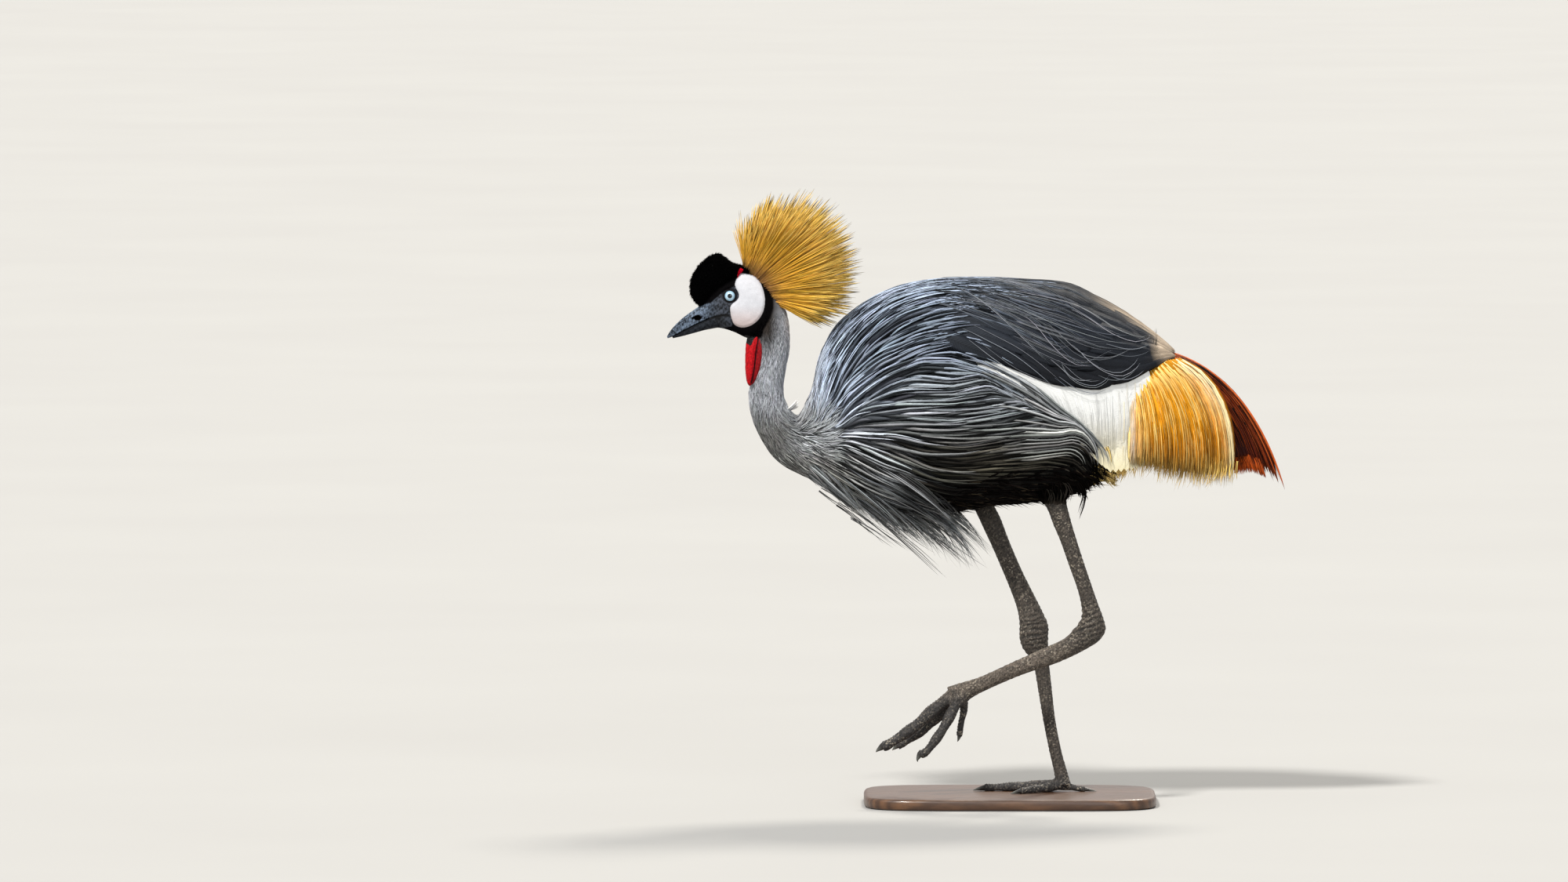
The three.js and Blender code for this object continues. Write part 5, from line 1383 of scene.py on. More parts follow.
def body_coat(surf):
    for side, name in ((-1, "left"), (1, "right")):
        rng = np.random.default_rng(100 + side)

        def allowed(P):
            u, v = uv_of(P)
            ok = (np.sign(P[:, 1]) == side) & (past_flank(u, v) < 2) & (v < 652)
            ok &= (u > 1012) | (v > 566)
            ok &= ~((u < 1020) & (v < 540)) & (u < 1415)
            ok &= ~((v > 618 + 0.1 * (1300 - u)) & (u > 1230))
            return ok

        def mantle_of(u, v):
            return ramp(490, 440, v + 0.25 * (1150 - u))

        def dense_gap(u, v):
            return mix(0.0030, mix(0.0066, 0.0050, mantle_of(u, v)), ramp(1010, 1090, u))

        def open_gap(u, v):
            return mix(0.0036, mix(0.0098, 0.0070, mantle_of(u, v)), ramp(1010, 1090, u))

        def courses(count, gap, low, high, K, bend, slack):
            R = even_places(surf, count, rng, allowed, gap)
            n = len(R)
            u, v = uv_of(R)
            L = mix(0.036, mix(low, high, mantle_of(u, v)), ramp(1010, 1085, u)) * rng.uniform(0.8, 1.25, n)
            P, N = march(surf, R, L, K, yaw=rng.normal(0, bend, n), turn=rng.normal(0, bend * 1.5, n))
            extra = np.where(v < 440, 4 + 95 * rng.random(n) ** 1.7, rng.uniform(-5, slack, n))
            f = smooth_limit(P, N, past_flank, extra)
            keep = f > 0.28
            P, N, f, R, L = P[keep], N[keep], f[keep], R[keep], L[keep]
            s = np.linspace(0, 1, K)[None] * f[:, None]
            P, N = resample(P, s), unit(resample(N, s))
            u, v = uv_of(R)
            return P, N, L * f, mantle_of(u, v), ramp(1010, 1085, u), rng.random(len(R))

        # the under layer that closes the coat, its tone darkened far below the plumage's as painted shade in the gaps
        # between the plumes
        P, N, L, mantle, front, _ = courses(1000, dense_gap, 0.085, 0.090, 7, 0.06, 3)
        n = len(P)
        u, v = uv_of(P[:, 3])
        lower = Tufts(f"plumes_{name}_under")
        off = mix(-0.0075, -0.0020, np.linspace(0, 1, 7))[None] + rng.uniform(-0.0006, 0.0006, (n, 1))
        w = mix(0.0012, mix(0.0030, 0.0024, mantle), front) * rng.uniform(0.8, 1.3, n)
        W = profile(n, 6, "lance") * (w * 1.5)[:, None]
        dark = plumage(u, v) * rng.uniform(0.05, 0.16, (n, 1)) * (1 + 1.4 * ramp(1200, 1095, u) * ramp(440, 480, v))[:, None]
        vane(lower, P + N * off[..., None], N, W, W * 0.25, tone_along(dark, rng, 0.15, 0.7, 1.5, 6), "tri")
        lower.build(MAT["grey"], "plumage_grey")

        # the plumes: long and narrow, pale ones on top of dark ones, each drawn out to a point
        K = 16
        P, N, L, mantle, front, pick = courses(1000, open_gap, 0.142, 0.140, K, 0.035, 3)
        n = len(P)
        u, v = uv_of(P[:, K // 2])
        Kw = K - 1
        sw = np.arange(Kw) / Kw
        t = np.linspace(0, 1, K)[None]
        fore = ramp(1200, 1095, u) * ramp(440, 480, v)
        rear = ramp(1270, 1340, u) * ramp(515, 545, v)
        pale = pick < mix(mix(mix(0.64, 0.56, ramp(530, 600, v)), 0.78, mantle), 0.86, fore) - 0.2 * rear
        w = mix(0.0011, mix(0.0021, 0.0016, mantle), front) * np.where(pale, rng.uniform(0.65, 1.15, n), rng.uniform(0.8, 1.5, n)) * np.clip(L / 0.06, 0.6, 1)
        prof = np.minimum(1, 0.35 + 2.4 * sw) * (1 - sw ** 2.6) ** 0.9
        W = prof[None] * w[:, None]
        H = W * rng.uniform(0.45, 0.65, (n, 1))
        layer = np.where(pale, rng.uniform(0.0002, 0.0018, n), rng.uniform(-0.0018, 0.0002, n))
        off = mix(-0.0068, -0.0006, ramp(0, mix(0.30, 0.42, rng.random((n, 1))), t)) + layer[:, None] * ramp(0.05, 0.3, t) - 0.0006 * t ** 4
        Q = P + N * off[..., None]
        base = plumage(u, v)
        bright = np.where(pale, np.exp(rng.normal(mix(0.30, 0.46, mantle) + 0.28 * fore - 0.3 * rear, 0.22, n)), np.exp(rng.normal(-1.15 + 0.4 * fore - 0.2 * rear, 0.45, n)))[:, None]
        tone = tone_along(base * bright, rng, 0.02, 0.45, 1.15, Kw, 0.02)
        qu, qv = uv_of(Q)
        gloom = ramp(1285, 1350, qu) * ramp(515, 545, qv) * np.where(rng.random(n) < 0.6, 0.75, 0.1)[:, None]
        tone = tone * (1 - gloom[:, :tone.shape[1]])[(...,) + (None,) * (tone.ndim - 2)]
        # painted light on the plumes' upper edges and painted shade on their lower edges
        tone = painted_edge_light(tone, Q, N, 4, 0.7)
        tilt = -unit(np.cross(tangents(Q), N))[:, :Kw, 2] * 0.22
        for part, cut in (("fore", u < 1150), ("rear", u >= 1150)):
            tf = Tufts(f"plumes_{name}_{part}")
            vane(tf, Q[cut], N[cut], W[cut], H[cut], tone[cut], "dia", twist=tilt[cut])
            tf.build(MAT["plume"], "plumage_grey")

        # barbs that part from the edges: a shadow line under each plume, and pale and dark hairs along it
        upper = Tufts(f"plumes_{name}_barbs")
        per, J = 4, 7
        idx = np.repeat(np.arange(n), per)
        kind = np.tile(np.arange(per), n)
        m = len(idx)
        up = unit(np.cross(tangents(Q), N))[:, K // 2, 2][idx]
        a = np.where(kind == 0, -np.sign(up) * rng.uniform(1.0, 1.25, m), rng.uniform(-1.05, 1.05, m))
        b = np.where(kind == 0, rng.uniform(0.12, 0.3, m), rng.uniform(0.15, 0.6, m))
        e = np.minimum(np.where(kind == 0, 0.95, b + rng.uniform(0.3, 0.6, m)), 0.99)
        ss = b[:, None] + (e - b)[:, None] * np.linspace(0, 1, J)[None]
        p, nn = resample(Q[idx], ss), unit(resample(N[idx], ss))
        S = unit(np.cross(tangents(p), nn))
        wl = resample(np.concatenate([W, 0 * W[:, :1]], 1)[idx][..., None], ss)[..., 0]
        hh = resample(np.concatenate([H, 0 * H[:, :1]], 1)[idx][..., None], ss)[..., 0]
        p = p + S * (a[:, None] * wl * 0.95 + rng.normal(0, 0.0005, (m, 1)) * np.linspace(0, 1, J)[None])[..., None]
        ends = np.sin(np.pi * np.linspace(0, 1, J))[None] ** 0.5
        p = p + nn * (mix(-0.0008, 1.0, ends) * (hh * np.maximum(1 - np.abs(a[:, None]), 0) + 0.0004) - (1 - ends) * 0.0004)[..., None]
        Wt = np.maximum(np.sin(np.pi * (np.arange(J - 1) + 0.35) / (J - 0.3)), 0.15)[None] * np.where(kind == 0, rng.uniform(0.0005, 0.0008, m), rng.uniform(0.00026, 0.00048, m))[:, None] * mix(0.7, 1.0, front[idx])[:, None]
        light = rng.random(m)
        k = np.where(kind == 0, rng.uniform(0.03, 0.10, m), np.where(light > 0.45, rng.uniform(1.35, 1.95, m), rng.uniform(0.06, 0.3, m)))
        tn = base[idx] * np.where(kind == 0, 1, bright[idx, 0] ** 0.6)[:, None] * (k * (1 - 0.6 * rear[idx]))[:, None]
        vane(upper, p, nn, Wt, Wt * 0.8, tone_along(tn, rng, 0.1, 0.8, 1.1, J - 1), "tri")
        upper.build(MAT["grey"], "plumage_grey")


ARCS = [
    [(1190, 430), (1240, 446), (1292, 471), (1325, 492), (1348, 512), (1373, 530.5), (1386.5, 544), (1398, 555.6), (1406.7, 567), (1411.6, 580.6), (1412.5, 593)],
    [(1200, 447), (1250, 463), (1300, 488), (1328, 507), (1348, 521.9), (1361.5, 526.7), (1375, 536.3), (1384.6, 549.8), (1394.2, 563.3), (1399, 576.7), (1399, 588.3)],
    [(1240, 515), (1280, 512), (1318, 520), (1348, 531), (1363.4, 532.4), (1375, 538), (1386.5, 549), (1394, 560), (1398, 572), (1398.8, 588.5)],
    [(1250, 556), (1300, 546), (1348, 545), (1363.4, 542.1), (1376.9, 545), (1386.5, 553.6), (1394.2, 567.1), (1397.1, 582.5), (1398.5, 589.3)],
    [(1252, 566), (1300, 556), (1348, 553.6), (1363.4, 550.7), (1376.9, 553.6), (1388.4, 563.3), (1395.2, 574.8), (1397.1, 588.3)],
    [(1252, 576), (1300, 565), (1348, 560.4), (1363.4, 557.5), (1375, 560.4), (1384.6, 568.1), (1389.4, 578.7), (1391.3, 589.3)],
    [(1250, 586), (1300, 573), (1348, 567.1), (1361.5, 566.1), (1371.1, 569), (1378.8, 576.7), (1383, 588.4)],
    [(1248, 596), (1300, 582), (1348, 574.8), (1359.6, 573.8), (1369.2, 577.7), (1375, 584.4), (1377.5, 590)]]


def edge_plumes():
    M = 40
    arcs = []
    for pts in ARCS:
        p = catmull(np.array(pts), np.linspace(0, len(pts) - 1, 200))
        arcs.append(along_line(p, M))
    arcs = np.array(arcs)
    for side, name in ((-1, "left"), (1, "right")):
        rng = np.random.default_rng(640 + side)
        q = np.concatenate([np.arange(0, 7.01, 0.5), [0.08, 0.2, 1.12, 1.7, 2.25, 2.8, 3.3]])
        n, K = len(q), 19
        i = np.minimum(q.astype(int), len(arcs) - 2)
        f = (q - i)[:, None, None]
        course = arcs[i] * (1 - f) + arcs[i + 1] * f
        s0 = rng.uniform(0.0, 0.30, n)
        s1 = np.where(np.arange(n) % 3 == 2, rng.uniform(0.86, 0.96, n), 1.0)
        at = s0[:, None] + (s1 - s0)[:, None] * np.linspace(0, 1, K)[None]
        uv = resample(course, at)
        t = np.linspace(0, 1, K)[None]
        out = mix(-0.006, 0.0034, ramp(0.0, 0.40, t)) + rng.uniform(-0.0006, 0.0010, (n, 1)) + 0.0010 * (q / 7)[:, None]
        P, N = panel_point(uv[..., 0], uv[..., 1], side, out)
        w = rng.uniform(0.0014, 0.0021, n)
        sw = np.arange(K - 1) / (K - 1)
        W = (np.minimum(1, 0.4 + 2 * sw) * (1 - sw ** 3.2) ** 0.9)[None] * w[:, None]
        base = blend(plumage(uv[:, 8, 0], uv[:, 8, 1]), srgb(158, 160, 158)[None] * np.ones((n, 3)), 0.6) * np.exp(rng.normal(-0.1, 0.4, (n, 1)))
        tone = tone_along(base, rng, 0.05, 0.45, 1.05, K - 1)
        # painted light on the plumes' upper edges and painted shade on their lower edges
        tone = painted_edge_light(tone, P, N, 4, 0.9)
        tf = Tufts(f"plumes_{name}_edge")
        vane(tf, P, N, W, W * 0.55, tone, "dia")
        tf.build(MAT["plume"], "plumage_grey")


def inside_of(surf, P):
    """Whether points lie under the surface."""
    loc, nr = surf.project(P)
    return ((P - loc) * nr).sum(1) < 0


def temp_surface(solids, voxel=None, smooth=0):
    ob = joined(solids, "temp")
    if voxel:
        ob = remeshed(ob, voxel, smooth)
    s = Surface(ob)
    me = ob.data
    bpy.data.objects.remove(ob)
    bpy.data.meshes.remove(me)
    return s


def bezier(A, C, B, s):
    s = s[..., None]
    return A[:, None] * (1 - s) ** 2 + 2 * C[:, None] * s * (1 - s) + B[:, None] * s ** 2


def tones(stops, s):
    """Colours (.., 3) at shares s between named tones [(share, colour), ...]."""
    at = [a for a, _ in stops]
    c = np.array([q for _, q in stops])
    return np.stack([np.interp(s, at, c[:, k]) for k in range(3)], -1)


def build_cap(surf):
    rings = loft(CAP, 100, 90, -0.0016)
    solid = tube_solid(rings)
    V, q, t = solid
    me = make_mesh("cap_cushion", V + wave_noise(V, 60, 61, 2)[:, None] * 0.0002, q, t)
    ob = make_object("cap_cushion", me)
    m, nt, b = material("cap_velvet_ground", rough=0.95, spec=0.0)
    k = Nodes(nt)
    k.link(k.scaled(k.attr("Tone"), k.range(k.noise(900, 3), 0.3, 0.7, 0.5, 1.5)), b.inputs["Base Color"])
    k.link(k.bump(k.noise(1600, 3), 0.6, 0.0005), b.inputs["Normal"])
    me.materials.append(m)
    cu, cv = uv_of(V)
    spot = (inside(RED_SPOT, cu, cv) | (distance_to(RED_SPOT, cu, cv) < 0.5)) & (np.abs(V[:, 1]) > 0.006)
    colour_attribute(me, "Tone", np.where(spot[:, None], srgb(196, 16, 40), np.array([0.0012, 0.0011, 0.0012])))
    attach(ob, "root")
    rng = np.random.default_rng(7)
    cs = temp_surface([solid])
    n = 9000
    R = cs.sample(n, rng)
    R = R[~inside_of(surf, R)]
    loc, nr = cs.project(R)
    n = len(R)
    back = unit(np.array([[0.55, 0, -0.35]]) - (nr @ np.array([0.55, 0, -0.35]))[:, None] * nr)
    d = unit(nr * 0.8 + back * 0.55 + rng.normal(0, 0.22, (n, 3)))
    L = np.where(rng.random(n) < 0.3, rng.uniform(0.003, 0.0046, n), rng.uniform(0.0019, 0.0030, n))[:, None]
    s = np.array([0, 0.5, 1.0])
    P = (R - nr * 0.0004)[:, None] + d[:, None] * (L[:, None] * s[None, :, None]) + back[:, None] * (L[:, None] * 0.35 * s[None, :, None] ** 2)
    clear = np.ones(n, bool)
    for k in range(3):
        pu, pv = uv_of(P[:, k])
        clear &= ~((inside(RED_SPOT, pu, pv) | (distance_to(RED_SPOT, pu, pv) < 0.5)) & (np.abs(P[:, k, 1]) > 0.004))
    R, P, nr, d = R[clear], P[clear], nr[clear], d[clear]
    n = len(R)
    W = np.array([[0.00042, 0.0003]]) * rng.uniform(0.8, 1.2, (n, 1))
    base = np.array([[0.0012, 0.0011, 0.0013]]) * rng.uniform(0.3, 1.3, (n, 1))
    tf = Tufts("cap_velvet")
    # seen end on, the normal of a standing hair is taken across it
    N = unit(np.cross(np.cross(d, nr + rng.normal(0, 0.3, (n, 3))), d))[:, None].repeat(3, 1)
    vane(tf, P, N, W, W * 1.2, tone_along(base, rng, 0.2, 0.7, 1.4, 2), "tri")
    tf.build(MAT["black"], "plumage_black", ["cap"], places=unwrap(R))
    return cs


CREST_REACH = [74, 106, 117, 129, 131, 128, 123, 119, 112, 88]


def build_crown():
    """A stiff fan of bristles: brown at the root, gold, straw towards the end, many tipped with black."""
    rng = np.random.default_rng(17)
    n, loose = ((4700, 110))
    s = rng.random(n)
    s[:loose] = rng.uniform(0, 0.05, loose)
    b = rng.uniform(-1, 1, n)
    ang = np.radians(mix(109.5, -41.0, s) + rng.normal(0, 1.8, n))
    ang[:loose] += np.radians(rng.uniform(3, 15, loose))
    reach = catmull(np.array(CREST_REACH)[:, None], s * (len(CREST_REACH) - 1))[:, 0] * G
    wide = np.sqrt(np.maximum(1 - np.abs(2 * s - 1) ** 2.4 * 0.92, 0.02))
    share = (0.94 - 0.5 * rng.random(n) ** 1.8) * rng.uniform(0.93, 1.03, n)
    spike = rng.random(n) < 0.11
    spike[:loose] = False
    share[spike] = rng.uniform(0.93, 1.04, int(spike.sum()))
    share[:loose] = rng.uniform(0.7, 1.12, loose)
    out = np.stack([np.cos(ang), np.zeros(n), np.sin(ang)], -1)
    hub = np.array([float(X(978)), 0, float(Z(358))])
    ROOT = np.array([(945.5, 336.5), (962, 346.5), (970, 354), (976, 362), (981, 371), (985, 381), (988, 389)], float)
    rt = along_line(ROOT, s)
    deep = rng.random(n)
    root = np.stack([X(rt[:, 0] + 2 * deep), b * 0.0135 * (0.4 + 0.6 * wide), Z(rt[:, 1] - 1 * deep)], -1)
    root = root - out * 0.005 + rng.normal(0, 0.0009, (n, 3))
    tip = hub + out * (reach * share * np.cos(b * 0.66))[:, None]
    tip[:, 1] = 0.076 * wide * share * np.sin(b * 1.25) / math.sin(1.25) + rng.normal(0, 0.0025, n)
    tip += rng.normal(0, 0.0016, (n, 3))
    L = np.linalg.norm(tip - root, axis=1)[:, None]
    first = unit(out + np.stack([np.zeros(n), 0.35 * b, np.zeros(n)], -1))
    mid = root * 0.5 + tip * 0.5 + first * L * 0.05 + rng.normal(0, 0.012, (n, 3)) * L * 0.5
    at = np.array([0, 0.25, 0.52, 0.78, 0.91, 1.0])
    P = bezier(root, mid, tip, np.broadcast_to(at, (n, 6)))
    D = unit(tip - root)
    N = rng.normal(0, 0.45, (n, 3)) + np.stack([np.zeros(n), 0.5 * np.sign(b), np.full(n, 0.8)], -1)
    N = unit(N - (N * D).sum(1, keepdims=True) * D)[:, None].repeat(6, 1)
    W = np.array([[0.00018, 0.00023, 0.00030, 0.00034, 0.00031]]) * rng.uniform(0.75, 1.25, (n, 1)) * np.where(spike, 1.5, 1.0)[:, None]
    stops = [(0, srgb(196, 144, 96)), (0.12, srgb(250, 188, 96)), (0.3, srgb(255, 196, 70)), (0.52, srgb(255, 198, 70)), (0.74, srgb(254, 204, 90)), (0.9, srgb(254, 214, 112)), (1, srgb(254, 222, 134))]
    grain = np.exp(rng.normal(0.05, 0.14, (n, 6, 1)) + rng.normal(0.0, 0.17, (n, 1, 1)))
    tn = tones(stops, np.broadcast_to(at, (n, 6))) / EXPOSE * grain * (1 + rng.normal(0, 0.025, (n, 1, 3)))
    tipped = rng.random(n) < np.where(spike, 0.85, mix(0.12, 0.45, ramp(0.78, 0.94, share)))
    tn[tipped, 5:] = srgb(14, 10, 8)
    tn[tipped, 4] *= rng.uniform(0.03, 1.0, (int(tipped.sum()), 1))
    shade = rng.random(n) < 0.04
    tn[shade] *= 0.34
    fleck = rng.random((n, 6)) < 0.06
    tn[fleck] *= 0.22
    tf = Tufts("crown_bristles")
    vane(tf, P, N, W, W * 1.5, tn, "tri")
    place = np.stack([0.03 + 0.94 * s, 0.03 + 0.94 * (b + 1) / 2], -1)
    tf.build(MAT["crown"], "crown_bristles", ["crown"], places=place)


def neck_coat(surf, cap_surf):
    rng = np.random.default_rng(23)

    def neck_zone(P):
        u, v = uv_of(P)
        ok = (u < 1048) & (v > 385) & ~inside(HEAD_BLACK, u, v)
        ok &= (u > 950)
        bare = inside(CHEEK, u, v) & (np.abs(P[:, 1]) > 0.005)
        return ok & ~bare & (v < 612)

    n = 8600
    R = surf.sample(n, rng, neck_zone)
    u, v = uv_of(R)
    L = mix(0.011, 0.022, ramp(410, 500, v)) * mix(1, 1.8, ramp(990, 1045, u)) * rng.uniform(0.75, 1.3, n)
    K = 4
    P, N = march(surf, R, L, K, yaw=rng.normal(0, 0.13, n) + 0.25 * np.sin(v * 0.11 + u * 0.05) * ramp(560, 520, v), turn=rng.normal(0, 0.15, n))
    Q = lifted(P, N, 0.0022, rng.uniform(-0.0003, 0.0006, n), 0.5, rng.uniform(0, 0.0005, n))
    W = profile(n, 3, "hair") * rng.uniform(0.00040, 0.00070, n)[:, None] * mix(1, 1.7, ramp(1000, 1045, u))[:, None]
    base = plumage(*uv_of(P[:, 1])) * np.exp(rng.normal(0.02, 0.09, (n, 1)))
    streak = rng.random(n)
    deep = mix(0.08, 0.30, ramp(505, 560, uv_of(P[:, 1])[1]))
    far = ramp(995, 1020, u) * ramp(505, 530, v)
    base = base * np.where(streak < deep, mix(0.55, 0.2, far), np.where(streak > mix(0.88, 0.7, far), mix(1.16, 1.5, far), 1.0))[:, None]
    tf = Tufts("neck_plumes")
    vane(tf, Q, N, W, W * 0.9, tone_along(base, rng, 0.08, 0.6, 1.12, 3), "tri")
    tf.build(MAT["grey"], "plumage_grey")

    # short black velvet behind and under the cheeks
    def velvet(P):
        u, v = uv_of(P)
        ok = inside(HEAD_BLACK, u, v) & ~inside(FACE, u, v)
        y = np.abs(P[:, 1])
        d = distance_to(CHEEK, u, v)
        ok &= ~((inside(CHEEK, u, v) | (d < 1.2)) & (y > 0.005))
        red = (inside(RED_SPOT, u, v) | (distance_to(RED_SPOT, u, v) < 0.8)) & (y > 0.004)
        ok &= ~red
        ok &= ~((np.hypot(u - EYE_U, v - EYE_V) < 11) & (y > 0.006))
        ok &= ~((distance_to(FACE, u, v) < 1.5) & (v < 400))
        return ok & (u > 905)

    n = 4200
    R = surf.sample(n, rng, velvet)
    under = inside_of(cap_surf, R)
    R = R[~under]
    n = len(R)
    u, v = uv_of(R)
    K = 3
    L = rng.uniform(0.0028, 0.005, n)
    P, N = march(surf, R, L, K, yaw=rng.normal(0, 0.25, n))
    Q = lifted(P, N, 0.0008, rng.uniform(0.0003, 0.0009, n), 0.6, rng.uniform(0, 0.0006, n))
    W = profile(n, 2, "hair") * rng.uniform(0.0003, 0.0005, n)[:, None]
    base = np.array([[0.003, 0.0026, 0.003]]) * rng.uniform(0.5, 2.0, (n, 1))
    tf = Tufts("head_velvet")
    vane(tf, Q, N, W, W, tone_along(base, rng, 0.2, 0.8, 1.4, 2), "tri")
    tf.build(MAT["black"], "plumage_black")


def breast_coat(surf):
    """Long loose plumes that run off the breast and hang in points."""
    rng = np.random.default_rng(31)
    groups = 250
    tips = [(1072, 630), (1094, 648), (1128, 674), (1160, 690), (1192, 704), (1214, 716), (1244, 722), (1258, 718), (1266, 704), (1246, 680), (1240, 664), (1238, 654)]
    a = (np.arange(groups) + rng.random(groups)) / groups
    T = along_line(tips, a)
    inner = np.where(rng.random(groups) < 0.30, rng.uniform(0, 10, groups), rng.uniform(8, 62, groups))
    th = np.radians(rng.normal(37, 4.5, groups) - 6 * a)
    T = T - inner[:, None] * np.stack([np.cos(th), np.sin(th)], -1)
    Lg = rng.uniform(78, 150, groups) - inner * 0.3
    ys = np.where(np.arange(groups) % 2 == 0, -1, 1) * rng.uniform(0.12, 1, groups) ** 0.7
    ru, rv = T[:, 0] - Lg * np.cos(th + 0.03), T[:, 1] - Lg * np.sin(th + 0.03)
    low = np.interp(ru, [1012, 1041, 1070, 1102, 1137, 1178, 1222, 1270], [598, 613, 627, 641, 650, 655, 651, 643])
    ru = np.maximum(ru, 1022)
    rv = np.minimum(rv, low - 5)
    P0 = np.empty((groups, 3))
    N0 = np.empty((groups, 3))
    for side in (-1, 1):
        j = np.flatnonzero(np.sign(ys) == side)
        P0[j], N0[j] = surf.side(ru[j], rv[j], side)
    P0[:, 1] = P0[:, 1] * np.abs(ys)
    P0, N0 = surf.project(P0 - np.array([0, 0, 0.03]) * (1 - np.abs(ys))[:, None])
    per = 8
    i = np.repeat(np.arange(groups), per)
    m = len(i)
    strand = rng.normal(0, 1, (m, 3))
    S0 = unit(np.cross(lie(P0), N0))
    P1 = P0[i] + S0[i] * (rng.uniform(-1, 1, (m, 1)) * 0.0055) - N0[i] * rng.uniform(0.002, 0.005, (m, 1))
    TP = np.stack([X(T[i, 0]), P0[i, 1] * mix(0.95, 0.7, rng.random(m)), Z(T[i, 1])], -1)
    D = lie(P0)[i]
    D = unit(D - (D * N0[i]).sum(1, keepdims=True) * N0[i])
    L = np.linalg.norm(TP - P1, axis=1, keepdims=True)
    C = P1 + D * L * 0.5 + N0[i] * 0.004
    K = 9
    reach = np.where(rng.random(m) < 0.22, rng.uniform(0.88, 1.06, m), rng.uniform(0.45, 0.92, m))
    s = np.linspace(0, 1, K)[None] * reach[:, None]
    P = bezier(P1, C, TP, s)
    # the strands of a lock draw together, then part a little at the very end
    spread = strand * np.array([0.0016, 0.0022, 0.0016])
    P += spread[:, None] * (ramp(0.35, 1.1, s) ** 1.5)[..., None]
    P[..., 2] -= 0.006 * s ** 3 * rng.random((m, 1))
    S = unit(np.cross(tangents(P), np.repeat(N0[i][:, None], K, 1)))
    N = unit(np.cross(S, tangents(P)))
    W = profile(m, K - 1, "hair") * rng.uniform(0.0006, 0.0013, m)[:, None]
    W *= np.minimum(1, 0.5 + 2 * np.arange(K - 1) / (K - 1))[None]
    light = rng.random(m)
    k = np.where(light > 0.38, rng.uniform(1.1, 1.9, m), rng.uniform(0.15, 0.6, m))
    c = blend(srgb(154, 160, 166)[None] * np.ones((m, 3)), srgb(136, 131, 120)[None], 0.7 * rng.random(m))
    tf = Tufts("breast_plumes_long")
    tone = tone_along(c * k[:, None], rng, 0.08, 0.75, 0.85, K - 1)
    pu, pv = uv_of(P)
    # painted shade: most strands are painted much darker where they run under the lower side of the body
    deep = ramp(1118, 1160, pu) * ramp(672, 644, pv) * np.where(rng.random(m) < 0.2, 0.2, 0.84)[:, None]
    tone = tone * (1 - deep[:, :tone.shape[1]])[(...,) + (None,) * (tone.ndim - 2)]
    # painted light on the strands' upper edges and painted shade on their lower edges
    vane(tf, P, N, W, W * 0.7, painted_edge_light(tone, P, N, 3, 0.4), "tri")
    tf.build(MAT["grey"], "plumage_grey", ["breast_plumes"])


_B = dense(BODY, 400)
_BU = (_B[:, 0] + _B[:, 2]) / 2


def flank_y(u, v, floor=-0.8):
    """Half width in metres of the body at a place of the side view; below the belly line the wing hangs straight."""
    row = [np.interp(u, _BU, _B[:, k]) for k in range(8)]
    tv, bv, w, e, low = row[1], row[3], row[4], row[6], row[7]
    sn = np.clip(((tv + bv) / 2 - v) / ((bv - tv) / 2), floor, 1)
    cs = np.maximum(1 - np.abs(sn) ** e, 0) ** (1 / e)
    return (w * (1 - low * sn) * cs) * 1e-3


def back_point(u, row, side):
    """A place on the wing: u along the bird, row 0 at the slate feathers' lower edge and 1 on the middle of the back."""
    tab = [np.interp(u, _BU, _B[:, k]) for k in range(8)]
    tu, tv, bu, bv, w, _, e, low = tab
    edge_v = np.interp(u, [p[0] for p in SLATE_EDGE], [p[1] for p in SLATE_EDGE])
    sn = np.clip(((tv + bv) / 2 - edge_v) / ((bv - tv) / 2), -0.98, 0.98)
    th0 = np.arcsin(sgnpow(sn, e / 2))
    th = mix(th0, math.pi / 2, row)
    s, c = sgnpow(np.sin(th), 2 / e), np.abs(np.cos(th)) ** (2 / e)
    cu, cv = (tu + bu) / 2, (tv + bv) / 2
    x = X(u + (tu - bu) / 2 * s)
    z = Z(cv + (tv - bv) / 2 * s)
    return np.stack([x, side * w * 1e-3 * (1 - low * s) * c, z], -1)


def slate_tone(P, N):
    u, v = uv_of(P)
    c = blend(np.broadcast_to(SLATE, u.shape + (3,)), SLATE_DARK, ramp(410, 480, v) * 0.75)
    # painted shade: where the feathers face up they are painted darker, to offset the light from above
    c = c * mix(1.0, 0.62, ramp(0.3, 0.9, N[..., 2]))[..., None]
    rim = ramp(0.50, 0.22, np.abs(N[..., 1])) * ramp(1380, 1440, u)
    rim = np.maximum(rim, ramp(1466, 1478, u) * ramp(460, 450, v) * 0.9)
    return blend(c, BUFF, rim * 0.9)


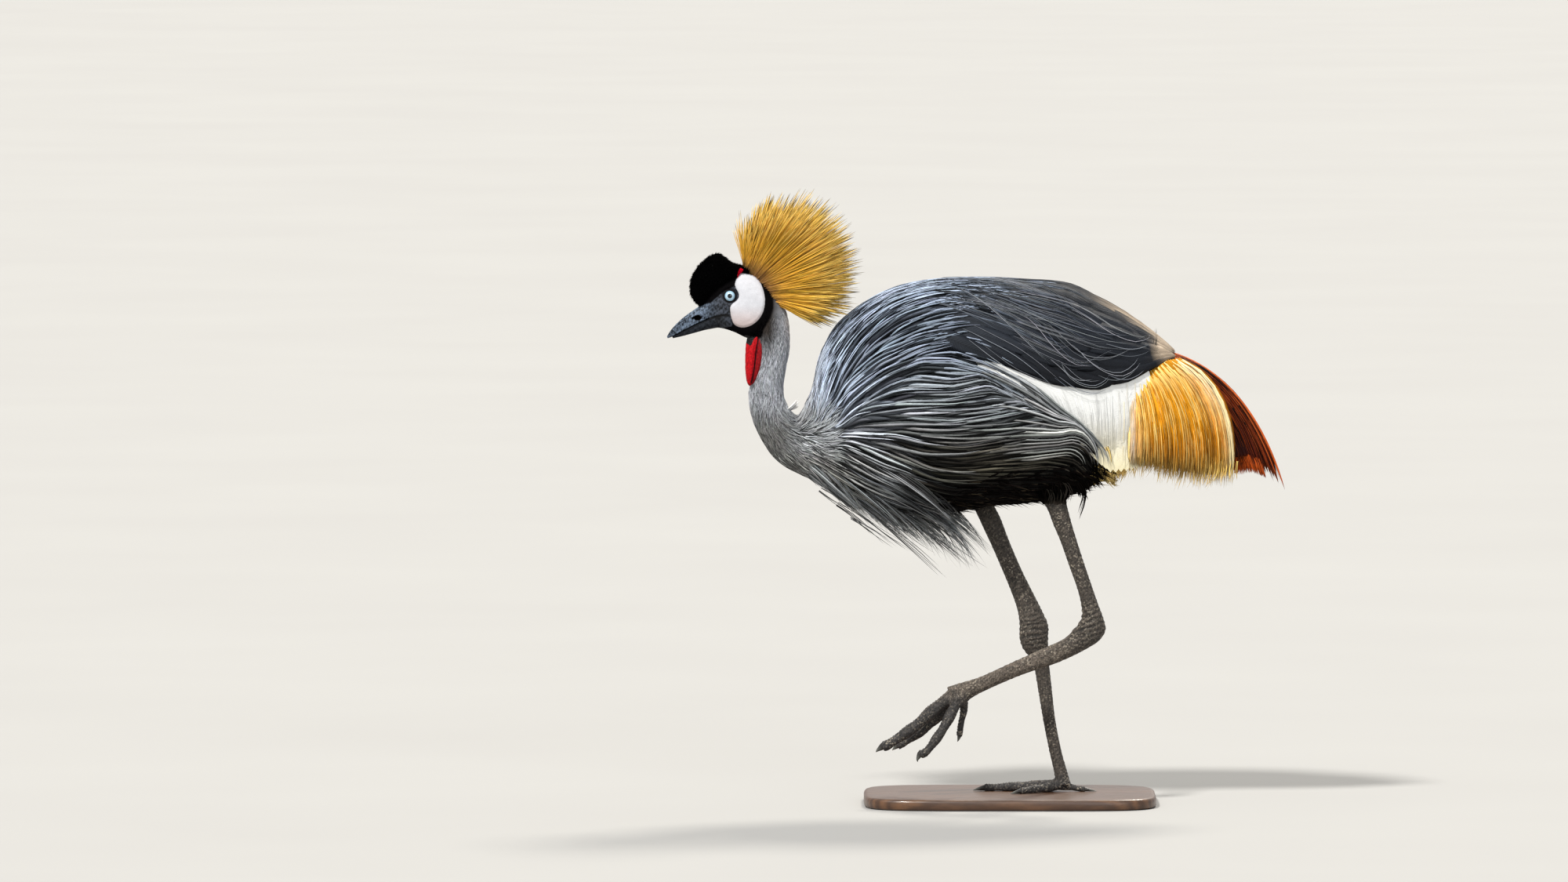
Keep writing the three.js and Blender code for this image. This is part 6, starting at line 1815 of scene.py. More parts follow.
def wing_slate(surf):
    for side, name in ((-1, "left"), (1, "right")):
        rng = np.random.default_rng(200 + side)
        rows = [0.045, 0.15, 0.27, 0.40, 0.53, 0.66, 0.79, 0.92]
        items = []
        for r, row in enumerate(rows):
            lo = mix(1192, 1250, min(1, row * 1.25))
            step = 46
            end = 1496 - 0 * row
            start = lo - 60 + (r % 2) * 22
            while start < end - 40:
                stop = min(start + 150, end + rng.uniform(-2, 5))
                items.append((row, start, stop, r))
                start += step
        n = len(items)
        K = 15
        row = np.array([i[0] for i in items])[:, None]
        u0, u1 = (np.array([i[k] for i in items], float)[:, None] for k in (1, 2))
        s = np.linspace(0, 1, K)[None]
        u = mix(u0, u1, s)
        wander = rng.normal(0, 0.012, (n, 1)) * s
        slope = mix(0.16, 0.04, row)                       # the feathers run a little down across the rows
        rr = np.clip(row + slope * (1 - s) * 0.6 + wander, 0.0, 1.0)
        half = 0.0165
        rr = np.maximum(rr, 0.06)
        P = back_point(np.clip(u, 1150, 1499), rr, side)
        flat = P.reshape(-1, 3)
        loc, nr = surf.project(flat)
        N = nr.reshape(P.shape)
        P = loc.reshape(P.shape)
        order = (np.array([i[1] for i in items]) - 1150) / 350
        off = mix(-0.0042, 0.0008, ramp(0, 0.8, s)) + 0 * order[:, None]
        P = P + N * off[..., None]
        W = profile(n, K - 1, "round") * half * mix(0.85, 1.0, row)
        W = W * np.where(row < 0.1, 0.86, 1.0)
        W = W * mix(1.0, np.where(row < 0.25, 0.42, 0.8), ramp(1428, 1470, u[:, :K - 1]))
        H = np.full((n, K - 1), 0.0012)
        tw = np.full((n, K - 1), side * 0.07)
        tn = slate_tone(P, N) * np.exp(rng.normal(0, 0.07, (n, 1, 1)))
        cols = np.concatenate([np.linspace(-1, 1, 5), np.linspace(-1, 1, 5)[::-1][1:-1]])
        edge = 1 + 0.30 * np.abs(cols) ** 6 - 0.12 * np.exp(-(cols / 0.15) ** 2)
        tn = tn[:, :, None] * edge[None, None, :, None] * mix(0.92, 1.12, s)[..., None, None]
        tf = Tufts(f"slate_vanes_{name}")
        vane(tf, P, N, W, H, tn, "broad", twist=tw)
        tf.build(MAT["slate"], "plumage_slate", [f"wing_{name}_slate"])
        # the mantle's last long plumes, which lie over the front and the top of the dark feathers
        m, K = (120), 14
        u0, r0 = rng.uniform(1176, 1300, m)[:, None], rng.uniform(0.34, 1.0, m)[:, None]
        s = np.linspace(0, 1, K)[None]
        u = u0 + rng.uniform(80, 160, (m, 1)) * s * ramp(1500, 1180, u0) ** 0.5
        w = np.clip(r0 - rng.uniform(0.06, 0.26, (m, 1)) * s ** 1.2, 0.1, 1.0)
        P = back_point(np.clip(u, 1150, 1480), w, side)
        loc, nr = surf.project(P.reshape(-1, 3))
        N = nr.reshape(P.shape)
        P = loc.reshape(P.shape) + N * (mix(-0.004, 0.0017, ramp(0, 0.25, s)) + rng.uniform(0, 0.0008, (m, 1)) * s)[..., None]
        W = profile(m, K - 1, "hair") * rng.uniform(0.0007, 0.0014, m)[:, None]
        kind = rng.random(m)
        c = np.where((kind < 0.45)[:, None], MANTLE_BLUE * 0.42, np.where((kind < 0.75)[:, None], SLATE * 0.4, MANTLE_BLUE * 0.2)) * np.exp(rng.normal(0, 0.2, (m, 1)))
        over = Tufts(f"slate_mantle_{name}")
        vane(over, P, N, W, W * 0.6, tone_along(c, rng, 0.1, 0.6, 0.8, K - 1), "tri")
        over.build(MAT["grey"], "plumage_grey")
        # long pale hair plumes that fall over the dark feathers
        groups = 20
        per = 4
        gu = rng.uniform(1185, 1330, groups)
        gr = rng.uniform(0.22, 1.0, groups)
        glen = rng.uniform(90, 210, groups) * mix(0.8, 1.1, ramp(1340, 1200, gu))
        gdrop = rng.uniform(0.25, 0.75, groups) * np.clip(gr, 0.3, 0.8)
        gcurl = rng.uniform(0.04, 0.20, groups) * (rng.random(groups) < 0.7)
        i = np.repeat(np.arange(groups), per)
        m = len(i)
        K = 15
        s = np.linspace(0, 1, K)[None] * rng.uniform(0.6, 1.0, m)[:, None]
        fan = rng.normal(0, 1, m)[:, None]
        u = gu[i][:, None] + rng.normal(0, 5, m)[:, None] + glen[i][:, None] * (s ** 0.95) * (1 + 0.05 * fan)
        w = gr[i][:, None] - gdrop[i][:, None] * (s ** 0.9) * (1 + 0.05 * fan) + gcurl[i][:, None] * ramp(0.6, 1.05, s) + 0.016 * fan
        w = np.clip(w, 0.035, 1.0)
        over = (u[:, -1] > 1462)
        u = np.where(over[:, None], u[:, :1] + (u - u[:, :1]) * ((1462 - u[:, :1]) / (u[:, -1:] - u[:, :1])), u)
        P = back_point(np.clip(u, 1150, 1496), w, side)
        loc, nr = surf.project(P.reshape(-1, 3))
        N = nr.reshape(P.shape)
        P = loc.reshape(P.shape) + N * (mix(-0.003, 0.0024, ramp(0, 0.18, s)) + rng.uniform(0, 0.0014, m)[:, None] * s)[..., None]
        # no plume goes past the lower edge
        W = profile(m, K - 1, "hair") * rng.uniform(0.00028, 0.00045, m)[:, None]
        pale = blend(srgb(108, 118, 132)[None] * np.ones((m, 3)), srgb(184, 188, 194)[None], rng.random(m))
        pale = pale * np.where(rng.random(m) < 0.35, 0.35, 0.8)[:, None]
        tf = Tufts(f"slate_hairs_{name}")
        vane(tf, P, N, W, W * 1.2, tone_along(pale, rng, 0.12, 0.5, 1.15, K - 1), "tri")
        tf.build(MAT["grey"], "plumage_grey")
        pale_arcs(surf, side, name)


# Courses of the longest pale plumes that lie over the slate feathers and turn up at their ends.
PALE_ARCS = [
    [(1348, 448.7), (1357.6, 468.9), (1373, 481.4), (1392.3, 486.2), (1405.8, 480.4), (1411.6, 473.7)],
    [(1352, 424), (1371.1, 440), (1386.5, 455.4), (1405.8, 467), (1425, 470.8), (1440.4, 463.1), (1450, 451.6)],
    [(1340, 468), (1353.8, 478.5), (1369.2, 489.1), (1386.5, 495.2), (1400, 494.9), (1408.7, 490)],
    [(1405, 470), (1421.2, 477.6), (1434.7, 479.4), (1448.2, 474.6), (1456.7, 467.9)],
    [(1330, 446), (1348, 461.2), (1363.4, 474.7), (1376.9, 479.5), (1391.3, 478.5)],
    [(1400, 432), (1425, 440), (1438.5, 442.3), (1452, 441.5), (1461.6, 438)],
    [(1200, 358), (1232.6, 371.4), (1262, 390), (1300, 424), (1331.8, 455)],
    [(1230, 366), (1270.4, 376.1), (1317.6, 395), (1364.8, 411.5), (1410, 424), (1440.3, 426)],
    [(1260, 366), (1298.7, 371.4), (1364.8, 385.5), (1400, 405), (1425, 420), (1446, 426)],
    [(1222, 418), (1246.8, 437.4), (1279.8, 461), (1312.9, 476), (1330, 482)],
    [(1320, 396), (1345.9, 418.6), (1379, 446.9), (1412, 451.6), (1440.3, 441.5)],
    [(1350, 384), (1383.7, 402), (1416.7, 423.3), (1446, 433.7), (1466, 429)],
    [(1216, 408), (1250, 425), (1290, 446), (1322, 470), (1342, 488)],
    [(1290, 388), (1318, 410), (1340, 436), (1366, 458), (1392, 462)]]


def pale_arcs(surf, side, name):
    rng = np.random.default_rng(230 + side)
    K, rows = 13, []
    for pts in PALE_ARCS:
        p = along_line(catmull(np.array(pts, float), np.linspace(0, len(pts) - 1, 120)), K)
        for k in range(2):
            shift = np.array([0, 0]) if k == 0 else rng.normal(0, 1, 2) * [7, 4]
            bend = (rng.normal(0, 1.2) if k else 0) * np.linspace(0, 1, K) ** 2
            rows.append(p + shift + np.stack([0 * bend, bend * 2], -1))
    uv = np.array(rows)
    n = len(uv)
    P, N = surf.side(uv[..., 0].ravel(), uv[..., 1].ravel(), side)
    P, N = P.reshape(n, K, 3), N.reshape(n, K, 3)
    t = np.linspace(0, 1, K)[None]
    P = P + N * (mix(-0.002, 0.0030, ramp(0, 0.2, t)) + rng.uniform(0, 0.0012, (n, 1)) * t)[..., None]
    w = np.where(np.arange(n) % 2 == 0, 0.00046, 0.00030) * rng.uniform(0.85, 1.2, n)
    W = (np.minimum(1, 0.5 + 2 * np.arange(K - 1) / K) * (1 - (np.arange(K - 1) / (K - 1)) ** 4) ** 0.6)[None] * w[:, None]
    pale = blend(srgb(124, 134, 146)[None] * np.ones((n, 3)), srgb(196, 200, 206)[None], rng.random(n))
    tf = Tufts(f"slate_arcs_{name}")
    vane(tf, P, N, W, W * 1.2, tone_along(pale, rng, 0.12, 0.5, 1.1, K - 1), "tri")
    tf.build(MAT["grey"], "plumage_grey")


def panel_point(u, v, side, out=0.0):
    """A place on the white panel, which hangs straight below the belly line, and its normal."""
    def y(uu, vv):
        return flank_y(uu, vv, -0.62) * np.where(uu > 1436, 1.0, 1.0)
    e = 1.5
    yy = y(u, v)
    nx = -(y(u + e, v) - y(u - e, v)) / (2 * e * G)
    nz = (y(u, v + e) - y(u, v - e)) / (2 * e * G)
    N = unit(np.stack([nx, np.ones_like(yy), nz], -1))
    P = np.stack([X(u), yy, Z(v)], -1) + N * np.asarray(out)[..., None]
    P[..., 1] *= side
    N[..., 1] *= side
    return P, N


def wing_white():
    top = [(1246, 448), (1290, 464), (1335, 484), (1372, 493), (1404, 494), (1426, 490), (1458, 474)]
    low = [(1296, 492), (1340, 520), (1378, 556), (1402, 588), (1416, 599), (1434, 597), (1456, 592)]
    ctl = [(1272, 468), (1318, 490), (1365, 518), (1396, 536), (1414, 545), (1434, 545), (1456, 540)]
    for side, name in ((-1, "left"), (1, "right")):
        rng = np.random.default_rng(300 + side)
        tf = Tufts(f"white_vanes_{name}")
        n, K = 30, 12
        q = np.linspace(0, 1, n)
        A, B, C = along_line(top, q), along_line(low, q), along_line(ctl, q)
        s = np.broadcast_to(np.linspace(-0.04, 1.0, K), (n, K))
        uv = bezier(A, C, B, s)
        out = mix(-0.004, -0.0012, ramp(0, 0.7, s))
        P, N = panel_point(uv[..., 0], uv[..., 1], side, out)
        W = profile(n, K - 1, "round") * mix(0.011, 0.0165, q)[:, None]
        W = np.maximum(W, 0.004)
        c = blend(np.broadcast_to(WHITE, (n, K, 3)), CREAM, ramp(520, 605, uv[..., 1]))
        cols = np.concatenate([np.linspace(-1, 1, 5), np.linspace(-1, 1, 5)[::-1][1:-1]])
        # painted shade: each vane is painted a little darker toward its edges, where it overlaps the next
        tn = c[:, :, None] * (1 - 0.07 * np.abs(cols) ** 4)[None, None, :, None] * np.exp(rng.normal(0, 0.02, (n, 1, 1, 1)))
        vane(tf, P, N, W, np.full((n, K - 1), 0.0002), tn, "broad", twist=np.full((n, K - 1), side * 0.012))
        n = 90
        q = rng.random(n)
        A, B, C = along_line(top, q), along_line(low, q), along_line(ctl, q)
        K = 7
        s0, s1 = rng.uniform(0, 0.5, n), rng.uniform(0.6, 1.015, n)
        s = s0[:, None] + (s1 - s0)[:, None] * np.linspace(0, 1, K)[None]
        uv = bezier(A, C, B, s)
        P, N = panel_point(uv[..., 0] + rng.normal(0, 0.5, (n, 1)), uv[..., 1], side, mix(-0.003, -0.0002, ramp(0, 0.4, np.linspace(0, 1, K)))[None] + rng.uniform(-0.0002, 0.0002, n)[:, None])
        W = profile(n, K - 1, "hair") * rng.uniform(0.0004, 0.0011, n)[:, None]
        c = blend(np.broadcast_to(WHITE, (n, K, 3)), CREAM, ramp(515, 605, uv[..., 1])) * np.exp(rng.normal(0.0, 0.07, (n, 1, 1)))
        brown = rng.random(n) < 0.006
        c[brown] *= srgb(206, 190, 150)[None, None]
        c = blend(c, srgb(250, 222, 146) / EXPOSE, (ramp(0.80, 1.0, q) * rng.uniform(0.0, 0.9, n))[:, None] * np.ones((1, K)))
        th = Tufts(f"white_hairs_{name}")
        vane(th, P, N, W, W * 0.08, c, "tri")
        tf.build(MAT["white"], "plumage_white", [f"wing_{name}_white"], smooth=False)
        th.build(MAT["white"], "plumage_white", smooth=False)


def gold_point(u, v, side, out=0.0):
    def y(uu, vv):
        s = ramp(0, 1, (uu - 1436) / 154)
        q = (640 - vv) / 210
        return mix(0.080, 0.040, s) * (1 - 0.2 * ((q - 0.48) / 0.42) ** 2) - 0.0025
    e = 2.0
    yy = y(u, v)
    nx = -(y(u + e, v) - y(u - e, v)) / (2 * e * G)
    nz = (y(u, v + e) - y(u, v - e)) / (2 * e * G)
    N = unit(np.stack([nx, np.ones_like(yy), nz], -1))
    P = np.stack([X(u), yy, Z(v)], -1) + N * np.asarray(out)[..., None]
    P[..., 1] *= side
    N[..., 1] *= side
    return P, N


def wing_gold():
    top = [(1441, 487), (1458, 474), (1474, 464), (1488, 456), (1503, 454)]
    low = [(1439, 591), (1466, 596), (1494, 604), (1530, 611), (1571, 610)]
    ctl = [(1443, 540), (1482, 528), (1519, 520), (1550, 505), (1580, 490)]
    for side, name in ((-1, "left"), (1, "right")):
        rng = np.random.default_rng(400 + side)
        tf = Tufts(f"gold_vanes_{name}")
        for layer, (n, depth) in enumerate(((26, 0.004), (26, 0.014))):
            K = 12
            q = np.linspace(0, 1, n)
            A, B, C = along_line(top, q), along_line(low, q), along_line(ctl, q)
            s = np.broadcast_to(np.linspace(0.0, 0.97, K), (n, K))
            uv = bezier(A, C, B, s)
            dd = depth * mix(1, 0.6, ramp(1436, 1590, uv[..., 0]))
            P, N = gold_point(uv[..., 0], uv[..., 1], side, -dd + 0.001 * rng.random((n, 1)))
            W = profile(n, K - 1, "round") * mix(0.0035, 0.0052, np.linspace(0, 1, K - 1))[None]
            c = tones([(0, GOLD * 0.75), (0.5, GOLD_DEEP * 0.7), (1, GOLD_BROWN)], s) * np.exp(rng.normal(0, 0.15, (n, 1, 1)))
            c = blend(c, srgb(246, 220, 150) / EXPOSE, ramp(0.20, 0.02, q)[:, None] * np.ones((1, K)))
            cols = np.concatenate([np.linspace(-1, 1, 5), np.linspace(-1, 1, 5)[::-1][1:-1]])
            # painted shade: each vane is painted darker toward its edges, where it overlaps the next
            tn = c[:, :, None] * (1 - 0.25 * np.abs(cols) ** 3)[None, None, :, None]
            vane(tf, P, N, W, np.full((n, K - 1), 0.0012), tn, "broad", twist=rng.normal(0, 0.05, (n, 1)) * np.ones((1, K - 1)))
        tf.build(MAT["gold"], "plumage_gold", [f"wing_{name}_gold"])
        n = 2300
        q = rng.random(n)
        q2 = np.clip(q + rng.normal(0, 0.016, n), 0, 1)
        A, B, C = along_line(top, q), along_line(low, q2), along_line(ctl, (q + q2) / 2)
        K = 7
        s0 = rng.random(n) ** 1.6 * 0.6
        s1 = np.where(rng.random(n) < 0.35, rng.uniform(0.55, 0.9, n), rng.uniform(0.88, 1.05, n))
        s1 = np.maximum(s1, s0 + 0.25)
        s1 = np.minimum(s1, 1.08)
        s = s0[:, None] + (s1 - s0)[:, None] * np.linspace(0, 1, K)[None]
        uv = bezier(A, C, B, s)
        wav = rng.normal(0, 1.1, (n, 1)) * np.sin(s * rng.uniform(2, 6, (n, 1)) + rng.uniform(0, 6, (n, 1)))
        deep = rng.random(n) ** 1.5
        dd = -0.009 * deep[:, None] * mix(1, 0.6, ramp(1436, 1590, uv[..., 0])) + 0.0014 * np.sin(q * 90)[:, None]
        dd = dd + mix(-0.003, 0.0005, ramp(0, 0.25, np.linspace(0, 1, K)))[None]
        P, N = gold_point(uv[..., 0] + wav, uv[..., 1], side, dd)
        W = profile(n, K - 1, "hair") * rng.uniform(0.00045, 0.00105, n)[:, None]
        stops = [(0, GOLD_PALE), (0.2, GOLD * 1.12), (0.55, GOLD), (0.8, GOLD_DEEP * 1.05), (0.93, srgb(216, 166, 70) / EXPOSE), (1.05, srgb(250, 218, 134) / EXPOSE)]
        c = tones(stops, s)
        bundle = np.sin(q * 61 + 1.3) * 0.16 + np.sin(q * 137 + 4) * 0.14 + np.sin(q * 23) * 0.08
        k = np.exp(rng.normal(0.02, 0.17, (n, 1, 1)) + bundle[:, None, None])
        c = c * k
        pale = rng.random(n) < 0.24
        c[pale] = blend(c[pale], GOLD_PALE * 1.05, 0.75)
        brown = (rng.random(n) < 0.10)
        c[brown] = blend(c[brown], GOLD_BROWN, ramp(0.3, 0.9, s[brown]) * 0.8)
        c = blend(c, srgb(250, 218, 136) / EXPOSE, ramp(0.26, 0.04, q)[:, None] * (0.1 + 0.7 * rng.random((n, 1))) * np.ones((1, K)))
        c = blend(c, WHITE, np.clip(ramp(0.10, -0.02, q)[:, None] * (0.2 + 0.8 * rng.random((n, 1))), 0, 1) * np.ones((1, K)))
        c = blend(c, srgb(253, 224, 150) / EXPOSE, ramp(0.30, 0.0, s) * ramp(0.25, 0.7, q)[:, None] * 0.7)
        rear = ramp(0.90, 1.0, q)[:, None] * np.ones((1, K))
        c = blend(c, srgb(254, 238, 186) / EXPOSE, rear * 0.85)
        c = blend(c, srgb(255, 244, 208) / EXPOSE, ramp(0.72, 0.95, q)[:, None] * ramp(0.75, 0.25, s) * rng.uniform(0, 0.9, (n, 1)))
        c = blend(c, srgb(150, 104, 52), ramp(0.72, 0.98, s) * ramp(0.55, 0.15, np.abs(q - 0.42))[:, None] * 0.6 * (rng.random((n, 1)) < 0.7))
        th = Tufts(f"gold_strands_{name}")
        vane(th, P, N, W, W * 0.9, c, "tri", twist=rng.normal(0, 0.35, (n, 1)) * np.ones((1, K - 1)))
        th.build(MAT["gold"], "plumage_gold")


def wing_chestnut():
    top = [(1496, 450), (1497, 454), (1498, 458), (1498, 462)]
    low = [(1639, 625), (1627, 616), (1612, 605), (1598, 599), (1585, 601), (1574, 602)]
    ctl = [(1593, 481), (1586, 484), (1578, 490), (1571, 495), (1564, 499), (1559, 503)]

    def depth_of(u, q):
        outer = mix(0.034, 0.006, ramp(0, 1, np.minimum(1.15 * (u - 1468) / 177, 1)))
        return np.maximum(outer * mix(0.16, 0.86, q ** 0.8)[:, None], 0.0012)

    for side, name in ((-1, "left"), (1, "right")):
        rng = np.random.default_rng(500 + side)
        dark = Tufts(f"chestnut_under_{name}")
        n, K = 14, 14
        q = np.linspace(0.12, 1, n)
        A, B, C = along_line(top, q), along_line(low, q), along_line(ctl, q)
        s = np.linspace(0, 1, K)[None] * rng.uniform(0.95, 0.985, (n, 1))
        uv = bezier(A, C, B, s)
        y = depth_of(uv[..., 0], q) - 0.003
        P = np.stack([X(uv[..., 0]), side * np.maximum(y, 0.0004), Z(uv[..., 1])], -1)
        N = unit(np.stack([0.2 + 0 * y, side * np.ones_like(y), 0.25 + 0 * y], -1))
        W = profile(n, K - 1, "round") * mix(0.002, 0.0058, ramp(0, 0.6, np.linspace(0, 1, K - 1)))[None]
        c = tones([(0, CHESTNUT_DEEP * 0.6), (0.6, srgb(48, 14, 8)), (0.93, srgb(60, 16, 8)), (1, CHESTNUT_RED)], s) * np.exp(rng.normal(0, 0.2, (n, 1, 1)))
        vane(dark, P, N, W, np.full((n, K - 1), 0.0008), c[:, :, None] * np.ones((1, 1, 8, 1)), "broad")
        dark.build(MAT["chestnut"], "plumage_chestnut", [f"wing_{name}_chestnut"])
        tf = Tufts(f"chestnut_vanes_{name}")
        n, K = 9, 22
        q = np.clip(np.linspace(0, 1, n) + np.concatenate([[0], rng.normal(0, 0.012, n - 1)]), 0, 1)
        A, B, C = along_line(top, q), along_line(low, q), along_line(ctl, q)
        end = np.where(q < 0.6, rng.uniform(0.97, 1.0, n), rng.uniform(0.80, 0.95, n))
        end[0] = 1.0
        s = np.linspace(0, 1, K)[None] * end[:, None]
        uv = bezier(A, C, B, s)
        y = depth_of(uv[..., 0], q) + 0.0008
        P = np.stack([X(uv[..., 0]), side * y, Z(uv[..., 1])], -1)
        N = unit(np.stack([0.3 + 0 * y, side * np.ones_like(y), 0.4 + 0 * y], -1))
        sw = np.arange(K - 1) / (K - 1)
        W = (np.minimum(1, 0.35 + 1.3 * sw) * (1 - sw ** 7) ** 0.8)[None] * rng.uniform(0.0016, 0.0021, (n, 1))
        W[0] *= 1.35
        c = tones([(0, CHESTNUT_RED), (0.3, CHESTNUT * 1.1), (0.7, srgb(104, 38, 20)), (1, srgb(100, 34, 16))], s) * np.exp(rng.normal(0, 0.12, (n, 1, 1)))
        c = blend(c, srgb(232, 108, 40), ramp(0.35, 0.0, q)[:, None] * np.ones((1, K)) * 0.8)
        c = blend(c, srgb(70, 24, 16), ramp(0.45, 0.9, q)[:, None] * ramp(0.3, 0.7, s) * 0.8)
        S = unit(np.cross(tangents(P), N))
        cols = np.concatenate([np.linspace(-1, 1, 5), np.linspace(-1, 1, 5)[::-1][1:-1]])
        up = S[..., 2:3] * cols                                     # the upper edge of each blade catches the light
        f = 1 + 0.55 * np.clip(up, -1, 1) - 0.15 * (np.abs(cols) < 0.1)
        tn = c[:, :, None] * np.clip(f, 0.25, 2)[..., None]
        tn = tn + (srgb(255, 150, 50) * 0.5)[None, None, None] * (np.clip(up - 0.40, 0, 1) * ramp(0.95, 0.25, q)[:, None, None])[..., None]
        vane(tf, P, N, W, W * 0.55, tn, "broad")
        tf.build(MAT["chestnut"], "plumage_chestnut")
        n = 340
        q = rng.random(n)
        A, B, C = along_line(top, q), along_line(low, np.clip(q + rng.normal(0, 0.01, n), 0, 1)), along_line(ctl, q)
        K = 8
        s0 = rng.random(n) * 0.6
        s1 = np.minimum(np.maximum(rng.uniform(0.45, 1.0, n), s0 + 0.25), np.where(rng.random(n) < 0.12, 1.03, 0.99))
        s = s0[:, None] + (s1 - s0)[:, None] * np.linspace(0, 1, K)[None]
        uv = bezier(A, C, B, s)
        y = depth_of(uv[..., 0], q) + rng.uniform(0.0002, 0.0026, (n, 1))
        P = np.stack([X(uv[..., 0]), side * y, Z(uv[..., 1])], -1)
        N = unit(np.stack([0.3 + 0 * y, side * np.ones_like(y), 0.4 + 0 * y], -1))
        W = profile(n, K - 1, "hair") * rng.uniform(0.0003, 0.0007, n)[:, None]
        kind = rng.random(n)
        base = np.where((kind < 0.62)[:, None], srgb(14, 6, 5), np.where((kind < 0.88)[:, None], CHESTNUT * 1.2, srgb(232, 112, 46)))
        base = base * mix(1.0, 0.4, ramp(0.55, 0.95, q))[:, None]
        th = Tufts(f"chestnut_strands_{name}")
        vane(th, P, N, W, W * 0.8, tone_along(base, rng, 0.15, 0.8, 1.2, K - 1), "tri")
        # the lit fringe along the lower border
        n = 150
        q = rng.uniform(0.42, 1.0, n)
        A, B, C = along_line(top, q), along_line(low, q), along_line(ctl, q)
        K = 4
        s = rng.uniform(0.90, 0.96, (n, 1)) + np.linspace(0, 1, K)[None] * rng.uniform(0.04, 0.09, (n, 1))
        uv = bezier(A, C, B, np.minimum(s, 1.02))
        y = depth_of(uv[..., 0], q) + rng.uniform(-0.002, 0.001, (n, 1))
        P = np.stack([X(uv[..., 0]), side * y, Z(uv[..., 1])], -1)
        N = unit(np.stack([0.3 + 0 * y, side * np.ones_like(y), 0.4 + 0 * y], -1))
        W = profile(n, K - 1, "hair") * rng.uniform(0.0005, 0.0009, n)[:, None]
        base = np.broadcast_to(srgb(236, 104, 34), (n, 3)) * rng.uniform(0.5, 1.1, (n, 1))
        vane(th, P, N, W, W * 0.6, tone_along(base, rng, 0.1, 0.5, 1.3, K - 1), "tri")
        th.build(MAT["chestnut"], "plumage_chestnut")


def build_tail():
    rng = np.random.default_rng(61)
    tf = Tufts("tail_vanes")
    n, K = 26, 13
    y = np.linspace(-1, 1, n)
    A = np.stack([np.full(n, 1440.0), np.full(n, 538.0)], -1)
    B = np.stack([mix(1580, 1560, np.abs(y)), mix(598, 590, np.abs(y))], -1)
    C = np.stack([np.full(n, 1515.0), np.full(n, 545.0)], -1)
    uv = bezier(A, C, B, np.broadcast_to(np.linspace(0, 1, K), (n, K)))
    P = np.stack([X(uv[..., 0]), 0.020 * y[:, None] * np.ones((1, K)), Z(uv[..., 1]) + 0.004 * (1 - y ** 2)[:, None]], -1)
    N = unit(np.stack([0.35 + 0 * y, 0.4 * y, 0.9 + 0 * y], -1))[:, None].repeat(K, 1)
    W = profile(n, K - 1, "round") * 0.0062
    c = tones([(0, srgb(120, 100, 76)), (0.5, srgb(70, 40, 26)), (1, srgb(30, 18, 14))], np.broadcast_to(np.linspace(0, 1, K), (n, K)))
    c = c * np.exp(rng.normal(0, 0.15, (n, 1, 1)))
    tn = c[:, :, None] * np.ones((1, 1, 8, 1))
    vane(tf, P, N, W, np.full((n, K - 1), 0.001), tn, "broad")
    tf.build(MAT["chestnut"], "plumage_chestnut", ["tail"])


def under_coat(surf):
    """Black belly, thighs and vent, shaggy."""
    rng = np.random.default_rng(71)

    def belly(P):
        u, v = uv_of(P)
        edge = np.interp(u, [1150, 1210, 1300, 1380, 1440], [668, 628, 618, 598, 566])
        rear = (u > 1385) & (v > 560)
        return ((v > edge - 16) & (u > 1175) & (u < 1425)) | (rear & (u < 1470))

    n = 2600
    R = surf.sample(n, rng, belly)
    u, v = uv_of(R)
    L = rng.uniform(0.024, 0.050, n) * mix(1, 0.8, ramp(1380, 1420, u))
    K = 6
    P, N = march(surf, R, L, K, yaw=rng.normal(0, 0.22, n), turn=rng.normal(0, 0.35, n))
    rag = rng.uniform(0.0002, 0.004, n) + 0.009 * (rng.random(n) < 0.22) * rng.random(n)
    rag = rag * mix(1.0, 1.7, ramp(1380, 1415, u))
    Q = lifted(P, N, 0.005, rng.uniform(-0.0012, 0.0004, n), 0.4, rag)
    W = profile(n, K - 1, "lance") * rng.uniform(0.0009, 0.0022, n)[:, None]
    base = BELLY_BLACK[None] * rng.uniform(0.5, 2.4, (n, 1))
    warm = rng.random(n) < 0.12
    base[warm] = srgb(70, 62, 50) * rng.uniform(0.5, 1.2, (warm.sum(), 1))
    pale = ramp(1402, 1420, uv_of(P[:, -1])[0])
    base = blend(base, srgb(252, 218, 140)[None] / EXPOSE * rng.uniform(0.8, 1.1, (n, 1)), pale)
    tf = Tufts("belly_plumes")
    vane(tf, Q, N, W, W * 0.45, tone_along(base, rng, 0.2, 0.7, 1.35, K - 1), "tri")
    tf.build(MAT["black"], "plumage_black")
    tf = Tufts("thigh_plumes")
    roots = []
    for ribs, side, down in ((THIGH_RIGHT, 1, (0.12, 1)), (THIGH_LEFT, -1, (0.1, 1))):
        ts = temp_surface([tube_solid(loft(ribs, 24, 40, -0.0012))], 0.002, 2)

        def lay(P, d=down):
            D = np.array([d[0], 0, -d[1]])
            return np.broadcast_to(unit(D), P.shape)

        R = ts.sample(520, rng, lambda P: (uv_of(P)[1] < 636) & (uv_of(P)[1] > 566))
        n = len(R)
        L = rng.uniform(0.014, 0.034, n)
        P, N = march(ts, R, L, 5, yaw=rng.normal(0, 0.25, n), lay=lay)
        # past the end of the feathered thigh the tips hang free
        Q = lifted(P, N, 0.003, rng.uniform(0, 0.001, n), 0.4, rng.uniform(0, 0.002, n))
        W = profile(n, 4, "lance") * rng.uniform(0.0007, 0.0016, n)[:, None]
        base = BELLY_BLACK[None] * rng.uniform(0.6, 2.6, (n, 1))
        vane(tf, Q, N, W, W * 0.5, tone_along(base, rng, 0.2, 0.7, 1.3, 4), "tri")
    tf.build(MAT["black"], "plumage_black")


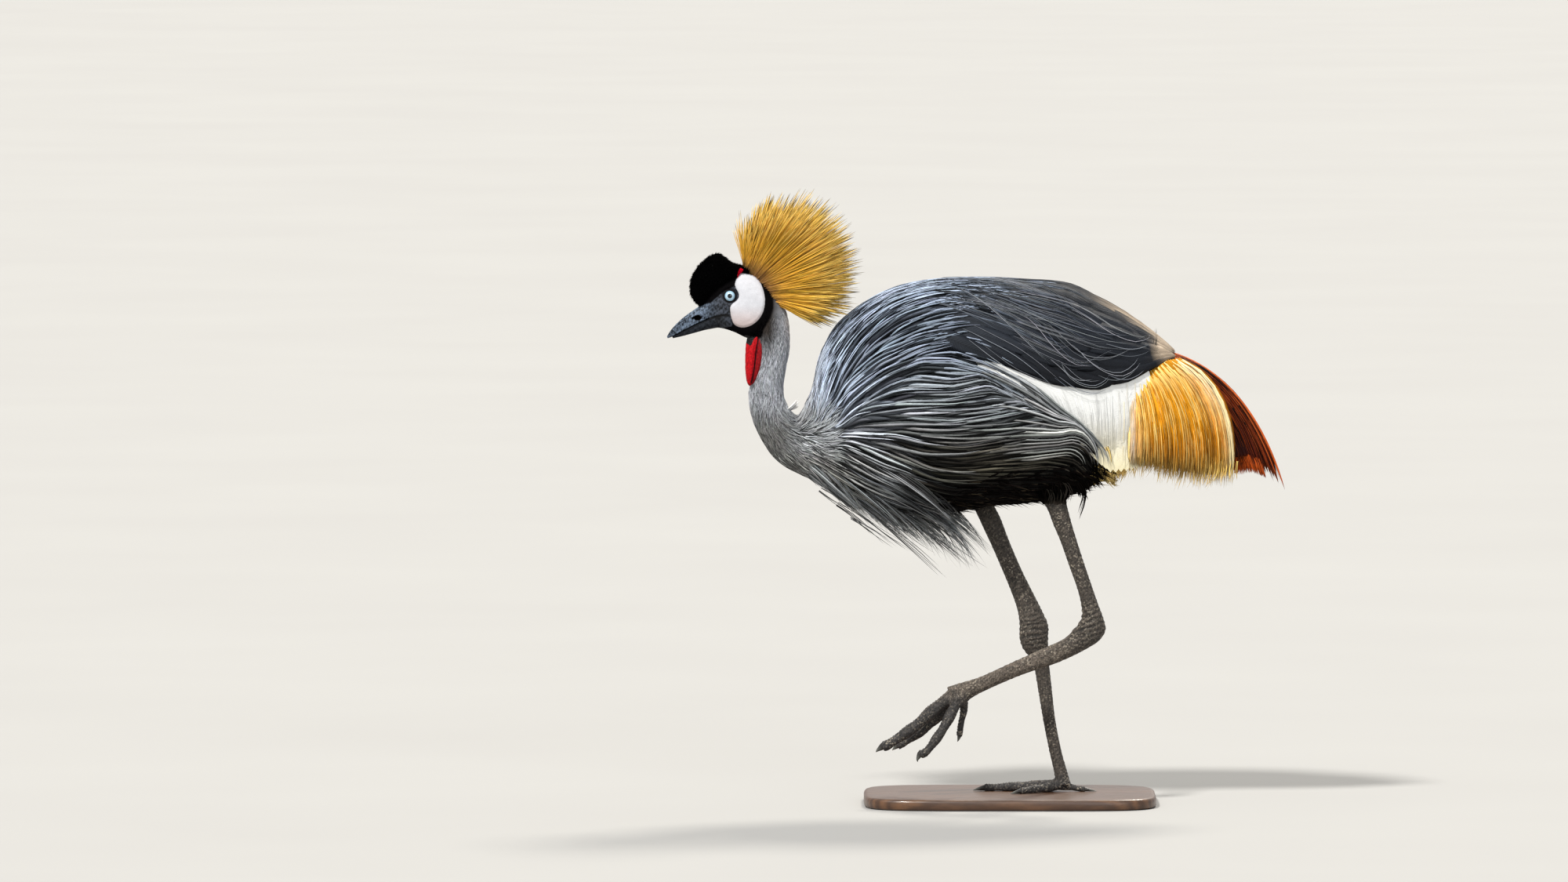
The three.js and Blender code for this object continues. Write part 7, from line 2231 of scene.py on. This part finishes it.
def strands(tf, rng, pts, y, width, colour, n, spread, side=-1, root=0.6):
    """n fine strands along a curve through places (u, v) of the side view, y millimetres out, parting towards their tips."""
    pts = np.asarray(pts, float)
    K = 8
    C = catmull(pts, np.linspace(0, len(pts) - 1, K))
    s = np.linspace(0, 1, K)[None]
    a, b = rng.normal(0, 1, (n, 1)), rng.normal(0, 1, (n, 1))
    D = unit(np.gradient(C, axis=0))
    over = np.stack([-D[:, 1], D[:, 0]], -1)
    uv = C[None] + over[None] * (a * (0.35 * spread + spread * s ** 1.5))[..., None]
    cut = rng.uniform(0.78, 1.04, (n, 1))
    uv = uv[:, :1] + (uv - uv[:, :1]) * cut[..., None]
    yy = side * (np.asarray(y, float) * 1e-3 + 0.0006 * b + 0.0012 * b * s)
    P = np.stack([X(uv[..., 0]), yy * np.ones((n, K)), Z(uv[..., 1])], -1)
    N = np.broadcast_to(unit(np.array([0.1, side, 0.2])), P.shape)
    W = profile(n, K - 1, "hair") * (width * 1e-3 * rng.uniform(0.7, 1.2, n))[:, None]
    base = np.asarray(colour)[None] * np.exp(rng.normal(0, 0.25, (n, 1)))
    vane(tf, P, N, W, W * 0.8, tone_along(base, rng, 0.05, root, 1.1, K - 1), "tri")


def loose_plumes():
    """Single plumes that stand off the outline: vent, thigh, breast, nape, and the fringe under the wing."""
    rng = np.random.default_rng(83)
    black, grey, gold = srgb(18, 14, 12), srgb(132, 134, 134), srgb(252, 212, 118) / EXPOSE
    for side, name in ((-1, "left"), (1, "right")):
        tf = Tufts(f"vent_plumes_{name}")
        for pts, y in (([(1372, 583), (1396, 584), (1421, 593)], 52), ([(1370, 586), (1394, 592), (1426, 604)], 50), ([(1368, 590), (1392, 598), (1414, 609)], 50),
                       ([(1366, 594), (1388, 604), (1406, 619)], 48), ([(1362, 598), (1382, 608), (1394, 624)], 46), ([(1356, 602), (1374, 614), (1383, 636)], 46),
                       ([(1390, 574), (1404, 582), (1416, 598)], 56), ([(1372, 600), (1386, 610), (1389, 622)], 44)):
            strands(tf, rng, pts, y, 1.5, black, 14, 2.4, side)
        strands(tf, rng, [(1370, 604), (1384, 620), (1383, 640), (1376, 661)], 46, 1.0, black, 4, 0.7, side)
        for pts in ([(1316, 606), (1344, 614), (1354, 626), (1351, 643)], [(1306, 612), (1334, 618), (1344, 630), (1340, 645)], [(1324, 602), (1352, 608), (1366, 622), (1362, 640)]):
            strands(tf, rng, pts, 58, 1.0, srgb(62, 58, 52), 6, 1.6, side)
        tf.build(MAT["black"], "plumage_black")
        tf = Tufts(f"breast_wisps_{name}")
        for (u, v), back in (((1092, 656), 90), ((1116, 678), 96), ((1142, 698), 110), ((1164, 706), 118), ((1191, 706), 120), ((1211, 739), 150), ((1230, 722), 130),
                             ((1247, 729), 140), ((1260, 725), 140), ((1270, 709), 138), ((1256, 690), 126), ((1235, 672), 110), ((1243, 655), 104), ((1222, 657), 100)):
            a = math.radians(np.interp(u, [1070, 1180], [31, 39]) + rng.normal(0, 2))
            du, dv = math.cos(a), math.sin(a)
            bow = rng.uniform(-4, 5)
            pts = [(u - back * du, v - back * dv), (u - 0.62 * back * du + bow * dv * 0.7, v - 0.62 * back * dv - bow * du * 0.7), (u - 0.3 * back * du + bow * dv, v - 0.3 * back * dv - bow * du), (u, v)]
            pts = pts[1:] if u < 1150 else pts
            strands(tf, rng, pts, rng.uniform(0.25, 1) * np.interp(u, [1070, 1150, 1200], [7, 20, 40]), 0.55, grey * rng.uniform(0.35, 1.1), 3, 2.4, side, root=0.8)
        tf.build(MAT["grey"], "plumage_grey")
        tf = Tufts(f"gold_fringe_{name}")
        for u in np.linspace(1416, 1574, 40):
            top = np.interp(u, [1416, 1440, 1494, 1530, 1571], [580, 584, 594, 602, 602])
            drop = np.interp(u, [1416, 1440, 1480, 1500, 1538, 1571], [20, 24, 24, 26, 22, 12]) * rng.uniform(0.5, 1.15)
            lean = rng.normal(-2, 5)
            strands(tf, rng, [(u + 3, top - 16), (u + 1, top), (u + lean, top + drop)], np.interp(u, [1416, 1571], [62, 36]), 0.5, gold * rng.uniform(0.85, 1.1), 4, 2.2, side, root=1.0)
        tf.build(MAT["gold"], "plumage_gold")
        tf = Tufts(f"slate_tips_{name}")
        strands(tf, rng, [(1452, 462), (1468, 450), (1474, 436), (1475, 420)], 47, 0.7, srgb(44, 45, 50), 5, 0.7, side)
        strands(tf, rng, [(1440, 474), (1462, 468), (1478, 456), (1486, 446)], 52, 0.8, srgb(48, 49, 54), 7, 1.2, side)
        tf.build(MAT["slate"], "plumage_slate")
    tf = Tufts("nape_tuft")
    for k in range(5):
        strands(tf, rng, [(1000, 524), (1008, 519 + k), (1013.5 + 0.6 * k, 513.5 + 1.5 * k), (1018 - 0.3 * k, 507 + 2.6 * k)], 3 * k - 6, 0.8, srgb(250, 248, 246) / EXPOSE, 7, 1.3, 1, root=0.9)
    tf.build(MAT["grey"], "plumage_grey")


surf = guide_surface()
print("guide", len(surf.V))
build_skin()
build_bill()
build_eyes()
build_claws()
build_base()
body_coat(surf)
caps = build_cap(surf)
build_crown()
neck_coat(surf, caps)
breast_coat(surf)
edge_plumes()
wing_slate(surf)
wing_white()
wing_gold()
wing_chestnut()
build_tail()
under_coat(surf)
loose_plumes()
